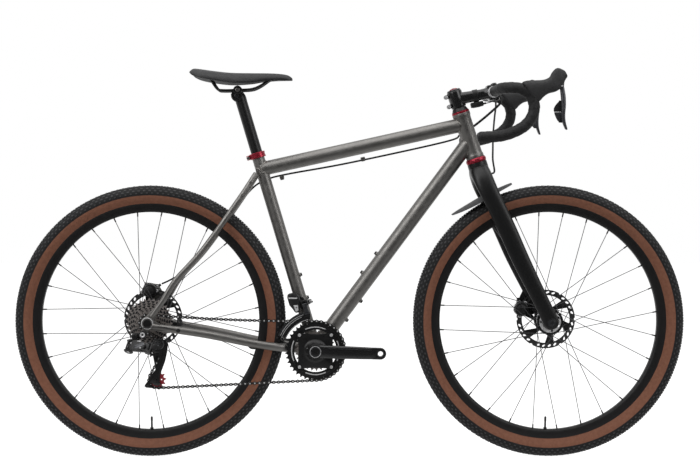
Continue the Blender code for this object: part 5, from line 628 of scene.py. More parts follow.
class Form:
    """A piece in the making: closed shells are added to it one after another."""

    def __init__(self) -> None:
        """Starts with no shells."""
        self.work = bmesh.new()
        self.finishes: list[Finish] = []

    def index(self, finish: Finish) -> int:
        """The finish's place among the piece's materials."""
        if finish not in self.finishes:
            self.finishes.append(finish)
        return self.finishes.index(finish)

    def add(
        self,
        shell: bmesh.types.BMesh,
        finish: Finish,
        place: Matrix | None = None,
        recalculated: bool = True,
    ) -> None:
        """Adds a finished shell and frees it.

        Args:
            shell: The shell, in the place's coordinates.
            finish: What it is made of.
            place: Where it goes. It stays where it is without one.
            recalculated: Whether its normals are worked out again.
        """
        if place is not None:
            shell.transform(place)
        if recalculated:
            bmesh.ops.recalc_face_normals(shell, faces=shell.faces)
        index = self.index(finish)
        for face in shell.faces:
            face.material_index = index
            face.smooth = True
        mesh = bpy.data.meshes.new("shell")
        shell.to_mesh(mesh)
        shell.free()
        self.work.from_mesh(mesh)
        bpy.data.meshes.remove(mesh)

    def turn(
        self, profile: Sequence[Flat], place: Matrix, finish: Finish, steps: int = 48
    ) -> None:
        """Adds a turned shell.

        Args:
            profile: Radius and height pairs. One that keeps off the axis is closed into a ring.
            place: Where it goes, with the turning axis on local Z.
            finish: What it is made of.
            steps: Steps round the axis.
        """
        shell = bmesh.new()
        points = [shell.verts.new((radius, 0.0, height)) for radius, height in profile]
        edges = [shell.edges.new(pair) for pair in zip(points, points[1:])]
        if min(radius for radius, height in profile) > 0:
            edges.append(shell.edges.new((points[-1], points[0])))
        bmesh.ops.spin(
            shell, geom=points + edges, cent=(0, 0, 0), axis=(0, 0, 1), angle=math.tau,
            steps=steps, use_merge=True,
        )
        bmesh.ops.remove_doubles(shell, verts=shell.verts, dist=1e-7)
        self.add(shell, finish, place)

    def plate(
        self,
        outline: Sequence[Flat],
        low: float,
        high: float,
        place: Matrix,
        finish: Finish,
        holes: Sequence[Sequence[Flat]] = (),
        bevel: float = 0.0,
    ) -> None:
        """Adds a plate with holes.

        Args:
            outline: The outer edge in the place's X Y plane.
            low: Local Z of one face.
            high: Local Z of the other face.
            place: Where it goes.
            finish: What it is made of.
            holes: The outlines of its holes.
            bevel: The size of its edges' bevel.
        """
        shell = bmesh.new()
        for loop in (outline, *holes):
            draw(shell, loop, low)
        if holes:
            bmesh.ops.triangle_fill(shell, use_beauty=True, edges=shell.edges[:])
        else:
            bmesh.ops.contextual_create(shell, geom=shell.edges[:])
        grown = bmesh.ops.extrude_face_region(shell, geom=shell.faces[:])
        top = corners_of(grown)
        bmesh.ops.translate(shell, vec=(0, 0, high - low), verts=top)
        bmesh.ops.recalc_face_normals(shell, faces=shell.faces)
        if bevel > 0:
            self.soften(shell, bevel)
        self.add(shell, finish, place)

    @staticmethod
    def soften(
        shell: bmesh.types.BMesh, width: float, segments: int = 2, angle: float = 50.0
    ) -> None:
        """Bevels a shell's sharp edges.

        Args:
            shell: The shell.
            width: The bevel's width.
            segments: Its segments.
            angle: The least angle, in degrees, of an edge that is bevelled.
        """
        sharp = [
            edge
            for edge in shell.edges
            if len(edge.link_faces) == 2 and edge.calc_face_angle(0.0) > math.radians(angle)
        ]
        bmesh.ops.bevel(
            shell, geom=sharp, offset=width, segments=segments, profile=0.5, affect="EDGES",
            clamp_overlap=True, material=-1,
        )

    def block(
        self, place: Matrix, size: Sequence[float], finish: Finish, bevel: float = 0.001
    ) -> None:
        """Adds a box with rounded edges, centred on its place.

        Args:
            place: Where it goes.
            size: Its three sizes.
            finish: What it is made of.
            bevel: The radius of its edges.
        """
        shell = bmesh.new()
        bmesh.ops.create_cube(shell, size=1.0)
        bmesh.ops.scale(shell, vec=size, verts=shell.verts)
        bmesh.ops.bevel(
            shell, geom=shell.edges[:], offset=bevel, segments=3, profile=0.5, affect="EDGES",
            clamp_overlap=True, material=-1,
        )
        self.add(shell, finish, place)

    def loft(
        self,
        places: Sequence[Matrix],
        finish: Finish,
        sides: int = 24,
        power: float = 1.0,
        outline: Sequence[Flat] | None = None,
        closed: bool = False,
        shape: Callable[[bmesh.types.BMVert, int], None] | None = None,
    ) -> None:
        """Adds a skin that is extruded from one section to the next.

        Args:
            places: A matrix for each section, which takes the unit section to it.
            finish: What it is made of.
            sides: Sides of the unit circle.
            power: Squares the circle off where it is under 1.
            outline: A unit section other than a circle.
            closed: Whether the last section leads back to the first.
            shape: Moves a vertex of the section with this number after it is placed.
        """
        shell = bmesh.new()
        if outline is None:
            bmesh.ops.create_circle(shell, cap_ends=False, radius=1.0, segments=sides)
            for corner in shell.verts:
                corner.co.x = math.copysign(abs(corner.co.x) ** power, corner.co.x)
                corner.co.y = math.copysign(abs(corner.co.y) ** power, corner.co.y)
        else:
            draw(shell, outline)
        bmesh.ops.transform(shell, matrix=places[0], verts=shell.verts[:])
        ring = shell.edges[:]
        first_ring = list(ring)
        rows = [shell.verts[:]]
        for before, after in zip(places, places[1:]):
            grown = bmesh.ops.extrude_edge_only(shell, edges=ring)
            corners = corners_of(grown)
            fresh = set(corners)
            ring = [
                item
                for item in grown["geom"]
                if isinstance(item, bmesh.types.BMEdge) and set(item.verts) <= fresh
            ]
            bmesh.ops.transform(shell, matrix=after @ before.inverted(), verts=corners)
            rows.append(corners)
        if shape is not None:
            for number, corners in enumerate(rows):
                for corner in corners:
                    shape(corner, number)
        if closed:
            bmesh.ops.bridge_loops(shell, edges=first_ring + ring)
        else:
            close_ends(shell)
        self.add(shell, finish)

    def bar(
        self,
        start: Sequence[float],
        end: Sequence[float],
        radius: float,
        finish: Finish,
        sides: int = 24,
        bevel: float = 0.0,
    ) -> None:
        """Adds a round bar between two points.

        Args:
            start: The centre of one end.
            end: The centre of the other.
            radius: Its radius.
            finish: What it is made of.
            sides: Its sides.
            bevel: The bevel of both ends.
        """
        start, end = Vector(start), Vector(end)
        length = (end - start).length
        hint = FORWARD if abs((end - start).normalized().x) < 0.9 else LATERAL
        profile = hoop(0.0, radius, 0.0, length)
        if bevel > 0:
            profile = [(0.0, 0.0), (radius - bevel, 0.0), (radius, bevel)]
            profile += [(radius, length - bevel), (radius - bevel, length), (0.0, length)]
        self.turn(profile, aimed(start, end - start, hint), finish, sides)

    def bolt(
        self, place: Matrix, radius: float, height: float, finish: Finish, socket: float = 0.5
    ) -> None:
        """Adds a bolt's round head with a six-sided socket.

        Args:
            place: The middle of the head's seat, with local Z out of it.
            radius: The head's radius.
            height: The head's height.
            finish: What it is made of.
            socket: The socket's share of the head's radius.
        """
        rounding, lip, depth = 0.3, 0.78, 0.7
        shell = bmesh.new()
        bmesh.ops.create_circle(shell, cap_ends=True, radius=radius, segments=24)
        grown = bmesh.ops.extrude_face_region(shell, geom=shell.faces[:])
        top = corners_of(grown)
        bmesh.ops.translate(shell, vec=(0, 0, height), verts=top)
        bmesh.ops.recalc_face_normals(shell, faces=shell.faces)
        rim = [edge for edge in shell.edges if all(corner in top for corner in edge.verts)]
        bmesh.ops.bevel(
            shell, geom=rim, offset=height * rounding, segments=2, profile=0.5, affect="EDGES",
            clamp_overlap=True, material=-1,
        )
        cap = max(
            shell.faces,
            key=lambda item: (round(item.calc_center_median().z, 7), item.calc_area()),
        )
        bmesh.ops.inset_region(shell, faces=[cap], thickness=radius * (lip - socket))
        self._hexagon(cap, radius * socket)
        sunk = bmesh.ops.extrude_face_region(shell, geom=[cap])
        floor = corners_of(sunk)
        bmesh.ops.delete(shell, geom=[cap], context="FACES_ONLY")
        bmesh.ops.translate(shell, vec=(0, 0, -height * depth), verts=floor)
        self.add(shell, finish, place)

    @staticmethod
    def _hexagon(cap: bmesh.types.BMFace, radius: float) -> None:
        """Draws the corners of a bolt's inner face onto a hexagon.

        Args:
            cap: The face that becomes the socket.
            radius: The hexagon's corner radius.
        """
        for corner in cap.verts:
            angle = math.atan2(corner.co.y, corner.co.x) % (math.pi / 3) - math.pi / 6
            reach = radius * math.cos(math.pi / 6) / math.cos(angle)
            flat = Vector((corner.co.x, corner.co.y, 0)).normalized() * reach
            corner.co = Vector((flat.x, flat.y, corner.co.z))

    def copied(self, node: str, finish: Finish, width: float, angle: float = 28.0) -> None:
        """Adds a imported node's own solid, merged, with its edges rounded.

        Args:
            node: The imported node's name.
            finish: What it is made of.
            width: The width of its edges' bevel.
            angle: The least angle, in degrees, of an edge that is rounded.
        """
        shell = bmesh.new()
        shell.from_mesh(bpy.data.objects[node].data)
        bmesh.ops.remove_doubles(shell, verts=shell.verts, dist=2e-6)
        bmesh.ops.dissolve_limit(
            shell, angle_limit=math.radians(1.0), verts=shell.verts[:], edges=shell.edges[:]
        )
        self.soften(shell, width, 2, angle)
        self.add(shell, finish)

    def round(
        self,
        shell: bmesh.types.BMesh,
        finish: Finish,
        centre: Vector,
        count: int,
        angle: float = math.tau,
    ) -> None:
        """Repeats a shell about an axle that lies along Y, and adds all of it.

        Args:
            shell: The shell that is repeated.
            finish: What it is made of.
            centre: A point of the axle.
            count: How many there are.
            angle: The whole angle that they share.
        """
        bmesh.ops.recalc_face_normals(shell, faces=shell.faces)
        if count > 1:
            bmesh.ops.spin(
                shell, geom=shell.verts[:] + shell.edges[:] + shell.faces[:], cent=centre,
                axis=(0, 1, 0), angle=angle * (count - 1) / count, steps=count - 1,
                use_duplicate=True, use_merge=False,
            )
        self.add(shell, finish, recalculated=False)

    def piece(
        self,
        name: str,
        body: str,
        replaces: Sequence[str] = (),
        sharp: float = 35.0,
    ) -> bpy.types.Object:
        """Makes the piece from its shells and rides it on its body.

        Args:
            name: The piece's name.
            body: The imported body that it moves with.
            replaces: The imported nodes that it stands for.
            sharp: The angle, in degrees, past which its edges show sharp.

        Returns:
            The piece.
        """
        mesh = bpy.data.meshes.new(name)
        self.work.to_mesh(mesh)
        self.work.free()
        for finish in self.finishes:
            mesh.materials.append(finish.material())
        mesh.set_sharp_from_angle(angle=math.radians(sharp))
        made = bpy.data.objects.new(name, mesh)
        bpy.context.scene.collection.objects.link(made)
        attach(made, body)
        if replaces:
            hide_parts(*replaces)
        LOG.info("%s on %s: %d faces", name, body, len(mesh.polygons))
        return made


# Studio


@dataclass
class Studio:
    """The camera, the lamps, the floor and the pale surroundings of the picture."""

    distance: float = 3.7
    camera_x: float = -0.074
    camera_z: float = 0.758
    focal_pixels: float = 1370.0
    centre_x: float = 322.0
    centre_y: float = 175.0
    sensor: float = 36.0
    floor_size: float = 16.0
    floor_grey: float = 0.68
    floor_glow: float = 1.6
    floor_share: float = 0.60
    dim_to_bright: Flat = (0.10, 0.95)

    def build(self) -> None:
        """Sets the whole studio up."""
        self._camera()
        self._surroundings()
        self._lamps()
        self._floor()
        bpy.context.scene.view_settings.view_transform = "Standard"

    def _camera(self) -> None:
        """Puts the camera where the photograph was taken from."""
        data = bpy.data.cameras.new("camera")
        data.sensor_width = self.sensor
        data.lens = self.focal_pixels / PHOTO_WIDTH * self.sensor
        data.shift_x = (PHOTO_WIDTH / 2 - self.centre_x) / PHOTO_WIDTH
        data.shift_y = (self.centre_y - PHOTO_HEIGHT / 2) / PHOTO_WIDTH
        data.clip_start = 0.1
        data.clip_end = 60.0
        camera = bpy.data.objects.new("camera", data)
        camera.location = (self.camera_x, -self.distance, self.camera_z)
        camera.rotation_euler = (math.pi / 2, 0, 0)
        bpy.context.scene.collection.objects.link(camera)
        bpy.context.scene.camera = camera

    def _surroundings(self) -> None:
        """Lights the world: white behind the bicycle, and dimmer where the camera stands."""
        world = bpy.data.worlds.new("studio")
        bpy.context.scene.world = world
        world.use_nodes = True
        tree = world.node_tree
        tree.nodes.clear()
        place = shader_node(tree, "TexCoord").outputs["Generated"]
        room = shader_node(
            tree, "Background", {"Strength": self._across(tree, place, (-0.25, 0.55))}
        )
        white = shader_node(tree, "Background", {"Color": (1.0, 1.0, 1.0, 1.0)})
        mix = shader_node(tree, "MixShader", {
            "Fac": shader_node(tree, "LightPath").outputs["Is Camera Ray"],
            1: room.outputs["Background"],
            2: white.outputs["Background"],
        })
        shader_node(tree, "OutputWorld", {"Surface": mix.outputs["Shader"]})

    def _across(
        self, tree: bpy.types.NodeTree, place: bpy.types.NodeSocket, source: Flat
    ) -> bpy.types.NodeSocket:
        """A strength that grows from the camera's side to the far one.

        Args:
            tree: The tree that takes the nodes.
            place: The coordinates.
            source: Between which values of Y it grows.

        Returns:
            The strength.
        """
        parts = shader_node(tree, "SeparateXYZ", {"Vector": place})
        growth = shader_node(tree, "MapRange", {
            "Value": parts.outputs["Y"],
            "From Min": source[0],
            "From Max": source[1],
            "To Min": self.dim_to_bright[0],
            "To Max": self.dim_to_bright[1],
        })
        return growth.outputs["Result"]

    def _lamps(self) -> None:
        """Hangs a long soft lamp over the bicycle and a broad one beside the camera."""
        for name, spot, target, size, power in (
            ("overhead", (0.0, -0.9, 3.3), (0.0, -0.5, 0.3), (6.4, 3.4), 122.0),
            ("fill_left", (-3.3, -3.0, 2.6), (0.0, 0.0, 0.5), (2.8, 3.0), 70.0),
            ("fill_right", (3.5, -2.7, 2.3), (0.0, 0.0, 0.5), (2.4, 2.6), 44.0),
        ):
            data = bpy.data.lights.new(name, "AREA")
            data.shape = "RECTANGLE"
            data.size, data.size_y = size
            data.energy = power
            lamp = bpy.data.objects.new(name, data)
            lamp.location = spot
            aim = Vector(target) - Vector(spot)
            lamp.rotation_euler = aim.to_track_quat("-Z", "Y").to_euler()
            bpy.context.scene.collection.objects.link(lamp)

    def _floor(self) -> None:
        """Lays a pale floor that keeps a soft shadow."""
        work = bmesh.new()
        bmesh.ops.create_grid(work, x_segments=1, y_segments=1, size=self.floor_size / 2)
        mesh = bpy.data.meshes.new("floor")
        work.to_mesh(mesh)
        work.free()
        floor = bpy.data.objects.new("floor", mesh)
        bpy.context.scene.collection.objects.link(floor)
        made = bpy.data.materials.new("floor_paint")
        made.use_nodes = True
        tree = made.node_tree
        paint = tree.nodes["Principled BSDF"]
        grey = self.floor_grey
        feed(tree, paint, {"Base Color": (grey, grey, grey, 1.0), "Roughness": 0.9})
        rays = shader_node(tree, "LightPath").outputs
        share = shader_node(tree, "Math", {0: rays["Is Camera Ray"], 1: self.floor_share})
        share.operation = "MULTIPLY"
        seen = shader_node(tree, "Emission", {"Strength": self.floor_glow})
        first = shader_node(tree, "MixShader", {
            "Fac": share.outputs["Value"],
            1: paint.outputs["BSDF"],
            2: seen.outputs["Emission"],
        })
        place = shader_node(tree, "TexCoord").outputs["Object"]
        across = self._across(tree, place, (-1.4, 0.5))
        reflected = shader_node(tree, "Emission", {"Strength": across})
        second = shader_node(tree, "MixShader", {
            "Fac": rays["Is Glossy Ray"],
            1: first.outputs["Shader"],
            2: reflected.outputs["Emission"],
        })
        feed(tree, tree.nodes["Material Output"], {"Surface": second.outputs["Shader"]})
        mesh.materials.append(made)


# Wheels


@dataclass
class Wheel:
    """One wheel: a knobbly tan-wall tyre, a carbon rim, 28 laced spokes, a hub and a rotor."""

    label: str
    centre: Vector
    phase: float
    valve_angle: float
    right_flange: float
    left_flange: float
    rotor_y: float
    rim_inner: float = 0.293
    spokes: int = 28
    spoke_radius: float = 0.00095
    tangent_radius: float = 0.032
    knob_count: int = 150
    knob_height: float = 0.0050
    casing: tuple[Flat, ...] = (
        (0.3113, 0.0080), (0.3150, 0.0114), (0.3175, 0.0134), (0.3215, 0.0172), (0.3265, 0.0213),
        (0.3325, 0.0250), (0.3385, 0.0268), (0.3440, 0.0270), (0.3495, 0.0258), (0.3545, 0.0228),
        (0.3585, 0.0180), (0.3610, 0.0120), (0.3623, 0.0055), (0.3625, 0.0),
    )

    @property
    def body(self) -> str:
        """The body that the wheel is."""
        return f"{self.label}_wheel"

    def place(self, y: float = 0.0) -> Matrix:
        """A place on the axle, with local Z to the rider's left and local X forward."""
        return aimed(self.centre + LATERAL * y, LATERAL, FORWARD)

    def build(self) -> None:
        """Builds the whole wheel."""
        self._tyre()
        self._rim()
        self._spokes()
        self._rotor()

    def _tyre(self) -> None:
        """Moulds the tyre: tan below its widest point, black and knobbly above it."""
        form = Form()
        fine = eased(self.casing, 2)
        widest = 0.3385
        split = min(range(len(fine)), key=lambda item: abs(fine[item][0] - widest))
        for sign in (1, -1):
            wall = [(radius, sign * half) for radius, half in fine[: split + 1]]
            lining = [
                (radius - 0.0004, sign * (half - 0.0014)) for radius, half in fine[: split + 1]
            ]
            form.turn(wall + lining[::-1], self.place(), TAN, 128)
        crown = [(radius, half) for radius, half in fine[split:]]
        crown += [(radius, -half) for radius, half in fine[split:-1][::-1]]
        under = [(radius - 0.0020, half * 0.93) for radius, half in crown]
        # The crown between the knobs takes the darker rubber, as painted shade.
        form.turn(crown + under[::-1], self.place(), TREAD_PAINTED_SHADE, 128)
        self._knobs(form)
        form.piece(f"{self.label}_tyre_shell", self.body, [f"{self.label}_tyre"], 40.0)

    def _knobs(self, form: Form) -> None:
        """Sets rows of small blocks on the crown and the shoulders.

        Args:
            form: The tyre's form.
        """
        rows = (
            # radius of the block's foot, out to the side, lean in degrees, across, along, shift
            (0.3618, 0.0000, 0.0, 0.0052, 0.0074, 0.0),
            (0.3610, 0.0070, 12.0, 0.0046, 0.0070, 0.5),
            (0.3590, 0.0132, 28.0, 0.0046, 0.0076, 0.0),
            (0.3552, 0.0188, 44.0, 0.0046, 0.0084, 0.5),
            (0.3500, 0.0232, 64.0, 0.0042, 0.0074, 0.0),
            (0.3442, 0.0258, 80.0, 0.0036, 0.0056, 0.5),
        )
        pitch = math.tau / self.knob_count
        for radius, out, lean, across, along, shift in rows:
            for sign in (1,) if out == 0 else (1, -1):
                shell = bmesh.new()
                bmesh.ops.create_cube(shell, size=1.0)
                for corner in shell.verts:
                    narrow = 0.78 if corner.co.z > 0 else 1.08
                    corner.co.x *= along * narrow
                    corner.co.y *= across * narrow
                    corner.co.z *= self.knob_height
                turn = Matrix.Rotation(-sign * math.radians(lean), 4, "X")
                spot = Matrix.Translation((0, sign * out, radius + 0.0006)) @ turn
                around = Matrix.Rotation(shift * pitch, 4, "Y")
                bmesh.ops.transform(shell, matrix=around @ spot, verts=shell.verts)
                bmesh.ops.translate(shell, vec=self.centre, verts=shell.verts)
                # The knobs take the lighter rubber, as a painted highlight.
                form.round(shell, KNOB_PAINTED_HIGHLIGHT, self.centre, self.knob_count)

    def _rim(self) -> None:
        """Turns the rim with its hooked edges, and sets the valve in it."""
        form = Form()
        side = [
            (0.3108, 0.0082), (0.3108, 0.0098), (0.3152, 0.0100), (0.3163, 0.0106),
            (0.3170, 0.0117), (0.3168, 0.0125), (0.3155, 0.0128), (0.3110, 0.0127),
            (0.3050, 0.0124), (0.2990, 0.0114), (0.2950, 0.0096), (0.2932, 0.0070),
            (0.2929, 0.0030),
        ]
        profile = side + [(radius, -half) for radius, half in side[::-1]]
        form.turn(profile, self.place(), RIM_CARBON, 144)
        outward = Vector((math.cos(self.valve_angle), 0, math.sin(self.valve_angle)))
        place = aimed(self.centre + outward * (self.rim_inner + 0.002), -outward, LATERAL)
        stem = [
            (0.0, -0.004), (0.0030, -0.004), (0.0030, 0.0035), (0.0048, 0.0036), (0.0048, 0.0062),
            (0.0028, 0.0066), (0.0026, 0.0240), (0.0030, 0.0245), (0.0030, 0.0335),
            (0.0018, 0.0362), (0.0, 0.0364),
        ]
        form.turn(stem, place, BLACK, 16)
        form.piece(f"{self.label}_rim_hoop", self.body, [f"{self.label}_rim"], 40.0)

    def _spoke_line(self, index: int) -> tuple[Vector, Vector]:
        """One spoke's ends.

        Args:
            index: The spoke's number.

        Returns:
            Its end in the flange and its end in the rim.
        """
        angle = self.phase + math.tau * index / self.spokes
        lean = 1 if (index // 2) % 2 else -1
        flange = self.left_flange if index % 2 else self.right_flange
        end_radius = self.rim_inner + 0.001
        turn = angle + lean * math.acos(self.tangent_radius / end_radius)
        start = Vector((math.cos(turn), 0, math.sin(turn))) * self.tangent_radius
        start += self.centre + LATERAL * (flange + lean * 0.0016)
        end = self.centre + Vector((math.cos(angle), 0, math.sin(angle))) * end_radius
        return start, end

    def _spokes(self) -> None:
        """Laces the spokes, each with its head in the flange and its nipple at the rim."""
        form = Form()
        heads = Form()
        for index in range(self.spokes):
            start, end = self._spoke_line(index)
            along = (end - start).normalized()
            out = 1 if start.y > 0 else -1
            flange = self.left_flange if index % 2 else self.right_flange
            bend = start - along * 0.0015 - LATERAL * (start.y - flange) * 0.4
            path = [bend, start + along * 0.001, start + along * 0.006, end - along * 0.006]
            radius = self.spoke_radius
            thick = (radius * 1.25, radius * 1.25)
            sizes = [thick, thick, (radius, radius), (radius, radius)]
            form.loft(stations(path, sizes, LATERAL), SPOKE_STEEL, 8)
            heads.bar(end - along * 0.0115, end + along * 0.001, 0.0019, BLACK, 8, 0.0004)
            seat = bend - along * 0.0005
            across = LATERAL * out
            heads.bar(seat - across * 0.0006, seat + across * 0.0022, 0.0019, SPOKE_STEEL, 8)
        form.piece(f"{self.label}_spokes", self.body)
        heads.piece(f"{self.label}_nipples", self.body)

    def _rotor(self) -> None:
        """Cuts the brake rotor: a vented band on a black spider with slanted arms."""
        form = Form()
        half, tip, notch = 0.0009, 0.0800, 0.0772
        count = 6
        width = math.tau / count
        slant = math.radians(20)
        place = self.place(self.rotor_y)
        outline = []
        vents = [circle(0.0664, 60)]
        windows = [circle(0.0168, 32)]
        for number in range(count):
            start = width * number
            outline += [polar(tip, start + (0.05 + 0.9 * step / 8) * width) for step in range(9)]
            outline += [polar(notch, start + 0.97 * width), polar(notch, start + 1.03 * width)]
            for share in (0.17, 0.37, 0.57, 0.77):
                middle = width * (number + share)
                ends = polar(0.0722, middle - 0.028), polar(0.0742, middle + 0.028)
                vents.append(oval(*ends, 0.0024, 4))
            turn = math.tau * number / count
            window = arc(0.0652, turn + slant + 0.20 * width, turn + slant + 0.84 * width, 6)
            window += arc(0.0300, turn + 0.86 * width, turn + 0.14 * width, 4)
            windows.append(window)
        form.plate(outline, -half, half, place, ROTOR_STEEL, vents)
        form.plate(circle(0.0672, 60), -half * 0.8, half * 1.5, place, BLACK, windows, 0.0003)
        lock_ring = [
            (0.0152, -0.0012), (0.0215, -0.0012), (0.0225, 0.0), (0.0215, 0.0030),
            (0.0152, 0.0036),
        ]
        form.turn(lock_ring, place, BLACK, 36)
        form.piece(f"{self.label}_rotor_disc", self.body, [f"{self.label}_rotor"], 30.0)


@dataclass
class Hub:
    """A hub shell with drilled flanges."""

    wheel: Wheel
    right_end: float
    left_end: float
    bore: float
    barrel: float = 0.0155
    flange_radius: float = 0.0355

    def build(self) -> None:
        """Turns the hub and drills its flanges."""
        form = Form()
        wheel = self.wheel
        place = wheel.place()
        right, left = wheel.right_flange, wheel.left_flange
        middle = (right + left) / 2
        end = 0.0125
        profile = [
            (self.bore, self.right_end), (end, self.right_end),
            (end + 0.0005, right - 0.0060), (self.barrel + 0.004, right - 0.0028),
            (self.barrel + 0.006, right), (self.barrel + 0.002, right + 0.006),
            (self.barrel - 0.001, right + 0.012), (self.barrel - 0.002, middle),
            (self.barrel - 0.001, left - 0.012), (self.barrel + 0.002, left - 0.006),
            (self.barrel + 0.006, left), (self.barrel + 0.004, left + 0.0028),
            (0.0170, left + 0.0060), (0.0200, wheel.rotor_y - 0.0050),
            (0.0200, wheel.rotor_y - 0.0013), (0.0150, wheel.rotor_y - 0.0013),
            (0.0150, wheel.rotor_y + 0.0012), (0.0180, wheel.rotor_y + 0.0012),
            (0.0180, wheel.rotor_y + 0.0036), (end, wheel.rotor_y + 0.0040),
            (end, self.left_end), (self.bore, self.left_end),
        ]
        form.turn(profile, place, BLACK, 48)
        for flange in (right, left):
            holes = [circle(self.barrel + 0.003, 36)]
            for index in range(7):
                turn = math.tau * (index + 0.5) / 7
                holes.append(circle(0.0034, 12, polar(0.0245, turn)))
            seat = wheel.place(flange)
            form.plate(circle(0.0297, 64), -0.0010, 0.0010, seat, SATIN_SILVER, holes, 0.0003)
            holes = [circle(0.0292, 48)]
            for index in range(14):
                turn = math.tau * index / 14 + 0.1
                holes.append(circle(0.0012, 8, polar(0.0325, turn)))
            form.plate(circle(self.flange_radius, 64), -0.0016, 0.0016, seat, BLACK, holes, 0.0004)
            rim = [(0.0342, -0.0022), (0.0352, -0.0024), (0.0356, 0.0), (0.0352, 0.0024)]
            form.turn(rim + [(0.0342, 0.0022)], seat, DARK_GREY, 64)
            hat = [(self.barrel + 0.001, -0.0026), (self.barrel + 0.0062, -0.0022)]
            hat += [(self.barrel + 0.0062, 0.0022), (self.barrel + 0.001, 0.0026)]
            form.turn(hat, seat, SILVER, 48)
        form.piece(f"{wheel.label}_hub_shell", wheel.body, [f"{wheel.label}_hub"], 35.0)


# Frame


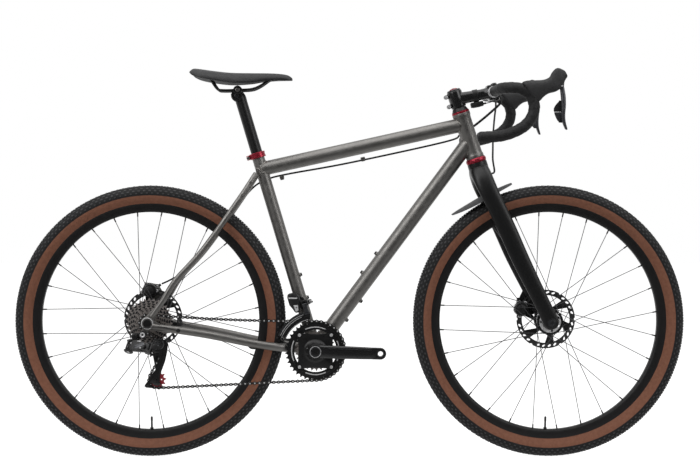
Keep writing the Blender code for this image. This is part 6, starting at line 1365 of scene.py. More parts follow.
@dataclass
class Frameset:
    """The welded titanium frame with its welds, stays, dropouts and bosses."""

    seat_tube_radius: float = 0.01675
    seat_tube_bore: float = 0.01575
    bore_depth: float = 0.330
    top_tube_radius: float = 0.0190
    down_tube_radius: float = 0.0200
    head_tube_radius: float = 0.0225
    shell_radius: float = 0.0225
    shell_width: float = 0.068
    bead: float = 0.0016
    dropout_inner: float = 0.071
    dropout_thickness: float = 0.007
    stay_steps: int = 8
    rack_steps: tuple[int, int] = (33, 37)
    grommet_step: int = 36

    def build(self) -> None:
        """Builds every piece that belongs to the frame's own body."""
        self._tubes()
        self._stays()
        self._fittings()
        self._collar()

    @staticmethod
    def reach(
        point: Vector, direction: Vector, host: Vector, host_direction: Vector, radius: float
    ) -> float:
        """How far a line runs before it meets a round tube.

        Args:
            point: A point of the line, outside the tube.
            direction: The line's direction towards the tube.
            host: A point of the tube's axis.
            host_direction: The tube's direction.
            radius: The tube's radius.

        Returns:
            The distance along the line to the nearer side of the tube.
        """
        offset = point - host
        offset -= host_direction * offset.dot(host_direction)
        flat = direction - host_direction * direction.dot(host_direction)
        a = flat.length_squared
        b = offset.dot(flat)
        c = offset.length_squared - radius**2
        return (-b - math.sqrt(max(b * b - a * c, 0.0))) / a

    def _coped(
        self,
        form: Form,
        start: Vector,
        end: Vector,
        radius: float,
        hosts: Sequence[tuple[Vector, Vector, float] | None],
    ) -> None:
        """Adds a tube whose ends follow the tubes that they meet, with a weld at each.

        Args:
            form: The frame's form.
            start: The tube's first end, on the first host's axis.
            end: Its other end.
            radius: Its radius.
            hosts: For each end a point, a direction and a radius of the tube met, or nothing.
        """
        along = (end - start).normalized()
        middle = (start + end) / 2
        place = aimed(middle, along, LATERAL)
        sides = 64
        shell = bmesh.new()
        bmesh.ops.create_circle(shell, cap_ends=False, radius=radius, segments=sides)
        bmesh.ops.transform(shell, matrix=place, verts=shell.verts[:])
        for heading_sign, host in ((-1, hosts[0]), (1, hosts[1])):
            ring = shell.edges[:] if heading_sign < 0 else self._middle_ring(shell, middle, along)
            grown = bmesh.ops.extrude_edge_only(shell, edges=ring)
            corners = corners_of(grown)
            curve = []
            for corner in corners:
                far = (start if heading_sign < 0 else end) - middle
                distance = far.length
                if host is not None:
                    distance = self.reach(
                        corner.co.copy(), along * heading_sign, host[0], host[1], host[2]
                    )
                inset = 0.0006 if host is not None else 0.0
                corner.co += along * heading_sign * (distance + inset)
                curve.append(corner.co - along * heading_sign * inset)
            if host is not None:
                self._weld(form, curve, place, host)
        close_ends(shell)
        form.add(shell, TITANIUM)

    @staticmethod
    def _middle_ring(
        shell: bmesh.types.BMesh, middle: Vector, along: Vector
    ) -> list[bmesh.types.BMEdge]:
        """The edges that still lie in a tube's middle plane."""
        return [
            edge
            for edge in shell.edges
            if all(abs((corner.co - middle).dot(along)) < 1e-6 for corner in edge.verts)
        ]

    def _weld(
        self,
        form: Form,
        curve: Sequence[Vector],
        place: Matrix,
        host: tuple[Vector, Vector, float],
    ) -> None:
        """Lays a rippled weld bead along the curve where two tubes meet.

        Args:
            form: The frame's form.
            curve: The curve's points in any order round the tube.
            place: The tube's place, which orders the points.
            host: A point, the direction and the radius of the tube met.
        """
        back = place.inverted()
        ordered = sorted(curve, key=lambda spot: math.atan2((back @ spot).y, (back @ spot).x))
        fine = [Vector(row) for row in eased(ordered, 3, closed=True)]
        count = len(fine)
        places = []
        for index, spot in enumerate(fine):
            along = (fine[(index + 1) % count] - fine[index - 1]).normalized()
            radial = spot - host[0]
            radial -= host[1] * radial.dot(host[1])
            ripple = self.bead * (1.10 if index % 4 < 2 else 0.92)
            seat = aimed(spot, along, radial)
            places.append(seat @ Matrix.Diagonal((ripple, ripple, 1.0, 1.0)))
        form.loft(places, WELD, 8, closed=True)

    def _tubes(self) -> None:
        """Joins the main triangle's tubes, the head tube and the shell."""
        form = Form()
        head = (on_steering(0), STEERING_DIRECTION, self.head_tube_radius)
        seat = (BOTTOM_BRACKET, SEAT_DIRECTION, self.seat_tube_radius)
        shell = (BOTTOM_BRACKET, LATERAL, self.shell_radius)
        profile = [
            (0.0211, 0.0070), (0.0240, 0.0070), (0.0243, 0.0076), (0.0243, 0.0140),
            (0.0237, 0.0160), (0.0226, 0.0190), (0.0225, 0.0240), (0.0225, 0.1170),
            (0.0228, 0.1215), (0.0238, 0.1240), (0.0243, 0.1262), (0.0243, 0.1326),
            (0.0240, 0.1333), (0.0211, 0.1333),
        ]
        form.turn(profile, steering_place(), TITANIUM, 64)
        length = SEAT_TUBE_LENGTH
        tube = [
            (0.0, 0.0), (self.seat_tube_radius, 0.0), (self.seat_tube_radius, length),
            (self.seat_tube_bore, length), (self.seat_tube_bore, length - self.bore_depth),
            (0.0, length - self.bore_depth),
        ]
        form.turn(tube, aimed(BOTTOM_BRACKET, SEAT_DIRECTION, LATERAL), TITANIUM, 64)
        half = self.shell_width / 2
        barrel = [
            (0.0186, -half), (0.0217, -half), (0.0225, -half + 0.0008), (0.0225, half - 0.0008),
            (0.0217, half), (0.0186, half),
        ]
        form.turn(barrel, aimed(BOTTOM_BRACKET, LATERAL, FORWARD), TITANIUM, 64)
        top_start = on_seat_tube(TOP_TUBE_ON_SEAT_TUBE)
        top_end = on_steering(TOP_TUBE_ON_STEERING)
        self._coped(form, top_start, top_end, self.top_tube_radius, (seat, head))
        down_end = on_steering(DOWN_TUBE_ON_STEERING)
        self._coped(form, BOTTOM_BRACKET, down_end, self.down_tube_radius, (shell, head))
        self._seat_weld(form)
        form.piece("frame_tubes", "frame", ["frame"], 40.0)

    def _seat_weld(self, form: Form) -> None:
        """Lays the weld between the seat tube's foot and the bottom bracket shell.

        Args:
            form: The frame's form.
        """
        place = aimed(BOTTOM_BRACKET + SEAT_DIRECTION * 0.1, SEAT_DIRECTION, LATERAL)
        host = (BOTTOM_BRACKET, LATERAL, self.shell_radius)
        curve = []
        for x, y in circle(self.seat_tube_radius, 64):
            spot = place @ Vector((x, y, 0))
            run = self.reach(spot, -SEAT_DIRECTION, *host)
            curve.append(spot - SEAT_DIRECTION * run)
        self._weld(form, curve, place, host)

    def _chainstay(self, side: Side) -> list[Row]:
        """Rows of place and radius along one chainstay."""
        out = side.value
        dropout = self.dropout_inner + self.dropout_thickness / 2
        rows = [
            (BOTTOM_BRACKET.x - 0.006, 0.0200, BOTTOM_BRACKET.z, 0.0118),
            (BOTTOM_BRACKET.x - 0.055, 0.0240, BOTTOM_BRACKET.z + 0.003, 0.0114),
            (BOTTOM_BRACKET.x - 0.110, 0.0415, BOTTOM_BRACKET.z + 0.010, 0.0109),
            (BOTTOM_BRACKET.x - 0.170, 0.0480, BOTTOM_BRACKET.z + 0.020, 0.0105),
            (REAR_AXLE.x + 0.150, 0.0600, REAR_AXLE.z - 0.0300, 0.0100),
            (REAR_AXLE.x + 0.012, dropout, REAR_AXLE.z - 0.0080, 0.0095),
        ]
        return [(x, out * y, z, radius) for x, y, z, radius in rows]

    def _seatstay(self, side: Side) -> list[Row]:
        """Rows of place and radius along one seatstay."""
        out = side.value
        dropout = self.dropout_inner + self.dropout_thickness / 2
        rows = [
            (REAR_AXLE.x + 0.0115, dropout, REAR_AXLE.z + 0.0185, 0.0072),
            (REAR_AXLE.x + 0.042, 0.0755, REAR_AXLE.z + 0.0616, 0.0075),
            (REAR_AXLE.x + 0.075, 0.0720, REAR_AXLE.z + 0.1143, 0.0077),
            (REAR_AXLE.x + 0.1458, 0.0580, REAR_AXLE.z + 0.1935, 0.0080),
            (REAR_AXLE.x + 0.2405, 0.0380, REAR_AXLE.z + 0.3260, 0.0083),
            (REAR_AXLE.x + 0.2860, 0.0170, REAR_AXLE.z + 0.3960, 0.0085),
        ]
        return [(x, out * y, z, radius) for x, y, z, radius in rows]

    def _stays(self) -> None:
        """Bends the four stays, sets their dropouts and bridges between them."""
        form = Form()
        for side in Side:
            for rows, squash in ((self._chainstay(side), 0.8), (self._seatstay(side), 1.0)):
                fine = eased(rows, self.stay_steps)
                path = [Vector(row[:3]) for row in fine]
                sizes = [(row[3] * squash, row[3]) for row in fine]
                form.loft(stations(path, sizes, LATERAL), TITANIUM, 24)
            self._dropout(form, side)
            self._stay_welds(form, side)
        bridge = REAR_AXLE + Vector((0.2405, 0, 0.3260))
        form.bar(bridge - LATERAL * 0.036, bridge + LATERAL * 0.036, 0.0065, TITANIUM, 24)
        low = BOTTOM_BRACKET + Vector((-0.058, 0, 0.003))
        form.bar(low - LATERAL * 0.022, low + LATERAL * 0.022, 0.0065, TITANIUM, 24)
        form.piece("frame_stays", "frame", sharp=40.0)

    def _stay_welds(self, form: Form, side: Side) -> None:
        """Lays the welds at a side's stays and bridges.

        Args:
            form: The stays' form.
            side: The side.
        """
        rows = self._seatstay(side)
        start, end = Vector(rows[-2][:3]), Vector(rows[-1][:3])
        host = (BOTTOM_BRACKET, SEAT_DIRECTION, self.seat_tube_radius)
        self._ring_weld(form, start, end, rows[-1][3], host)
        rows = self._chainstay(side)
        start, end = Vector(rows[1][:3]), Vector(rows[0][:3])
        host = (BOTTOM_BRACKET, LATERAL, self.shell_radius)
        self._ring_weld(form, start, end, rows[0][3] * 0.9, host)

    def _ring_weld(
        self,
        form: Form,
        start: Vector,
        end: Vector,
        radius: float,
        host: tuple[Vector, Vector, float],
    ) -> None:
        """Lays a weld where a straight end runs into a host tube.

        Args:
            form: The form that takes it.
            start: A point up the end.
            end: The end's point.
            radius: The end's radius.
            host: A point, the direction and the radius of the tube met.
        """
        along = (end - start).normalized()
        place = aimed(start, along, LATERAL)
        curve = []
        for x, y in circle(radius, 40):
            spot = place @ Vector((x, y, 0))
            run = min(self.reach(spot, along, *host), (end - start).length * 1.15)
            curve.append(spot + along * run)
        self._weld(form, curve, place, host)

    def _dropout(self, form: Form, side: Side) -> None:
        """Cuts one dropout plate with its boss round the axle.

        Args:
            form: The stays' form.
            side: The side.
        """
        x, z = REAR_AXLE.x, REAR_AXLE.z
        back = [polar(0.0160, math.radians(angle), (x, z)) for angle in range(120, 226, 15)]
        front = [(x + 0.034, z - 0.016), (x + 0.036, z - 0.002)]
        corner = [(x + 0.017, z + 0.007)]
        top = [(x + 0.029, z + 0.032), (x + 0.017, z + 0.040)]
        if side is Side.RIGHT:
            bolt_x, bolt_z = HANGER_BOLT
            foot = [
                (bolt_x - 0.0085, bolt_z + 0.003), (bolt_x - 0.0078, bolt_z - 0.004),
                (bolt_x - 0.004, bolt_z - 0.0083), (bolt_x + 0.004, bolt_z - 0.0083),
                (bolt_x + 0.009, bolt_z - 0.002), (bolt_x + 0.011, bolt_z + 0.006),
                (x + 0.010, z - 0.0145),
            ]
            outline = [*corner, *top, *back, *foot, *front]
        else:
            mount = [
                (x + 0.012, z + 0.092), (x - 0.026, z + 0.098), (x - 0.030, z + 0.070),
                (x - 0.004, z + 0.048),
            ]
            foot = [(x - 0.005, z - 0.0155), (x + 0.010, z - 0.0145)]
            outline = [*corner, top[0], (x + 0.030, z + 0.060), *mount, *back, *foot, *front]
        ends = sorted((-side.value * self.dropout_inner, -side.value * 0.0778))
        hole = circle(0.0066, 24, (x, z))
        form.plate(outline, *ends, drive_side((0, 0, 0)), TITANIUM, [hole], 0.0012)
        face = REAR_AXLE + LATERAL * side.value * 0.0770
        ring = [(0.0136, 0.0), (0.0162, 0.0), (0.0162, 0.0012), (0.0154, 0.0022), (0.0136, 0.0022)]
        form.turn(ring, aimed(face, LATERAL * side.value, FORWARD), SATIN_SILVER, 48)

    def _boss_places(self) -> list[Matrix]:
        """The bottle bosses' seats on the tubes, with local Z outwards."""
        along = (on_steering(DOWN_TUBE_ON_STEERING) - BOTTOM_BRACKET).normalized()
        upward = Vector((-along.z, 0, along.x))
        ahead = Vector((SEAT_DIRECTION.z, 0, -SEAT_DIRECTION.x))
        found = []
        for distance, sign in ((0.240, 1), (0.304, 1), (0.112, -1), (0.176, -1)):
            seat = BOTTOM_BRACKET + along * distance + upward * sign * self.down_tube_radius
            found.append(aimed(seat, upward * sign, LATERAL))
        for distance in (0.139, 0.203):
            seat = on_seat_tube(distance) + ahead * self.seat_tube_radius
            found.append(aimed(seat, ahead, LATERAL))
        return found

    def _fittings(self) -> None:
        """Adds bosses with their bolts, hose guides, rack eyes and the stay's grommet."""
        form = Form()
        boss = [
            (0.0, -0.002), (0.0062, -0.002), (0.0062, 0.0008), (0.0055, 0.0018),
            (0.0052, 0.0030), (0.0, 0.0030),
        ]
        for seat in self._boss_places():
            form.turn(boss, seat, TITANIUM, 24)
            form.bolt(raised(seat, 0.0030), 0.0046, 0.0034, BLACK)
        guide = [
            (0.0026, -0.006), (0.0042, -0.006), (0.0046, 0.0), (0.0042, 0.006), (0.0026, 0.006),
        ]
        direction = on_steering(TOP_TUBE_ON_STEERING) - on_seat_tube(TOP_TUBE_ON_SEAT_TUBE)
        for x, z in ((-0.183, 0.7655), (0.037, 0.8160)):
            seat = aimed((x, 0.0230, z - 0.0135), direction.normalized(), LATERAL)
            form.turn(guide, seat, TITANIUM, 20)
            foot = seat @ Matrix.Translation((-0.002, -0.0045, 0))
            form.block(foot, (0.004, 0.006, 0.010), TITANIUM)
        rack_eye = [(0.0, -0.001), (0.0040, -0.001), (0.0036, 0.0016), (0.0, 0.0016)]
        for side in Side:
            out = LATERAL * side.value
            fine = eased(self._seatstay(side), self.stay_steps)
            for x, y, z, radius in (fine[step] for step in self.rack_steps):
                seat = aimed(Vector((x, y, z)) + out * radius * 0.95, out, FORWARD)
                form.turn(rack_eye, seat, TITANIUM, 20)
                form.bolt(raised(seat, 0.0014), 0.0026, 0.0014, SILVER)
        fine = eased(self._chainstay(Side.RIGHT), self.stay_steps)
        x, y, z, radius = fine[self.grommet_step]
        grommet = [
            (0.0, -0.002), (0.0050, -0.002), (0.0056, 0.0008), (0.0030, 0.0020), (0.0, 0.0020),
        ]
        seat = drive_side(Vector((x, y, z)) - LATERAL * radius * 0.75)
        form.turn(grommet, seat, PLASTIC, 20)
        form.piece("frame_fittings", "frame")

    def _collar(self) -> None:
        """Turns the red seat collar with its two ears and the bolt through them."""
        form = Form()
        place = aimed(SEAT_TUBE_TOP, SEAT_DIRECTION, FORWARD)
        profile = [
            (0.01685, -0.0130), (0.0210, -0.0130), (0.0216, -0.0124), (0.0216, -0.0095),
            (0.0209, -0.0088), (0.0209, -0.0022), (0.0216, -0.0014), (0.0216, 0.0012),
            (0.0209, 0.0020), (0.0158, 0.0020), (0.0158, 0.0003), (0.01685, 0.0003),
        ]
        form.turn(profile, place, RED, 64)
        for side in Side:
            ear = place @ Matrix.Translation((-0.0245, side.value * 0.0036, -0.0055))
            form.block(ear, (0.0115, 0.0056, 0.0122), RED, 0.0016)
        head = Matrix.Translation((-0.0262, -0.0064, -0.0055))
        bolt = place @ head @ drive_side((0, 0, 0))
        form.bolt(bolt, 0.0044, 0.0038, SILVER)
        form.bar(
            place @ Vector((-0.0262, -0.006, -0.0055)), place @ Vector((-0.0262, 0.0085, -0.0055)),
            0.0026, STEEL, 16, 0.0004,
        )
        form.piece("seat_collar_clamp", "frame", ["seat_collar"])


# Fork, headset and stem


@dataclass
class Fork:
    """The lacquered fork, its crown, its brake mount and the little guard behind the crown."""

    leg: tuple[Row, ...] = (
        # above the crown race, ahead, to the left, half depth, half width
        (-FORK_LENGTH - 0.0185, 0.0510, 0.0570, 0.0030, 0.0022),
        (-FORK_LENGTH - 0.0165, 0.0510, 0.0570, 0.0105, 0.0050),
        (-FORK_LENGTH - 0.0110, 0.0512, 0.0570, 0.0165, 0.0064),
        (-FORK_LENGTH - 0.0040, 0.0514, 0.0570, 0.0198, 0.0068),
        (-FORK_LENGTH + 0.0080, 0.0510, 0.0570, 0.0212, 0.0070),
        (-FORK_LENGTH + 0.0670, 0.0425, 0.0585, 0.0210, 0.0083),
        (-FORK_LENGTH + 0.1840, 0.0255, 0.0585, 0.0235, 0.0093),
        (-FORK_LENGTH + 0.2710, 0.0165, 0.0560, 0.0243, 0.0100),
        (-0.1130, 0.0054, 0.0500, 0.0243, 0.0108),
        (-0.0720, 0.0005, 0.0435, 0.0258, 0.0125),
        (-0.0430, -0.0010, 0.0270, 0.0267, 0.0185),
        (-0.0310, -0.0010, 0.0, 0.0267, 0.0250),
    )
    guard_radius: float = 0.374

    def build(self) -> None:
        """Builds the fork and the guard."""
        self._legs()
        self._guard()

    def _legs(self) -> None:
        """Sweeps both legs and the crown in one, and adds the mount and the axle's end."""
        form = Form()
        rows = [(a, b, -c, d, e) for a, b, c, d, e in self.leg] + list(self.leg[-2::-1])
        fine = eased(rows, 5)
        path = [on_steering(*row[:3]) for row in fine]
        sizes = [(max(row[3], 0.001), max(row[4], 0.001)) for row in fine]
        form.loft(stations(path, sizes, STEERING_FORWARD), CARBON, 36, power=0.85)
        crown = [
            (0.0, -0.034), (0.0262, -0.034), (0.0268, -0.020), (0.0266, -0.008), (0.0262, -0.0058),
            (0.0143, -0.0055), (0.0143, 0.190), (0.0120, 0.190), (0.0120, 0.130), (0.0, 0.130),
        ]
        form.turn(crown, steering_place(), CARBON, 48)
        bracket = [
            (0.505, 0.444), (0.492, 0.449), (0.478, 0.444), (0.469, 0.426), (0.462, 0.410),
            (0.457, 0.392), (0.460, 0.376), (0.480, 0.371), (0.505, 0.376), (0.520, 0.385),
        ]
        form.plate(bracket, -0.0615, -0.0562, drive_side((0, 0, 0)), CARBON, (), 0.0010)
        seat = drive_side(FRONT_AXLE - LATERAL * 0.0634)
        disc = [(0.0, 0.0), (0.0122, 0.0), (0.0122, 0.0006), (0.0112, 0.0012), (0.0, 0.0012)]
        form.turn(disc, seat, BLACK, 40)
        form.turn(hoop(0.0086, 0.0104, 0.0, 0.0020), seat, DARK_GREY, 40)
        form.bolt(raised(seat, 0.0010), 0.0082, 0.0022, DARK_GREY, 0.52)
        form.piece("fork_blades", "steering", ["fork", "front_thru_axle"], 40.0)

    def _guard(self) -> None:
        """Bends the short flexible guard under the crown."""
        form = Form()
        rows = (
            # angle round the front wheel, half width
            (132.3, 0.010), (131.0, 0.017), (128.0, 0.027), (121.5, 0.0368), (117.0, 0.0368),
            (111.0, 0.027), (106.5, 0.019), (105.0, 0.013),
        )
        section = [(share / 4, 0.006 - 0.0115 * (share / 4) ** 2) for share in range(-4, 5)]
        outline = section + [(x, y - 0.0015) for x, y in section[::-1]]
        middle, reach, widest = 119.5, 13.5, 0.0368
        places = []
        for angle, half_width in eased(rows, 4):
            turn = math.radians(angle)
            outward = Vector((math.cos(turn), 0, math.sin(turn)))
            rise = 0.012 if angle > middle else 0.0065
            distance = self.guard_radius + 0.0015 + rise * ((angle - middle) / reach) ** 2
            along = outward.cross(LATERAL)
            sag = outward * (half_width / widest)
            seat = Matrix((LATERAL * half_width, sag, along)).transposed().to_4x4()
            places.append(Matrix.Translation(FRONT_AXLE + outward * distance) @ seat)
        form.loft(places, GREY_RESIN, outline=outline)
        form.piece("crown_guard", "steering", ["fork_mudguard"], 50.0)


@dataclass
class Headset:
    """The two red cups, the lower one notched, and the dark cone under the stem."""

    bore: float = 0.0149

    def build(self) -> None:
        """Turns the cups and the cone."""
        form = Form()
        lower = [
            (self.bore, -0.0052), (0.0256, -0.0052), (0.0268, -0.0046), (0.0270, -0.0034),
            (0.0256, -0.0026), (0.0256, 0.0030), (0.0270, 0.0036), (0.0266, 0.0050),
            (0.0250, 0.0067), (0.0207, 0.0067), (0.0207, 0.0185), (self.bore, 0.0185),
        ]
        form.turn(lower, steering_place(), RED, 64)
        notched = []
        notch = math.tau / 14
        for index in range(14):
            start = math.tau * index / 14
            for share, radius in ((0.0, 0.0262), (0.14, 0.0275), (0.5, 0.0276), (0.86, 0.0275)):
                notched.append(polar(radius, start + share * notch))
        form.plate(notched, -0.0027, 0.0031, steering_place(), RED, [circle(0.0250, 48)], 0.0005)
        form.piece("lower_cup", "frame", ["headset_lower_cup"], 30.0)
        form = Form()
        upper = [
            (self.bore, 0.1216), (0.0207, 0.1216), (0.0207, 0.1336), (0.0238, 0.1336),
            (0.0243, 0.1342), (0.0243, 0.1360), (0.0236, 0.1366), (0.0236, 0.1372),
            (0.0243, 0.1378), (0.0240, 0.1386), (0.0228, 0.1391), (self.bore, 0.1391),
        ]
        form.turn(upper, steering_place(), RED, 64)
        form.piece("upper_cup", "frame", ["headset_upper_cup"], 30.0)
        form = Form()
        cone = [
            (self.bore, 0.1394), (0.0229, 0.1394), (0.0229, 0.1402), (0.0218, 0.1412),
            (0.0194, 0.1466), (0.0186, 0.1480), (0.0186, 0.1498), (self.bore, 0.1498),
        ]
        form.turn(cone, steering_place(), PLASTIC, 64)
        form.piece("headset_cone", "steering", ["headset_cover"], 30.0)


@dataclass
class Stem:
    """The stem with its bolts, its faceplate, its cap and the junction box below."""

    height: float = STEM_CLAMP_HEIGHT

    def build(self) -> None:
        """Builds the stem and what is bolted to it."""
        self._body()
        self._faceplate()
        self._cap()
        self._box()

    def _body(self) -> None:
        """Forges the clamp, the body, the jaws and the bolted lugs, and straps the body."""
        form = Form()
        place = steering_place(STEM_BASE)
        clamp = [
            (0.0146, 0.0), (0.0188, 0.0), (0.0200, 0.0010), (0.0205, 0.0030), (0.0205, 0.0430),
            (0.0200, 0.0450), (0.0188, 0.0460), (0.0146, 0.0460),
        ]
        form.turn(clamp, place, GLOSS_BLACK, 56)
        rows = (
            (0.0080, 0.0170, 0.0180), (0.0300, 0.0158, 0.0165), (0.0550, 0.0146, 0.0152),
            (0.0720, 0.0146, 0.0158), (0.0840, 0.0160, 0.0200), (0.0900, 0.0180, 0.0222),
        )
        fine = eased(rows, 5)
        path = [STEM_START + STEM_DIRECTION * row[0] for row in fine]
        sizes = [(row[2], row[1]) for row in fine]
        form.loft(stations(path, sizes, LATERAL), GLOSS_BLACK, 32, power=0.72)
        for sign in (1, -1):
            jaw = STEM_START + STEM_DIRECTION * 0.0920 + STEM_UPWARD * sign * 0.0165
            grip = aimed(jaw, STEM_DIRECTION, LATERAL)
            form.block(grip, (0.0440, 0.0080, 0.0140), GLOSS_BLACK, 0.0026)
        for height in (0.0095, 0.0365):
            middle = place @ Vector((-0.0250, 0.0, height))
            across = LATERAL * 0.0135
            form.bar(middle - across, middle + across, 0.0058, GLOSS_BLACK, 32, 0.0014)
            web = place @ Matrix.Translation((-0.0205, 0.0, height))
            form.block(web, (0.0100, 0.0200, 0.0100), GLOSS_BLACK, 0.0020)
            seat = drive_side(middle - LATERAL * 0.0131)
            form.bolt(seat, 0.0040, 0.0016, SATIN_SILVER, 0.45)
        strap = BAR_CENTRE - STEM_DIRECTION * 0.0480
        band = aimed(strap, STEM_DIRECTION, LATERAL)
        outline = squared_oval(0.0163, 0.0168, 0.72, 32)
        form.plate(outline, -0.0070, 0.0070, band, HOSE_RUBBER, (), 0.0008)
        form.piece("stem_body", "steering", ["stem"])

    def _faceplate(self) -> None:
        """Forges the faceplate, with four bolts through it."""
        form = Form()
        outer = [polar(0.0208, math.radians(angle)) for angle in range(-72, 73, 8)]
        inner = [polar(0.0164, math.radians(angle)) for angle in range(80, -81, -8)]
        tip = [(0.0035, 0.0196), (0.0018, 0.0188)]
        foot = [(0.0018, -0.0188), (0.0035, -0.0196)]
        outline = outer + tip + inner + foot
        place = aimed(BAR_CENTRE, LATERAL, STEM_DIRECTION)
        for low, high in ((-0.0220, -0.0070), (0.0070, 0.0220)):
            form.plate(outline, low, high, place, GLOSS_BLACK, (), 0.0008)
        form.plate(outline[4:15] + inner[4:-4], -0.0080, 0.0080, place, GLOSS_BLACK, (), 0.0006)
        ahead = STEM_DIRECTION
        for sign in (1, -1):
            for out in (-0.0145, 0.0145):
                seat = BAR_CENTRE + ahead * 0.0040 + STEM_UPWARD * sign * 0.0198
                start = seat + LATERAL * out
                form.bar(start - ahead * 0.0035, start + ahead * 0.0062, 0.0046, BLACK, 24, 0.0008)
                form.bolt(aimed(start + ahead * 0.0060, ahead, LATERAL), 0.0040, 0.0028, STEEL)
        form.piece("faceplate", "steering", ["stem_faceplate"])

    def _cap(self) -> None:
        """Turns the cap, with its small red dome and its bolt."""
        form = Form()
        base = STEM_BASE + self.height + CLEARANCE
        profile = [
            (0.0, -0.0060), (0.0060, -0.0060), (0.0060, 0.0), (0.0183, 0.0), (0.0187, 0.0006),
            (0.0185, 0.0022), (0.0165, 0.0040), (0.0110, 0.0046), (0.0050, 0.0046), (0.0, 0.0046),
        ]
        form.turn(profile, steering_place(base), GLOSS_BLACK, 56)
        dome = [
            (0.0, 0.0034), (0.0112, 0.0034), (0.0112, 0.0050), (0.0085, 0.0066),
            (0.0040, 0.0072), (0.0, 0.0073),
        ]
        form.turn(dome, steering_place(base), RED, 48)
        form.bolt(steering_place(base + 0.0070), 0.0030, 0.0010, STEEL)
        form.piece("stem_cap", "steering", ["top_cap"])

    def _box(self) -> None:
        """Moulds the junction box, strapped under the stem, with its two plugs."""
        form = Form()
        centre = STEM_START + STEM_DIRECTION * 0.052 - STEM_UPWARD * 0.0239
        place = aimed(centre, STEM_UPWARD, STEM_DIRECTION)
        form.block(place, (0.0340, 0.0220, 0.0140), PLASTIC, 0.0028)
        lid = place @ Matrix.Translation((-0.002, 0, -0.0070))
        form.block(lid, (0.020, 0.012, 0.0018), DARK_GREY)
        for out in (-0.005, 0.005):
            plug = place @ Vector((0.0165, out, -0.001))
            form.bar(plug, plug + STEM_DIRECTION * 0.008, 0.0024, PLASTIC, 16, 0.0006)
        form.piece("junction_case", "steering", ["junction_box"])


# Handlebar and controls


@dataclass
class Handlebar:
    """The drop bar, its wrapped tape and its end plugs."""

    clamp_radius: float = 0.0159
    radius: float = 0.0119
    tape: float = 0.0028
    wrap_pitch: float = 0.021
    wrap_swell: float = 0.055
    wrap_rise: float = 0.85
    wrap_fall: float = 0.15
    plug_rounding: float = 0.009
    bends: tuple[Row, ...] = (
        # ahead of the clamp, out to the side, above the clamp
        (0.0000, 0.0520, 0.0000), (0.0000, 0.1040, 0.0000), (0.0000, 0.1560, 0.0000),
        (0.0050, 0.1860, 0.0000), (0.0220, 0.2065, -0.0002), (0.0450, 0.2135, -0.0036),
        (0.0680, 0.2145, -0.0180), (0.0780, 0.2160, -0.0420), (0.0760, 0.2185, -0.0660),
        (0.0620, 0.2210, -0.0900), (0.0360, 0.2235, -0.1090), (-0.0060, 0.2250, -0.1235),
        (-0.0640, 0.2250, -0.1275),
    )

    def path(self, side: Side, steps: int) -> list[Vector]:
        """The bar's centre line on one side, from the tape's start to the drop's end."""
        rows = [(x, side.value * y, z) for x, y, z in self.bends]
        return [BAR_CENTRE + spot for spot in eased_path(rows, steps)]

    def build(self) -> None:
        """Bends the bar and wraps both sides."""
        form = Form()
        bare = [
            (-0.056, self.radius), (-0.046, self.radius), (-0.038, self.clamp_radius - 0.0012),
            (-0.032, self.clamp_radius), (0.032, self.clamp_radius),
            (0.038, self.clamp_radius - 0.0012), (0.046, self.radius), (0.056, self.radius),
        ]
        profile = [(0.0, bare[0][0])] + [(radius, y) for y, radius in bare]
        profile.append((0.0, bare[-1][0]))
        form.turn(profile, aimed(BAR_CENTRE, LATERAL, FORWARD), SATIN_SILVER, 48)
        form.piece("bar_middle", "steering", ["handlebar"])
        for side in Side:
            self._wrap(side)

    def _wrap(self, side: Side) -> None:
        """Wraps one side in tape, with a spiral overlap, a finishing band and a plug.

        Args:
            side: The side.
        """
        form = Form()
        path = self.path(side, 14)
        travelled = [0.0]
        for first, second in zip(path, path[1:]):
            travelled.append(travelled[-1] + (second - first).length)
        size = self.radius + self.tape - 0.0004
        places = stations(path, (size, size), UPWARD, carried=True)
        backs = [place.inverted() for place in places]

        def overlap(corner: bmesh.types.BMVert, number: int) -> None:
            """Swells the tape towards each overlap, and rounds it off at the plug."""
            local = backs[number] @ corner.co
            turn = math.atan2(local.y, local.x) / math.tau
            share = (travelled[number] / self.wrap_pitch + side.value * turn) % 1.0
            ridge = min(share / self.wrap_rise, (1 - share) / self.wrap_fall)
            swell = 1.0 + self.wrap_swell * ridge - 0.012
            left = travelled[-1] - travelled[number]
            short = max(0.0, 1.0 - left / self.plug_rounding)
            swell *= 0.80 + 0.20 * math.sqrt(1.0 - short * short)
            corner.co = places[number] @ Vector((local.x * swell, local.y * swell, local.z))

        form.loft(places, TAPE, 28, shape=overlap)
        start = path[0]
        out = LATERAL * side.value
        band = [
            (0.0142, 0.0), (0.0149, 0.0), (0.0152, 0.0006), (0.0152, 0.0030), (0.0142, 0.0030),
        ]
        form.turn(band, aimed(start - out * 0.003, out, UPWARD), TAPE_END, 40)
        tail = heading(path, len(path) - 1)
        plug = [
            (0.0, 0.0), (0.0117, 0.0), (0.0121, 0.0008), (0.0112, 0.0030), (0.0080, 0.0046),
            (0.0, 0.0052),
        ]
        form.turn(plug, aimed(path[-1] - tail * 0.001, tail, UPWARD), PLASTIC, 40)
        form.piece(f"bar_wrap_{side.label}", "steering", [f"bar_tape_{side.label}"], 60.0)


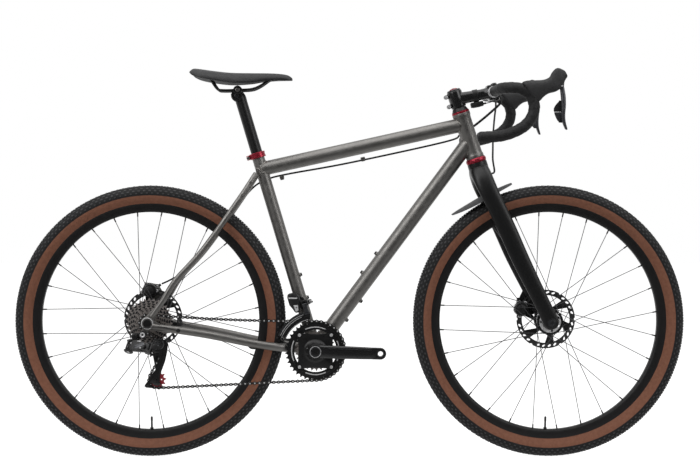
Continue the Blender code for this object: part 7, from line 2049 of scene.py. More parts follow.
@dataclass
class Control:
    """One side's hood, brake lever and shift paddle."""

    side: Side
    out: float = 0.2145
    hood: tuple[Row, ...] = (
        # top ahead and up, bottom ahead and up, from the bar clamp, and half width
        (0.0480, 0.0112, 0.0790, -0.0340, 0.0150),
        (0.0510, 0.0146, 0.0880, -0.0368, 0.0186),
        (0.0620, 0.0175, 0.0950, -0.0330, 0.0193),
        (0.0800, 0.0180, 0.1020, -0.0250, 0.0195),
        (0.1020, 0.0195, 0.1150, -0.0160, 0.0190),
        (0.1170, 0.0260, 0.1330, -0.0110, 0.0178),
        (0.1240, 0.0380, 0.1470, -0.0020, 0.0150),
        (0.1330, 0.0475, 0.1535, 0.0075, 0.0132),
        (0.1420, 0.0490, 0.1570, 0.0170, 0.0110),
        (0.1550, 0.0430, 0.1630, 0.0270, 0.0065),
        (0.1590, 0.0385, 0.1625, 0.0310, 0.0030),
    )
    lever: tuple[Row, ...] = (
        # ahead of the pivot, above the pivot, half depth, half width
        (0.0050, 0.0125, 0.0012, 0.0015),
        (0.0042, 0.0100, 0.0034, 0.0038),
        (0.0010, 0.0000, 0.0058, 0.0042),
        (0.0025, -0.0100, 0.0060, 0.0044),
        (0.0045, -0.0260, 0.0062, 0.0080),
        (0.0055, -0.0480, 0.0058, 0.0090),
        (0.0045, -0.0720, 0.0050, 0.0090),
        (0.0060, -0.0900, 0.0045, 0.0085),
        (0.0115, -0.1075, 0.0034, 0.0064),
        (0.0132, -0.1110, 0.0016, 0.0030),
    )

    @property
    def pivot(self) -> Vector:
        """The middle of the lever's cross pin."""
        return BAR_CENTRE + Vector((0.148, self.side.value * self.out, 0.003))

    def build(self) -> None:
        """Builds the hood, the lever and the paddle."""
        self._hood()
        self._lever()
        self._paddle()

    def _hood(self) -> None:
        """Lofts the rubber hood."""
        form = Form()
        middle = BAR_CENTRE + LATERAL * self.side.value * self.out
        places = []
        for top_x, top_z, low_x, low_z, half_width in eased(self.hood, 5):
            centre = middle + Vector(((top_x + low_x) / 2, 0, (top_z + low_z) / 2))
            half = Vector(((top_x - low_x) / 2, 0, (top_z - low_z) / 2))
            across = LATERAL * max(half_width, 0.001)
            normal = across.cross(half).normalized()
            seat = Matrix((across, half, normal)).transposed().to_4x4()
            places.append(Matrix.Translation(centre) @ seat)
        form.loft(places, HOOD_RUBBER, 36, power=0.78)
        form.piece(f"hood_grip_{self.side.label}", "steering", [f"hood_{self.side.label}"], 60.0)

    def _lever(self) -> None:
        """Lofts the lever's blade and adds its pin and the paddle's lugs."""
        form = Form()
        places = []
        for ahead, up, half_depth, half_width in eased(self.lever, 5):
            centre = self.pivot + Vector((ahead, 0, up))
            scale = Matrix.Diagonal((max(half_depth, 0.0008), max(half_width, 0.0008), 1.0, 1.0))
            places.append(Matrix.Translation(centre) @ scale)
        form.loft(places, LEVER_GREY, 24, power=0.75)
        out = LATERAL * 0.0112
        form.bar(self.pivot - out, self.pivot + out, 0.0019, SATIN_SILVER, 16, 0.0003)
        hinge = self.paddle_pivot
        for height in (0.0185, -0.0350):
            lug = Matrix.Translation(hinge + Vector((0.0028, self.side.value * 0.0005, height)))
            form.block(lug, (0.0108, 0.0058, 0.0028), BLACK, 0.0008)
        form.piece(
            f"lever_blade_{self.side.label}", f"brake_{self.side.label}",
            [f"brake_lever_{self.side.label}"], 50.0,
        )

    @property
    def paddle_pivot(self) -> Vector:
        """The paddle's upright hinge line."""
        return self.pivot + Vector((-0.0030, -self.side.value * 0.0060, -0.0560))

    def _paddle(self) -> None:
        """Cuts the two shift buttons, one above the other, on their hinge rod."""
        form = Form()
        place = drive_side(self.paddle_pivot)
        upper = [
            (0.0052, 0.0200), (-0.0006, 0.0190), (-0.0062, 0.0140), (-0.0118, 0.0070),
            (-0.0154, 0.0000), (-0.0156, -0.0066), (-0.0148, -0.0090), (0.0054, -0.0090),
        ]
        lower = [
            (0.0054, -0.0098), (-0.0146, -0.0098), (-0.0132, -0.0160), (-0.0100, -0.0240),
            (-0.0062, -0.0310), (-0.0006, -0.0366), (0.0050, -0.0370),
        ]
        form.plate(upper, -0.0015, 0.0015, place, PLASTIC, (), 0.0008)
        form.plate(lower, -0.0015, 0.0015, place, LEVER_GREY, (), 0.0008)
        foot, top = Vector((0, 0, -0.0360)), Vector((0, 0, 0.0195))
        form.bar(self.paddle_pivot + foot, self.paddle_pivot + top, 0.0010, BLACK, 12)
        form.piece(
            f"shift_buttons_{self.side.label}", f"shift_{self.side.label}",
            [f"shift_paddle_{self.side.label}"],
        )


# Saddle and seatpost


@dataclass
class Seat:
    """The seatpost, its clamp, the rails and the saddle."""

    clamp: Vector = SEAT_TUBE_TOP + SEAT_DIRECTION * 0.170 + Vector((-0.002, 0, 0.0070))
    spread: float = 0.022
    rows: tuple[Row, ...] = (
        # ahead of the clamp, top, bottom, half width
        (-0.1285, 0.0490, 0.0462, 0.0380),
        (-0.1265, 0.0520, 0.0440, 0.0480),
        (-0.1180, 0.0575, 0.0370, 0.0600),
        (-0.1000, 0.0560, 0.0300, 0.0690),
        (-0.0640, 0.0510, 0.0230, 0.0720),
        (-0.0180, 0.0465, 0.0175, 0.0590),
        (0.0350, 0.0460, 0.0190, 0.0380),
        (0.0700, 0.0460, 0.0240, 0.0280),
        (0.1050, 0.0450, 0.0265, 0.0225),
        (0.1320, 0.0415, 0.0270, 0.0190),
        (0.1440, 0.0350, 0.0268, 0.0125),
        (0.1470, 0.0315, 0.0275, 0.0060),
    )

    def build(self) -> None:
        """Builds the post, the rails and the saddle."""
        self._post()
        self._rails()
        self._saddle()

    def _post(self) -> None:
        """Turns the post and builds its two-bolt clamp of round discs."""
        form = Form()
        foot = SEAT_TUBE_TOP - SEAT_DIRECTION * 0.150
        top = SEAT_TUBE_TOP + SEAT_DIRECTION * 0.160
        form.bar(foot, top, 0.01545, CARBON, 48, 0.001)
        neck = [
            (SEAT_TUBE_TOP + SEAT_DIRECTION * 0.145, 0.0155, 0.0155),
            (SEAT_TUBE_TOP + SEAT_DIRECTION * 0.156, 0.0162, 0.0158),
            (self.clamp + Vector((-0.001, 0, -0.0140)), 0.0175, 0.0175),
            (self.clamp + Vector((-0.002, 0, -0.0070)), 0.0170, 0.0180),
        ]
        rows = eased([(*spot, across, deep) for spot, across, deep in neck], 4)
        path = [Vector(row[:3]) for row in rows]
        form.loft(stations(path, [(row[3], row[4]) for row in rows], LATERAL), CARBON, 36)
        hub = self.clamp + Vector((-0.0030, 0, -0.0150))
        form.bar(hub - LATERAL * 0.0200, hub + LATERAL * 0.0200, 0.0150, BLACK, 48, 0.0018)
        for side in Side:
            out = LATERAL * side.value
            seat = self.clamp + out * (self.spread + 0.0042)
            form.bar(seat - out * 0.0100, seat + out * 0.0035, 0.0118, BLACK, 40, 0.0012)
            form.bolt(aimed(seat + out * 0.0030, out, FORWARD), 0.0062, 0.0026, STEEL, 0.45)
            cap = hub + out * 0.0198
            form.bolt(aimed(cap, out, FORWARD), 0.0060, 0.0022, DARK_GREY, 0.45)
        form.piece("post_and_clamp", "seatpost", ["seatpost"])

    def _underside(self, ahead: float) -> float:
        """The height of the saddle's hollow underside at a distance ahead of the clamp."""
        for first, second in zip(self.rows, self.rows[1:]):
            if first[0] <= ahead <= second[0]:
                share = (ahead - first[0]) / (second[0] - first[0])
                low = first[2] + (second[2] - first[2]) * share
                high = first[1] + (second[1] - first[1]) * share
                return low + 0.45 * (high - low)
        return self.rows[-1][2]

    def _rails(self) -> None:
        """Bends both rails as one bar that turns round in the nose."""
        form = Form()
        rear, nose = self._underside(-0.074), self._underside(0.112)
        half = [
            (-0.0760, 0.0370, rear + 0.0010), (-0.0700, 0.0345, rear - 0.0110),
            (-0.0540, 0.0280, 0.0030), (-0.0380, self.spread, -0.0010),
            (0.0000, self.spread, 0.0000), (0.0380, self.spread, 0.0022),
            (0.0620, 0.0185, 0.0120), (0.0870, 0.0130, nose - 0.0060),
            (0.1060, 0.0100, nose - 0.0040), (0.1130, 0.0000, nose - 0.0040),
        ]
        points = [(x, -y, z) for x, y, z in half] + half[-2::-1]
        path = [self.clamp + spot for spot in eased_path(points, 6)]
        form.loft(stations(path, (0.0037, 0.0037), (0, 1, 0.2)), CARBON, 16)
        form.piece("saddle_rail_loop", "seatpost", ["saddle_rails"])

    def _saddle(self) -> None:
        """Lofts the padded shell: crowned, channelled, drawn in below, with a smooth nose."""
        form = Form()
        half = [
            (0.00, 0.92), (0.10, 0.935), (0.22, 0.985), (0.36, 1.00), (0.55, 0.94), (0.72, 0.82),
            (0.86, 0.62), (0.95, 0.40), (0.995, 0.18), (0.99, 0.04), (0.95, 0.00), (0.86, 0.06),
            (0.70, 0.18), (0.45, 0.34), (0.20, 0.42), (0.00, 0.44),
        ]
        outline = half + [(-x, y) for x, y in half[-2:0:-1]]
        places = []
        for ahead, top, bottom, half_width in eased(self.rows, 7):
            across = LATERAL * half_width
            rise = UPWARD * max(top - bottom, 0.002)
            seat = Matrix((across, rise, FORWARD)).transposed().to_4x4()
            places.append(Matrix.Translation(self.clamp + Vector((ahead, 0, bottom))) @ seat)
        form.loft(places, COVER, outline=outline)
        nose_index = form.index(SMOOTH_COVER)
        for face in form.work.faces:
            centre = face.calc_center_median() - self.clamp
            if centre.x > 0.030 + 0.35 * (centre.z - 0.030) + 0.25 * abs(centre.y):
                face.material_index = nose_index
        made = form.piece("saddle_pad", "seatpost", ["saddle"], 55.0)


# Drivetrain


def pitch_radius(teeth: int) -> float:
    """The radius of the circle that a sprocket's chain pins lie on."""
    return CHAIN_PITCH / (2 * math.sin(math.pi / teeth))


def toothed(teeth: int, gap: float, tip: float = 0.0022, floor: float = 0.0041) -> list[Flat]:
    """A sprocket's outline, with round gaps for the rollers and narrow tooth tips.

    Args:
        teeth: How many teeth it has.
        gap: The angle of the middle of one gap.
        tip: How far the teeth stand past the pitch circle.
        floor: The radius of each gap's round floor.

    Returns:
        The outline's points.
    """
    radius = pitch_radius(teeth)
    step = math.tau / teeth
    points = []
    for tooth in range(teeth):
        middle = gap + tooth * step
        centre = polar(radius, middle)
        for turn in (64, 30, 0, -30, -64):
            points.append(polar(floor, middle + math.pi + math.radians(turn), centre))
        for lean in (-0.0007, 0.0007):
            points.append(polar(radius + tip, middle + step / 2 + lean / radius))
    return points


@dataclass
class ChainLine:
    """The chain's course over its four sprockets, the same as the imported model's."""

    ring_teeth: int = 39
    cog_teeth: int = 11
    pulley_teeth: int = 11
    guide_at: Flat = (-0.5159, 0.2949)
    tension_at: Flat = (-0.5018, 0.2153)
    sag: float = 0.0050
    seating: float = 0.0002
    run_steps: int = 160

    @staticmethod
    def carried(spot: Flat) -> Flat:
        """A spot of the cage after the cage has turned about its pivot."""
        x, z = spot[0] - CAGE_PIVOT[0], spot[1] - CAGE_PIVOT[1]
        cosine, sine = math.cos(CAGE_TURN), math.sin(CAGE_TURN)
        return (CAGE_PIVOT[0] + x * cosine - z * sine, CAGE_PIVOT[1] + x * sine + z * cosine)

    def sprockets(self) -> dict[str, Row]:
        """Each sprocket's centre, pitch radius and turning sense."""
        small = pitch_radius(self.pulley_teeth)
        return {
            "ring": (BOTTOM_BRACKET.x, BOTTOM_BRACKET.z, pitch_radius(self.ring_teeth), -1),
            "tension": (*self.carried(self.tension_at), small, -1),
            "guide": (*self.carried(self.guide_at), small, 1),
            "cog": (REAR_AXLE.x, REAR_AXLE.z, pitch_radius(self.cog_teeth), -1),
        }

    @staticmethod
    def _run(first: Row, second: Row) -> tuple[Vector, Vector]:
        """The straight run between two sprockets."""
        gap = Vector((second[0] - first[0], second[1] - first[1]))
        lean = math.asin((first[2] * first[3] - second[2] * second[3]) / gap.length)
        course = math.atan2(gap.y, gap.x) + lean
        side = Vector((math.sin(course), -math.cos(course)))
        start = Vector(first[:2]) + side * first[2] * first[3]
        end = Vector(second[:2]) + side * second[2] * second[3]
        return start, end

    def _loop(self) -> list[Vector]:
        """The whole centre line as close points."""
        around = self.sprockets()
        order = ["ring", "tension", "guide", "cog", "ring"]
        planes = dict.fromkeys(order, SMALL_COG_Y) | {"ring": OUTER_RING_Y}
        runs = [self._run(around[a], around[b]) for a, b in zip(order, order[1:])]
        loop = []
        for index, (start, end) in enumerate(runs):
            here, after = order[index], order[index + 1]
            sag = self.sag if here == "cog" else 0.0
            for step in range(self.run_steps + 1):
                share = step / self.run_steps
                flat = start.lerp(end, share)
                ease = share * share * (3 - 2 * share)
                y = planes[here] + (planes[after] - planes[here]) * ease
                loop.append(Vector((flat.x, y, flat.y - sag * 4 * share * (1 - share))))
            leaving = runs[(index + 1) % len(runs)][0]
            loop += self._wrap(around[after], end, leaving, planes[after])
        return loop

    @staticmethod
    def _wrap(sprocket: Row, start: Vector, end: Vector, y: float) -> list[Vector]:
        """Points along a sprocket's pitch circle between two tangent points."""
        centre = Vector(sprocket[:2])
        first = math.atan2(start.y - centre.y, start.x - centre.x)
        last = math.atan2(end.y - centre.y, end.x - centre.x)
        turn = (last - first) * sprocket[3] % math.tau
        steps = max(8, int(turn * sprocket[2] / 0.001))
        found = []
        for step in range(1, steps):
            x, z = polar(sprocket[2], first + sprocket[3] * turn * step / steps, tuple(centre))
            found.append(Vector((x, y, z)))
        return found

    def pins(self) -> list[Vector]:
        """The chain's pins, one pitch apart."""
        loop = self._loop()
        pins = [loop[0]]
        for start, end in zip(loop, loop[1:] + loop[:1]):
            while (end - pins[-1]).length >= CHAIN_PITCH:
                along = end - start
                back = start - pins[-1]
                a, b = along.dot(along), 2 * back.dot(along)
                c = back.dot(back) - CHAIN_PITCH**2
                share = (-b + math.sqrt(max(b * b - 4 * a * c, 0))) / (2 * a)
                pins.append(start + along * share)
        return pins[:CHAIN_LINKS]

    def gap(self, name: str, pins: Sequence[Vector]) -> float:
        """The angle at which a sprocket has a gap for a chain pin.

        Args:
            name: The sprocket's name.
            pins: The chain's pins.

        Returns:
            The angle, in radians.
        """
        x, z, radius, _ = self.sprockets()[name]
        centre = Vector((x, z))
        seated = [Vector((pin.x, pin.z)) - centre for pin in pins]
        seated = [spot for spot in seated if abs(spot.length - radius) < self.seating]
        outward = sum(seated, Vector((0, 0))).normalized()
        nearest = max(seated, key=lambda spot: spot.dot(outward))
        return math.atan2(nearest.y, nearest.x)


@dataclass
class Chain:
    """The roller chain, link by link."""

    pins: Sequence[Vector]
    plate_height: float = 0.0084
    waist: float = 0.0018
    plate: float = 0.00085
    roller: float = 0.00385

    def _plate_outline(self) -> list[Flat]:
        """A side plate's outline, drawn in between its two pins."""
        end = self.plate_height / 2
        outline = [polar(end, math.radians(angle)) for angle in range(60, 301, 30)]
        outline.append((CHAIN_PITCH / 2, -self.waist))
        far = (CHAIN_PITCH, 0.0)
        outline += [polar(end, math.radians(angle), far) for angle in range(-120, 121, 30)]
        outline.append((CHAIN_PITCH / 2, self.waist))
        return outline

    def build(self) -> None:
        """Rivets outer and inner links in turn round the whole loop."""
        form = Form()
        outline = self._plate_outline()
        rivet = [
            (0.0, 0.0), (0.0014, 0.0), (0.0021, 0.0006), (0.0021, 0.0062), (0.0014, 0.0068),
            (0.0, 0.0068),
        ]
        for index, pin in enumerate(self.pins):
            after = self.pins[(index + 1) % len(self.pins)]
            along = (after - pin).normalized()
            place = aimed(pin, LATERAL - along * along.y, along)
            inner = 0.00205 if index % 2 else 0.00115
            for sign in (1, -1):
                low, high = sorted((sign * inner, sign * (inner + self.plate)))
                form.plate(outline, low, high, place, CHAIN_STEEL)
            form.turn(rivet, raised(place, -0.0034), SATIN_SILVER, 8)
            form.turn(hoop(0.0, self.roller, -0.0011, 0.0011), place, CHAIN_STEEL, 12)
        form.piece("chain_links", "frame", ["chain"])


@dataclass
class Cassette:
    """Eleven sprockets on their carrier, with the lock ring."""

    gap: float
    teeth: tuple[int, ...] = (11, 12, 13, 14, 15, 17, 19, 21, 24, 27, 30)
    thickness: float = 0.0016
    bore: float = 0.0168

    def build(self) -> None:
        """Stacks the sprockets, each with its web painted darker than its teeth as shade, their
        spacers and the carrier.
        """
        form = Form()
        place = drive_side((REAR_AXLE.x, SMALL_COG_Y, REAR_AXLE.z))
        half = self.thickness / 2
        for index, teeth in enumerate(self.teeth):
            level = -index * COG_SPACING
            outline = toothed(teeth, self.gap + index * 0.21, 0.0021)
            radius = pitch_radius(teeth)
            holes = [circle(self.bore, 32)]
            if teeth > 20:
                holes += self._windows(radius, index)
            root = radius - 0.0048
            form.plate(outline, level - half, level + half, place, COG_STEEL, [circle(root, 48)])
            # The web inside the teeth is painted darker than the teeth, as shade in the recess
            # between the cogs.
            body = circle(root + 0.0002, 48)
            form.plate(body, level - half * 0.7, level + half * 0.1, place, DARK_GREY, holes)
            if index:
                high = level + COG_SPACING - half
                form.turn(hoop(self.bore, 0.0198, level + half, high), place, DARK_GREY, 40)
        depth = (COG_COUNT - 1) * COG_SPACING
        carrier = [
            (self.bore, -depth - half), (0.034, -depth - half), (0.030, -depth + 0.004),
            (0.024, -depth + 0.012), (self.bore, -depth + 0.016),
        ]
        form.turn(carrier, place, DARK_GREY, 40)
        notches = []
        for index in range(24):
            turn = math.tau * index / 24
            reach = 0.0118 if index % 2 else 0.0128
            notches.append(polar(reach, turn))
        lock = circle(0.0172, 48)
        form.plate(lock, half, half + 0.0013, place, SILVER, [notches], 0.0003)
        form.piece("sprocket_cluster", "freehub", ["cassette"], 30.0)

    @staticmethod
    def _windows(radius: float, index: int) -> list[list[Flat]]:
        """The windows between a large sprocket's arms.

        Args:
            radius: The sprocket's pitch radius.
            index: Its number, which turns its arms a little past the last one's.

        Returns:
            The windows' outlines.
        """
        found = []
        for arm in range(6):
            start = math.tau * arm / 6 + index * 0.14
            outer = arc(radius - 0.0110, start + 0.22, start + 0.78, 6)
            inner = arc(0.0225, start + 0.78, start + 0.20, 3)
            found.append(outer + inner)
        return found


@dataclass
class Crankset:
    """Both arms, the four-cornered spider, two chainrings and their bolts."""

    gap: float
    length: float = 0.1725
    angle: float = math.radians(-1.65)
    face: float = 0.0750
    hub_start: float = 0.0447
    hub_radius: float = 0.0195
    pedal_hole: float = 0.0071
    outer_teeth: int = 39
    inner_teeth: int = 26
    ring_thickness: float = 0.0019
    bolt_circle: float = 0.060
    inner_bolt_circle: float = 0.041
    groove_share: float = 0.58
    groove_start: float = 0.030
    groove_end: float = 0.150
    sections: tuple[Row, ...] = (
        # along the arm, inset of the outer face, half thickness, half height
        (-0.0190, 0.0045, 0.0060, 0.0060),
        (-0.0175, 0.0038, 0.0095, 0.0120),
        (-0.0080, 0.0030, 0.0120, 0.0172),
        (0.0120, 0.0027, 0.0112, 0.0180),
        (0.0250, 0.0025, 0.0105, 0.0178),
        (0.0800, 0.0010, 0.0078, 0.0170),
        (0.1400, 0.0002, 0.0062, 0.0160),
        (0.1560, 0.0003, 0.0058, 0.0152),
    )

    def build(self) -> None:
        """Builds the arms and the rings."""
        for side in Side:
            self._arm(side)
        self._rings()
        for side in Side:
            self._cup(side)

    def _along(self, side: Side) -> Vector:
        """The direction of one arm, from the bottom bracket to the pedal."""
        turn = self.angle if side is Side.RIGHT else self.angle + math.pi
        return Vector((math.cos(turn), 0, math.sin(turn)))

    def _arm(self, side: Side) -> None:
        """Forges one arm with its hub, its pedal eye and its end cap.

        Args:
            side: The side.
        """
        form = Form()
        out = LATERAL * side.value
        along = self._along(side)
        fine = eased(self.sections, 5)
        path, sizes = [], []
        for distance, inset, half_thickness, half_height in fine:
            middle = out * (self.face - inset - half_thickness)
            path.append(BOTTOM_BRACKET + along * distance + middle)
            sizes.append((half_thickness, half_height))
        form.loft(stations(path, sizes, LATERAL), GLOSS_BLACK, 36, power=0.66)
        # Thin grey lines along the arm's grooves: the grooves are the arm's own, their lighter grey
        # is a painted highlight.
        for share in (self.groove_share, -self.groove_share):
            groove_highlight = []
            for distance, inset, _, half_height in fine:
                if self.groove_start < distance < self.groove_end:
                    spot = BOTTOM_BRACKET + along * distance + out * (self.face - inset - 0.0001)
                    groove_highlight.append(spot + along.cross(LATERAL) * half_height * share)
            form.loft(stations(groove_highlight, (0.0004, 0.0005), LATERAL), DARK_GREY, 8)
        tip = BOTTOM_BRACKET + along * self.length
        eye = aimed(tip, out, along)
        hole = circle(self.pedal_hole, 32)
        shape = oval((-0.0200, 0.0), (0.0, 0.0), 0.0155, 14)
        form.plate(shape, self.face - 0.0125, self.face, eye, GLOSS_BLACK, [hole], 0.0022)
        thread = [
            (self.pedal_hole - 0.0002, self.face - 0.0127), (0.0094, self.face - 0.0127),
            (0.0094, self.face - 0.0110), (0.0080, self.face - 0.0100),
            (0.0080, self.face - 0.0020), (0.0094, self.face - 0.0010),
            (0.0094, self.face + 0.0003), (self.pedal_hole - 0.0002, self.face + 0.0003),
        ]
        form.turn(thread, eye, DARK_GREY, 36)
        hub = aimed(BOTTOM_BRACKET, out, along)
        barrel = [
            (0.0123, self.hub_start), (self.hub_radius - 0.0012, self.hub_start),
            (self.hub_radius, self.hub_start + 0.0012), (self.hub_radius, self.face - 0.0045),
            (self.hub_radius - 0.0012, self.face - 0.0033), (0.0123, self.face - 0.0033),
        ]
        form.turn(barrel, hub, BLACK, 48)
        cap = [
            (0.0, self.face - 0.0045), (0.0158, self.face - 0.0045), (0.0158, self.face - 0.0016),
            (0.0150, self.face - 0.0008), (0.0124, self.face - 0.0008),
            (0.0118, self.face - 0.0018), (0.0, self.face - 0.0018),
        ]
        form.turn(cap, hub, DARK_GREY, 48)
        lip = hoop(0.0138, 0.0150, self.face - 0.0010, self.face - 0.0004)
        form.turn(lip, hub, SATIN_SILVER, 48)
        form.bolt(raised(hub, self.face - 0.0022), 0.0100, 0.0018, BLACK, 0.55)
        if side is Side.RIGHT:
            self._spider(form)
        form.piece(f"crank_arm_{side.label}", "crankset", [f"crank_{side.label}"])

    def _corners(self, radius: float) -> list[Vector]:
        """The four bolts' spots on a circle round the bottom bracket."""
        spots = (polar(radius, angle) for angle in SPIDER_ANGLES)
        return [BOTTOM_BRACKET + Vector((x, 0, z)) for x, z in spots]

    def _spider(self, form: Form) -> None:
        """Adds the spider behind the right arm, and its bolts.

        Args:
            form: The right arm's form.
        """
        low = -OUTER_RING_Y + self.ring_thickness / 2 + CLEARANCE
        side = (
            (0.0452, 0.0), (0.0456, 0.0140), (0.0466, 0.0290), (0.0478, 0.0390),
            (0.0474, 0.0446), (0.0446, 0.0474), (0.0390, 0.0478), (0.0290, 0.0466),
            (0.0140, 0.0456),
        )
        outline = []
        for quarter in range(4):
            turn = Matrix.Rotation(math.pi / 2 * quarter, 2)
            outline += [tuple(turn @ Vector(spot)) for spot in side]
        smooth = eased(outline, 3, closed=True)
        place = drive_side(BOTTOM_BRACKET)
        form.plate(smooth, low, low + 0.0050, place, BLACK, (), 0.0016)
        dish = [
            (0.0150, low + 0.0040), (0.0340, low + 0.0040), (0.0300, low + 0.0056),
            (0.0250, low + 0.0090), (0.0200, low + 0.0180), (0.0150, low + 0.0180),
        ]
        form.turn(dish, place, BLACK, 48)
        for spot in self._corners(self.bolt_circle):
            seat = drive_side(spot - LATERAL * (low + 0.0044))
            form.bolt(seat, 0.0042, 0.0022, SATIN_SILVER, 0.52)
            nut = spot + LATERAL * (OUTER_RING_Y + self.ring_thickness / 2)
            form.bar(nut, nut + LATERAL * 0.0014, 0.0050, STEEL, 20, 0.0003)
        for spot in self._corners(self.inner_bolt_circle):
            face = spot + LATERAL * (INNER_RING_Y + self.ring_thickness / 2)
            form.bar(face - LATERAL * 0.0104, face + LATERAL * 0.0012, 0.0036, STEEL, 20)

    def _rings(self) -> None:
        """Cuts both chainrings, with the outer one's band, silver arcs painted on as highlights,
        and shift pins.
        """
        form = Form()
        half = self.ring_thickness / 2
        place = drive_side((BOTTOM_BRACKET.x, OUTER_RING_Y, BOTTOM_BRACKET.z))
        inside = []
        for corner in SPIDER_ANGLES:
            inside += arc(0.0535, corner - math.radians(9), corner + math.radians(9), 4)
            inside += arc(0.0565, corner + math.radians(13), corner + math.radians(77), 10)
        bores = [circle(0.0050, 16, polar(self.bolt_circle, angle)) for angle in SPIDER_ANGLES]
        outline = toothed(self.outer_teeth, self.gap)
        form.plate(outline, -half, half, place, BLACK, [inside, *bores])
        band = [
            (0.0632, half - 0.0004), (0.0655, half + 0.0014), (0.0672, half + 0.0016),
            (0.0710, half + 0.0012), (0.0714, half - 0.0004),
        ]
        form.turn(band, place, BLACK, 96)
        # Silver arcs on the outer ring's face: painted highlights of its machined ramps.
        for corner in SPIDER_ANGLES:
            start, end = corner + math.radians(20), corner + math.radians(70)
            painted_highlight_arc = arc(0.0648, start, end, 16) + arc(0.0620, end, start, 16)
            form.plate(painted_highlight_arc, half - 0.0006, half + 0.0009, place, SATIN_SILVER, (), 0.0003)
        shift_pin = hoop(0.0, 0.0014, 0.0, half * 2 + 0.0012)
        for index in range(8):
            spot = polar(0.0738, math.tau * index / 8 + 0.3)
            form.turn(shift_pin, place @ Matrix.Translation((*spot, -half - 0.0008)), STEEL, 12)
        form.piece("outer_chainring", "crankset", ["chainring_outer"], 30.0)
        form = Form()
        place = drive_side((BOTTOM_BRACKET.x, INNER_RING_Y, BOTTOM_BRACKET.z))
        holes = [circle(0.0345, 48)]
        for angle in SPIDER_ANGLES:
            holes.append(circle(0.0040, 16, polar(self.inner_bolt_circle, angle)))
        form.plate(toothed(self.inner_teeth, 0.06), -half, half, place, COG_STEEL, holes)
        form.piece("inner_chainring", "crankset", ["chainring_inner"], 30.0)

    def _cup(self, side: Side) -> None:
        """Turns one bearing cup beside the shell.

        Args:
            side: The side.
        """
        form = Form()
        place = aimed(BOTTOM_BRACKET, LATERAL * side.value, FORWARD)
        profile = [
            (0.0128, 0.0200), (0.0182, 0.0200), (0.0182, 0.0343), (0.0215, 0.0343),
            (0.0220, 0.0350), (0.0220, 0.0418), (0.0212, 0.0432), (0.0190, 0.0443),
            (0.0128, 0.0443),
        ]
        form.turn(profile, place, BLACK, 48)
        for index in range(16):
            turn = Matrix.Rotation(math.tau * index / 16, 4, "Z")
            rib = place @ turn @ Matrix.Translation((0.0216, 0, 0.0384))
            form.block(rib, (0.0014, 0.0042, 0.0058), BLACK, 0.0005)
        form.piece(f"bearing_cup_{side.label}", "frame", [f"bottom_bracket_cup_{side.label}"])


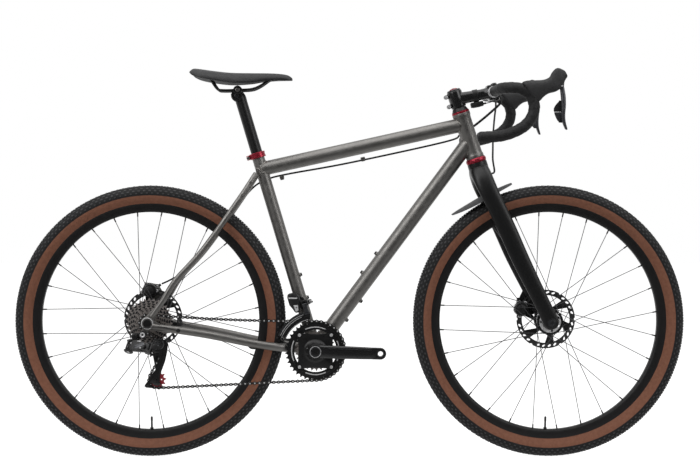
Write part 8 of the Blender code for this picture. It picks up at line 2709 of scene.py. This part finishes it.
@dataclass
class RearDerailleur:
    """The electronic rear derailleur: body, links, knuckle, cage and pulleys."""

    line: ChainLine
    pins: Sequence[Vector]
    hanger: Flat = HANGER_BOLT
    base_pins: Vector = Vector((-0.5812, -0.0800, 0.3048))
    tilt: float = math.radians(15.8)
    slant: float = math.radians(32)
    link: float = 0.0527
    link_half_width: float = 0.0090
    pin_spread: float = 0.0070
    cage_gap: float = 0.0045
    cage_plate: float = 0.0015
    cover_outline: tuple[Flat, ...] = (
        (-0.0205, -0.0090), (-0.0228, -0.0020), (-0.0215, 0.0060), (-0.0165, 0.0120),
        (-0.0090, 0.0150), (0.0020, 0.0145), (0.0110, 0.0115), (0.0190, 0.0085), (0.0228, 0.0030),
        (0.0226, -0.0040), (0.0195, -0.0095), (0.0120, -0.0135), (0.0020, -0.0158),
        (-0.0090, -0.0160), (-0.0165, -0.0135),
    )
    inset_outline: tuple[Flat, ...] = (
        (-0.0085, -0.0065), (-0.0050, -0.0015), (0.0150, 0.0085), (0.0198, 0.0070),
        (0.0212, 0.0015), (0.0180, -0.0020), (0.0040, -0.0110), (-0.0030, -0.0118),
    )
    outer_cage: tuple[Flat, ...] = (
        (-0.5165, 0.3205), (-0.4985, 0.3240), (-0.4870, 0.3200), (-0.4816, 0.3107),
        (-0.4821, 0.2895), (-0.4850, 0.2659), (-0.4911, 0.2423), (-0.4950, 0.2304),
        (-0.4940, 0.2180), (-0.4935, 0.2100), (-0.4870, 0.2031), (-0.4830, 0.1985),
        (-0.4845, 0.1935), (-0.4911, 0.1918), (-0.5287, 0.1918), (-0.5335, 0.1949),
        (-0.5310, 0.2010), (-0.5242, 0.2120), (-0.5190, 0.2245), (-0.5086, 0.2423),
        (-0.5041, 0.2600), (-0.5012, 0.2776), (-0.5035, 0.2870), (-0.5150, 0.2850),
        (-0.5240, 0.2930), (-0.5250, 0.3060),
    )
    inner_cage: tuple[Flat, ...] = (
        (-0.5225, 0.3010), (-0.5105, 0.3025), (-0.5000, 0.2890), (-0.4935, 0.2410),
        (-0.4920, 0.2100), (-0.5010, 0.2030), (-0.5110, 0.2090), (-0.5100, 0.2420),
        (-0.5235, 0.2890),
    )

    def build(self) -> None:
        """Builds the whole derailleur."""
        self._body()
        self._links()
        self._knuckle()
        self._cage()
        for name, finish in (("guide", PLASTIC), ("tension", RED_RESIN)):
            self._pulley(name, finish)

    def _body(self) -> None:
        """Rounds the body's casting and caps its hanger bolt."""
        form = Form()
        form.copied("rear_derailleur_body", PLASTIC, 0.0010)
        spot = Vector((self.hanger[0], -0.0786, self.hanger[1]))
        barrel = [
            (0.0, 0.0), (0.0096, 0.0), (0.0101, 0.0006), (0.0101, 0.0150), (0.0096, 0.0178),
            (0.0070, 0.0186), (0.0, 0.0186),
        ]
        seat = drive_side(spot)
        form.turn(barrel, seat, GLOSS_BLACK, 48)
        form.bolt(raised(seat, 0.0178), 0.0068, 0.0018, SATIN_SILVER, 0.5)
        boss = drive_side((-0.5680, 0.0, 0.3322))
        form.plate(circle(0.0092, 32), 0.0785, 0.0930, boss, PLASTIC, (), 0.0026)
        form.plate(circle(0.0052, 24), 0.0925, 0.0938, boss, BLACK, (), 0.0004)
        arm = oval((0.0, 0.0), (0.0200, 0.0040), 0.0074)
        form.plate(arm, 0.0785, 0.0885, boss, BLACK, (), 0.0020)
        _, _, pin = self._axes()
        for sign in (1, -1):
            face = self.base_pins + pin * sign * 0.0122
            form.bar(face, face + pin * sign * 0.0042, 0.0132, PLASTIC, 40, 0.0022)
            head = aimed(face + pin * sign * 0.0040, pin * sign, FORWARD)
            form.bolt(head, 0.0040, 0.0012, SATIN_SILVER)
        form.piece("derailleur_casting", "frame", ["rear_derailleur_body"])

    def _axes(self) -> tuple[Vector, Vector, Vector]:
        """The parallelogram's forward, slanted and pin directions."""
        forward = Vector((math.cos(self.tilt), 0, -math.sin(self.tilt)))
        downward = Vector((-math.sin(self.tilt), 0, -math.cos(self.tilt)))
        slanted = LATERAL * math.cos(self.slant) + downward * math.sin(self.slant)
        return forward, slanted, forward.cross(slanted)

    def _links(self) -> None:
        """Casts the outer link with its sculpted cover, and rounds the inner one."""
        forward, slanted, pin = self._axes()
        shift = (COG_COUNT - 1) * COG_SPACING
        swing = math.asin(shift / (2 * self.link * math.cos(self.slant)))
        heading_of = forward * math.cos(swing) - slanted * math.sin(swing)
        origin = self.base_pins - slanted * self.pin_spread
        place = aimed(origin, pin, heading_of)
        half = self.link_half_width
        form = Form()
        form.plate(oval((0, 0), (self.link, 0), 0.0042, 8), -half, half, place, BLACK, (), 0.0010)
        for reach in (0, self.link):
            low, high = (Vector((reach, 0, way * (half + 0.003))) for way in (-1, 1))
            form.bar(place @ low, place @ high, 0.0018, STEEL, 12)
        middle = self.link / 2
        form.block(place @ Matrix.Translation((middle, -0.0055, 0)), (0.030, 0.0060, 0.016), BLACK)
        outward = -(pin.cross(heading_of))
        face = aimed(place @ Vector((middle, -0.0070, -0.0030)), outward, heading_of)
        cover = eased(self.cover_outline, 3, closed=True)
        form.plate(cover, 0.0, 0.0072, face, PLASTIC, (), 0.0026)
        form.plate(self.inset_outline, 0.0060, 0.0082, face, DARK_GREY, (), 0.0008)
        bright = oval((0.0, 0.0102), (0.0085, 0.0108), 0.0010, 4)
        form.plate(bright, 0.0060, 0.0080, face, SATIN_SILVER, (), 0.0003)
        for x, y in ((-0.0180, 0.0030), (0.0135, -0.0085), (0.0195, 0.0032)):
            screw = face @ Matrix.Translation((x, y, 0.0070))
            form.bolt(screw, 0.0017, 0.0010, SATIN_SILVER)
        form.piece("rd_outer_link_casting", "rd_outer_link", ["rd_outer_link"])
        form = Form()
        form.copied("rd_inner_link", BLACK, 0.0012)
        form.piece("rd_inner_link_casting", "rd_inner_link", ["rd_inner_link"])

    def _knuckle(self) -> None:
        """Rounds the knuckle and caps it with a grooved disc."""
        form = Form()
        form.copied("rd_knuckle", PLASTIC, 0.0010)
        face = SMALL_COG_Y - self.cage_gap - self.cage_plate - 0.001
        seat = drive_side((CAGE_PIVOT[0], face - 0.0148, CAGE_PIVOT[1]))
        cap = [
            (0.0, 0.0), (0.0138, 0.0), (0.0144, 0.0006), (0.0144, 0.0052), (0.0138, 0.0064),
            (0.0118, 0.0070), (0.0112, 0.0066), (0.0104, 0.0071), (0.0, 0.0074),
        ]
        form.turn(cap, seat, GLOSS_BLACK, 56)
        collar = [
            (0.0142, -0.0012), (0.0154, -0.0012), (0.0156, 0.0), (0.0150, 0.0012),
            (0.0142, 0.0012),
        ]
        form.turn(collar, seat, DARK_GREY, 56)
        form.bolt(raised(seat, 0.0068), 0.0046, 0.0014, DARK_GREY)
        form.turn(hoop(0.0062, 0.0100, -0.0146, 0.0), seat, BLACK, 40)
        form.piece("knuckle_casting", "rd_knuckle", ["rd_knuckle"])

    def _cage(self) -> None:
        """Cuts the two cage plates, their windows and their bolts."""
        form = Form()
        place = drive_side((0, SMALL_COG_Y, 0))
        inner = [self.line.carried(spot) for spot in self.inner_cage]
        outer = [self.line.carried(spot) for spot in self.outer_cage]
        guide, tension = (self.line.sprockets()[name][:2] for name in ("guide", "tension"))
        start, end = math.radians(-150), math.radians(-50)
        window = [polar(0.0212, start + (end - start) * step / 10, tension) for step in range(11)]
        window += [polar(0.0158, end + (start - end) * step / 8, tension) for step in range(9)]
        near, far = self.cage_gap, self.cage_gap + self.cage_plate
        form.plate(outer, near, far, place, GLOSS_BLACK, [window], 0.0004)
        form.plate(inner, -far, -near, place, BLACK, (), 0.0004)
        for x, z in (guide, tension):
            spot = Vector((x, SMALL_COG_Y, z))
            form.bar(spot - LATERAL * 0.0060, spot + LATERAL * 0.0068, 0.0029, STEEL, 20)
            form.bolt(drive_side(spot - LATERAL * 0.0059), 0.0044, 0.0016, BLACK, 0.5)
        stub = Vector((CAGE_PIVOT[0], SMALL_COG_Y - 0.0050, CAGE_PIVOT[1]))
        form.bar(stub, stub - LATERAL * 0.0190, 0.0055, STEEL, 24)
        form.piece("cage_plates", "rd_cage", ["rd_cage"])

    def _pulley(self, name: str, finish: Finish) -> None:
        """Cuts one pulley with round holes and its bearing.

        Args:
            name: The pulley's name.
            finish: What its teeth are made of.
        """
        form = Form()
        x, z, _, _ = self.line.sprockets()[name]
        place = drive_side((x, SMALL_COG_Y, z))
        outline = toothed(self.line.pulley_teeth, self.line.gap(name, self.pins))
        holes = [circle(0.0068, 28)]
        holes += [circle(0.0019, 10, polar(0.0118, math.tau * step / 6)) for step in range(6)]
        form.plate(outline, -0.0009, 0.0009, place, finish, holes)
        bearing = [
            (0.0037, -0.0036), (0.0074, -0.0036), (0.0078, -0.0028), (0.0078, 0.0028),
            (0.0074, 0.0036), (0.0037, 0.0036),
        ]
        form.turn(bearing, place, STEEL, 32)
        form.piece(f"{name}_wheel", f"{name}_pulley", [f"{name}_pulley"])


@dataclass
class FrontDerailleur:
    """The motor block on its clamp, the links and the cage."""

    lean: float = math.radians(13)
    pin_distance: float = 0.128
    link: float = 0.0255
    motor: tuple[Flat, ...] = (
        (-0.1666, 0.4392), (-0.1532, 0.4425), (-0.1434, 0.4418), (-0.1345, 0.4330),
        (-0.1312, 0.4180), (-0.1312, 0.4010), (-0.1345, 0.3915), (-0.1450, 0.3890),
        (-0.1524, 0.4000), (-0.1612, 0.4100), (-0.1668, 0.4298),
    )
    tail: Flat = (-0.1798, 0.3220)
    radii: Flat = (0.0848, 0.1030)

    def build(self) -> None:
        """Builds the whole derailleur."""
        self._body()
        for node in ("fd_outer_link", "fd_inner_link"):
            form = Form()
            form.copied(node, DARK_GREY, 0.0007)
            form.piece(f"{node}_casting", node, [node])
        self._cage()

    def _pins(self) -> tuple[Vector, Vector, Vector, Vector]:
        """The outward radial and pin directions, and the upper and lower pins' middles."""
        radial = Vector((-math.sin(self.lean), 0, math.cos(self.lean)))
        pin = Vector((radial.z, 0, -radial.x))
        middle = LATERAL * (OUTER_RING_Y + INNER_RING_Y) / 2
        upper = BOTTOM_BRACKET + radial * self.pin_distance + middle
        swing = math.asin((INNER_RING_Y - OUTER_RING_Y) / (2 * self.link))
        lower = upper - (radial * math.cos(swing) + LATERAL * math.sin(swing)) * self.link
        return radial, pin, upper, lower

    @staticmethod
    def _ears(form: Form, middle: Vector, pin: Vector, sign: int) -> None:
        """Adds two rounded ears and the bridge between them.

        Args:
            form: The form that takes them.
            middle: The middle of the pins that they hold.
            pin: The pins' direction.
            sign: Which way the bridge lies.
        """
        ear = [
            (-0.0080, -0.0045), (0.0080, -0.0045), (0.0101, -0.0020), (0.0101, 0.0070),
            (0.0070, 0.0100), (-0.0070, 0.0100), (-0.0101, 0.0070), (-0.0101, -0.0020),
        ]
        outline = [(x, y * sign) for x, y in ear]
        place = aimed(middle, pin, LATERAL)
        for low, high in ((0.0063, 0.0091), (-0.0091, -0.0063)):
            form.plate(outline, low, high, place, BLACK, (), 0.0007)
        bridge = place @ Matrix.Translation((0, sign * 0.0078, 0))
        form.block(bridge, (0.0196, 0.0046, 0.0170), BLACK)

    def _body(self) -> None:
        """Casts the motor block, and bolts its clamp round the seat tube."""
        form = Form()
        _, pin, upper, _ = self._pins()
        side = drive_side((0, 0, 0))
        form.plate(self.motor, 0.0245, 0.0452, side, PLASTIC, (), 0.0042)
        strip = side @ Matrix.Translation((-0.1520, 0.4292, 0.0452))
        form.block(strip, (0.0230, 0.0034, 0.0016), SATIN_SILVER, 0.0006)
        badge = ((-0.1500, 0.4105), (-0.1385, 0.4115), (-0.1368, 0.3960), (-0.1440, 0.3930))
        eye = circle(0.0018, 12, (-0.1428, 0.4040))
        form.plate(badge, 0.0448, 0.0464, side, SATIN_SILVER, [eye], 0.0004)
        form.block(Matrix.Translation((-0.1400, -0.0220, 0.4120)), (0.018, 0.014, 0.011), BLACK)
        across = (
            (-0.1400, 0.4350), (-0.1235, 0.4290), (-0.1175, 0.4180), (-0.1150, 0.4030),
            (-0.1200, 0.3990), (-0.1400, 0.3990),
        )
        form.plate(across, 0.0205, 0.0285, side, BLACK, (), 0.0014)
        for x, z in ((-0.1215, 0.4205), (-0.1190, 0.4085)):
            head = side @ Matrix.Translation((x, z, 0.0283))
            form.bolt(head, 0.0030, 0.0014, SATIN_SILVER)
        self._ears(form, upper, pin, 1)
        bridge = upper + Vector((-0.0160, 0.0060, 0.0060))
        form.block(Matrix.Translation(bridge), (0.0180, 0.0110, 0.0080), BLACK)
        place = aimed(on_seat_tube(0.1265), SEAT_DIRECTION, FORWARD)
        ring = [
            (0.0171, -0.0062), (0.0214, -0.0062), (0.0220, -0.0054), (0.0220, 0.0054),
            (0.0214, 0.0062), (0.0171, 0.0062),
        ]
        form.turn(ring, place, BLACK, 56)
        for reach in (0.0062, -0.0062):
            lip = hoop(0.0171, 0.0217, reach - 0.0005, reach + 0.0005)
            form.turn(lip, place, SATIN_SILVER, 56)
        ear = place @ Matrix.Translation((0.0235, 0, 0))
        form.block(ear, (0.0080, 0.0120, 0.0110), BLACK, 0.0015)
        form.bolt(drive_side(place @ Vector((0.0245, -0.0055, 0.0))), 0.0040, 0.0030, SATIN_SILVER)
        stub = place @ Vector((0.0262, 0.0, -0.0020))
        form.bar(stub, place @ Vector((0.0300, 0.0, -0.0030)), 0.0024, BLACK, 16, 0.0005)
        form.piece("shifter_block", "frame", ["front_derailleur_body"])

    def _band(self, low: float, high: float, start: float, end: float, steps: int) -> list[Flat]:
        """A band round the bottom bracket between two radii and two angles in degrees."""
        first, last = math.radians(start), math.radians(end)
        spots = arc(low, first, last, steps) + arc(high, last, first, steps)
        return [(BOTTOM_BRACKET.x + x, BOTTOM_BRACKET.z + z) for x, z in spots]

    def _cage(self) -> None:
        """Presses the cage's two curved plates, slotted, with thin silver ribs painted on as
        highlights and a bolt at the tail.
        """
        form = Form()
        _, pin, _, lower = self._pins()
        place = drive_side((0, OUTER_RING_Y, 0))
        low, high = self.radii
        outer = self._band(low, high, 99, 158, 14)
        window = self._band(0.0905, 0.0945, 128, 150, 8)
        form.plate(outer, 0.0045, 0.0056, place, BLACK, [window], 0.0003)
        inner = self._band(low, high + 0.0050, 99, 158, 14)
        form.plate(inner, -0.0056, -0.0045, place, SPOKE_STEEL, (), 0.0003)
        # Three thin silver strips along the cage's curve: painted highlights.
        for radius, start, end in ((0.0862, 103, 156), (0.0972, 112, 157), (0.1018, 106, 156)):
            rib = self._band(radius - 0.0005, radius + 0.0005, start, end, 12)
            form.plate(rib, 0.0054, 0.0062, place, SATIN_SILVER, (), 0.0002)
        spot = Vector((self.tail[0], OUTER_RING_Y, self.tail[1]))
        form.bar(spot - LATERAL * 0.0064, spot + LATERAL * 0.0064, 0.0040, STEEL, 20, 0.0005)
        form.bolt(drive_side(spot - LATERAL * 0.0062), 0.0030, 0.0012, BLACK)
        self._ears(form, lower, pin, -1)
        form.piece("shifter_cage", "fd_cage", ["fd_cage"])


# Brakes, hoses and wires


@dataclass
class Caliper:
    """One hydraulic caliper with its fins, its bolts and its hose fitting."""

    label: str
    body: str
    centre: Flat
    axle: Vector
    low_y: float
    high_y: float
    rotor_y: float
    fitting: Row
    bridge_radius: float = 0.0820
    slot_half: float = 0.0017

    def build(self) -> None:
        """Rounds the casting and adds what is bolted to it."""
        form = Form()
        node = f"{self.label}_caliper"
        spot = Vector((self.centre[0], 0, self.centre[1]))
        outward = (spot - self.axle).normalized()
        middle = LATERAL * (self.low_y + self.high_y) / 2
        place = aimed(spot + middle, LATERAL, outward)
        half = (self.high_y - self.low_y) / 2
        rotor = self.rotor_y - (self.low_y + self.high_y) / 2
        bridge = self.bridge_radius - (spot - self.axle).length
        shell = squared_oval(0.0172, 0.0196, 0.85, 28)
        crown = [(max(x, bridge), y * 0.93) for x, y in shell if x > bridge - 0.004]
        for low, high in ((-half, rotor - self.slot_half), (rotor + self.slot_half, half)):
            form.plate(shell, low, high, place, BLACK, (), min(0.0038, (high - low) * 0.3))
        form.plate(crown, -half * 0.86, half * 0.86, place, BLACK, (), 0.0012)
        for index in range(7):
            turn = Matrix.Rotation(math.radians(-42 + 14 * index), 4, "Z")
            fin = place @ turn @ Matrix.Translation((0.0186, 0.0, 0.0))
            form.block(fin, (0.0040, 0.0017, half * 1.5), BLACK, 0.0005)
        for sign in (1, -1):
            eye = Matrix.Translation((-0.0030, sign * 0.0205, 0.0))
            lug = place @ eye
            form.plate(circle(0.0058, 24), -half * 0.55, half * 0.55, lug, BLACK, (), 0.0012)
            for way in (1, -1):
                form.bolt(facing(raised(lug, way * half * 0.53), way), 0.0040, 0.0024, SATIN_SILVER)
        disc = [(0.0, 0.0), (0.0118, 0.0), (0.0118, 0.0010), (0.0104, 0.0020), (0.0, 0.0022)]
        for way in (1, -1):
            form.turn(disc, facing(raised(place, way * (half - 0.0010)), way), PLASTIC, 40)
        start = Vector(self.fitting)
        inward = (place.translation - start).normalized()
        form.bar(start, start + inward * 0.0120, 0.0042, BLACK, 6, 0.0006)
        form.bar(start - inward * 0.0030, start + inward * 0.001, 0.0036, BLACK, 20, 0.0005)
        joint = start + inward * 0.0085
        ring = aimed(joint - LATERAL * 0.0032, LATERAL, outward)
        form.turn(hoop(0.0028, 0.0066, 0.0, 0.0064), ring, BLACK, 28)
        form.bolt(drive_side(joint - LATERAL * 0.0030), 0.0044, 0.0020, SATIN_SILVER)
        form.piece(f"{self.label}_brake_casting", self.body, [node])


@dataclass
class Cords:
    """The two brake hoses and the derailleurs' wires."""

    hose: float = 0.0025
    wire: float = 0.0012
    bar_radius: float = 0.0119
    rear: tuple[Row, ...] = (
        (0.4050, -0.0320, 0.9530), (0.3810, -0.0060, 0.9270), (0.3530, 0.0200, 0.9020),
        (0.3350, 0.0340, 0.8880), (0.3030, 0.0330, 0.8680), (0.2600, 0.0230, 0.8480),
        (0.0000, 0.0230, 0.7910), (-0.1700, 0.0235, 0.7600), (-0.2250, 0.0280, 0.7450),
        (-0.2680, 0.0435, 0.7180), (-0.3300, 0.0600, 0.6400), (-0.4000, 0.0725, 0.5550),
        (-0.4550, 0.0800, 0.4920), (-0.4900, 0.0790, 0.4700), (-0.5140, 0.0660, 0.4590),
    )
    front: tuple[Row, ...] = (
        (0.4000, 0.0360, 0.9480), (0.3940, 0.0200, 0.9100), (0.3890, 0.0080, 0.8650),
        (0.3877, 0.0020, 0.8300), (0.3877, 0.0020, 0.7985), (0.3920, 0.0030, 0.7680),
    )
    rear_wire: tuple[Row, ...] = (
        (-0.4584, -0.0775, 0.3480), (-0.4750, -0.0800, 0.3520), (-0.5000, -0.0850, 0.3570),
        (-0.5250, -0.0875, 0.3570), (-0.5450, -0.0900, 0.3560), (-0.5630, -0.0900, 0.3520),
        (-0.5760, -0.0850, 0.3430), (-0.5810, -0.0760, 0.3310), (-0.5802, -0.0735, 0.3253),
    )

    def _start(self, side: Side) -> list[Vector]:
        """A hose's first points, out of the tape's end and along the bar."""
        beside = Vector((0.77, 0, -0.64)) * (self.bar_radius + self.hose + CLEARANCE)
        return [BAR_CENTRE + beside + LATERAL * side.value * out for out in (0.0505, 0.0445)]

    def build(self) -> None:
        """Lays every hose and wire."""
        rear = self._start(Side.RIGHT) + [Vector(row) for row in self.rear]
        self._lay("rear_hose", "frame", rear, self.hose, ["rear_brake_hose"], (2, 5))
        end = on_steering(-0.047, 0.0290, 0.004)
        front = self._start(Side.LEFT) + [Vector(row) for row in self.front] + [end]
        self._lay("front_hose", "steering", front, self.hose, ["front_brake_hose"])
        self._lay("shift_wire", "frame", self.rear_wire, self.wire, ["derailleur_wire"])
        ahead, up = STEM_DIRECTION, STEM_UPWARD
        case = BAR_CENTRE - ahead * 0.028 - up * 0.0250
        for side in Side:
            out = LATERAL * side.value
            wire = [
                case - ahead * 0.002 + out * 0.005,
                case + ahead * 0.012 + out * 0.008,
                BAR_CENTRE - up * 0.0230 + out * 0.022 - ahead * 0.004,
                BAR_CENTRE - up * 0.0150 + out * 0.040 + ahead * 0.002,
                BAR_CENTRE - up * 0.0128 + out * 0.054,
            ]
            self._lay(f"control_wire_{side.label}", "steering", wire, 0.0010, ())

    def _lay(
        self,
        name: str,
        body: str,
        points: Sequence[Sequence[float]],
        radius: float,
        replaces: Sequence[str],
        sleeve: tuple[int, int] | None = None,
    ) -> None:
        """Lays one cord along a smooth path.

        Args:
            name: The piece's name.
            body: The body that it rides on.
            points: The points that it passes through.
            radius: Its radius.
            replaces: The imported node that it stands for.
            sleeve: The first and last point under a ribbed sleeve, if it has one.
        """
        form = Form()
        path = eased_path(points, 10)
        form.loft(stations(path, (radius, radius), (0.1, 1, 0.1), carried=True), HOSE_RUBBER, 14)
        if sleeve:
            covered = path[sleeve[0] * 10 : sleeve[1] * 10]
            sizes = [(radius * (1.36 if step % 2 else 1.24),) * 2 for step in range(len(covered))]
            form.loft(stations(covered, sizes, (0.1, 1, 0.1), carried=True), TAPE, 16)
        made = form.piece(name, body, replaces, 60.0)


def dress_rest() -> None:
    """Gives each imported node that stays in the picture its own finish."""
    finishes = {"freehub_body": DARK_GREY, "crank_axle": STEEL, "rear_thru_axle": BLACK}
    for node, finish in finishes.items():
        for slot in bpy.data.objects[node].material_slots:
            slot.material = finish.material()


def wheels() -> list[Wheel]:
    """Both wheels, with their spokes' and valves' places as in the photograph."""
    return [
        Wheel(
            "front", FRONT_AXLE, phase=math.radians(4.76), valve_angle=math.radians(-91.6),
            right_flange=-0.0330, left_flange=0.0215, rotor_y=0.0390,
        ),
        Wheel(
            "rear", REAR_AXLE, phase=math.radians(6.96), valve_angle=math.radians(-89.4),
            right_flange=-0.0205, left_flange=0.0335, rotor_y=0.0550,
        ),
    ]


def calipers(front: Wheel, rear: Wheel) -> list[Caliper]:
    """Both calipers, each beside its wheel's rotor."""
    return [
        Caliper(
            "front", "steering", (0.4690, 0.3930), front.centre, low_y=0.0238, high_y=0.0557,
            rotor_y=front.rotor_y, fitting=(0.4620, 0.0480, 0.4190),
        ),
        Caliper(
            "rear", "frame", (-0.5460, 0.4420), rear.centre, low_y=0.0396, high_y=0.0707,
            rotor_y=rear.rotor_y, fitting=(-0.5190, 0.0620, 0.4560),
        ),
    ]


def main() -> None:
    """Dresses the whole bicycle."""
    logging.basicConfig(level=logging.INFO, format="%(name)s: %(message)s")
    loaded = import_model()
    LOG.info("%d packed nodes", len(loaded["nodes"]))
    front, rear = wheels()
    line = ChainLine()
    pins = line.pins()
    for part in (
        Studio(),
        Cords(),
        front,
        rear,
        Hub(front, right_end=-0.0497, left_end=0.0497, bore=0.0079),
        Hub(rear, right_end=-0.0258, left_end=0.0707, bore=0.0065),
        Frameset(),
        Fork(),
        Headset(),
        Stem(),
        Handlebar(),
        *(Control(side) for side in Side),
        Seat(),
        Chain(pins),
        Cassette(line.gap("cog", pins)),
        Crankset(line.gap("ring", pins)),
        RearDerailleur(line, pins),
        FrontDerailleur(),
        *calipers(front, rear),
    ):
        part.build()
    dress_rest()


if __name__ == "__main__":
    main()
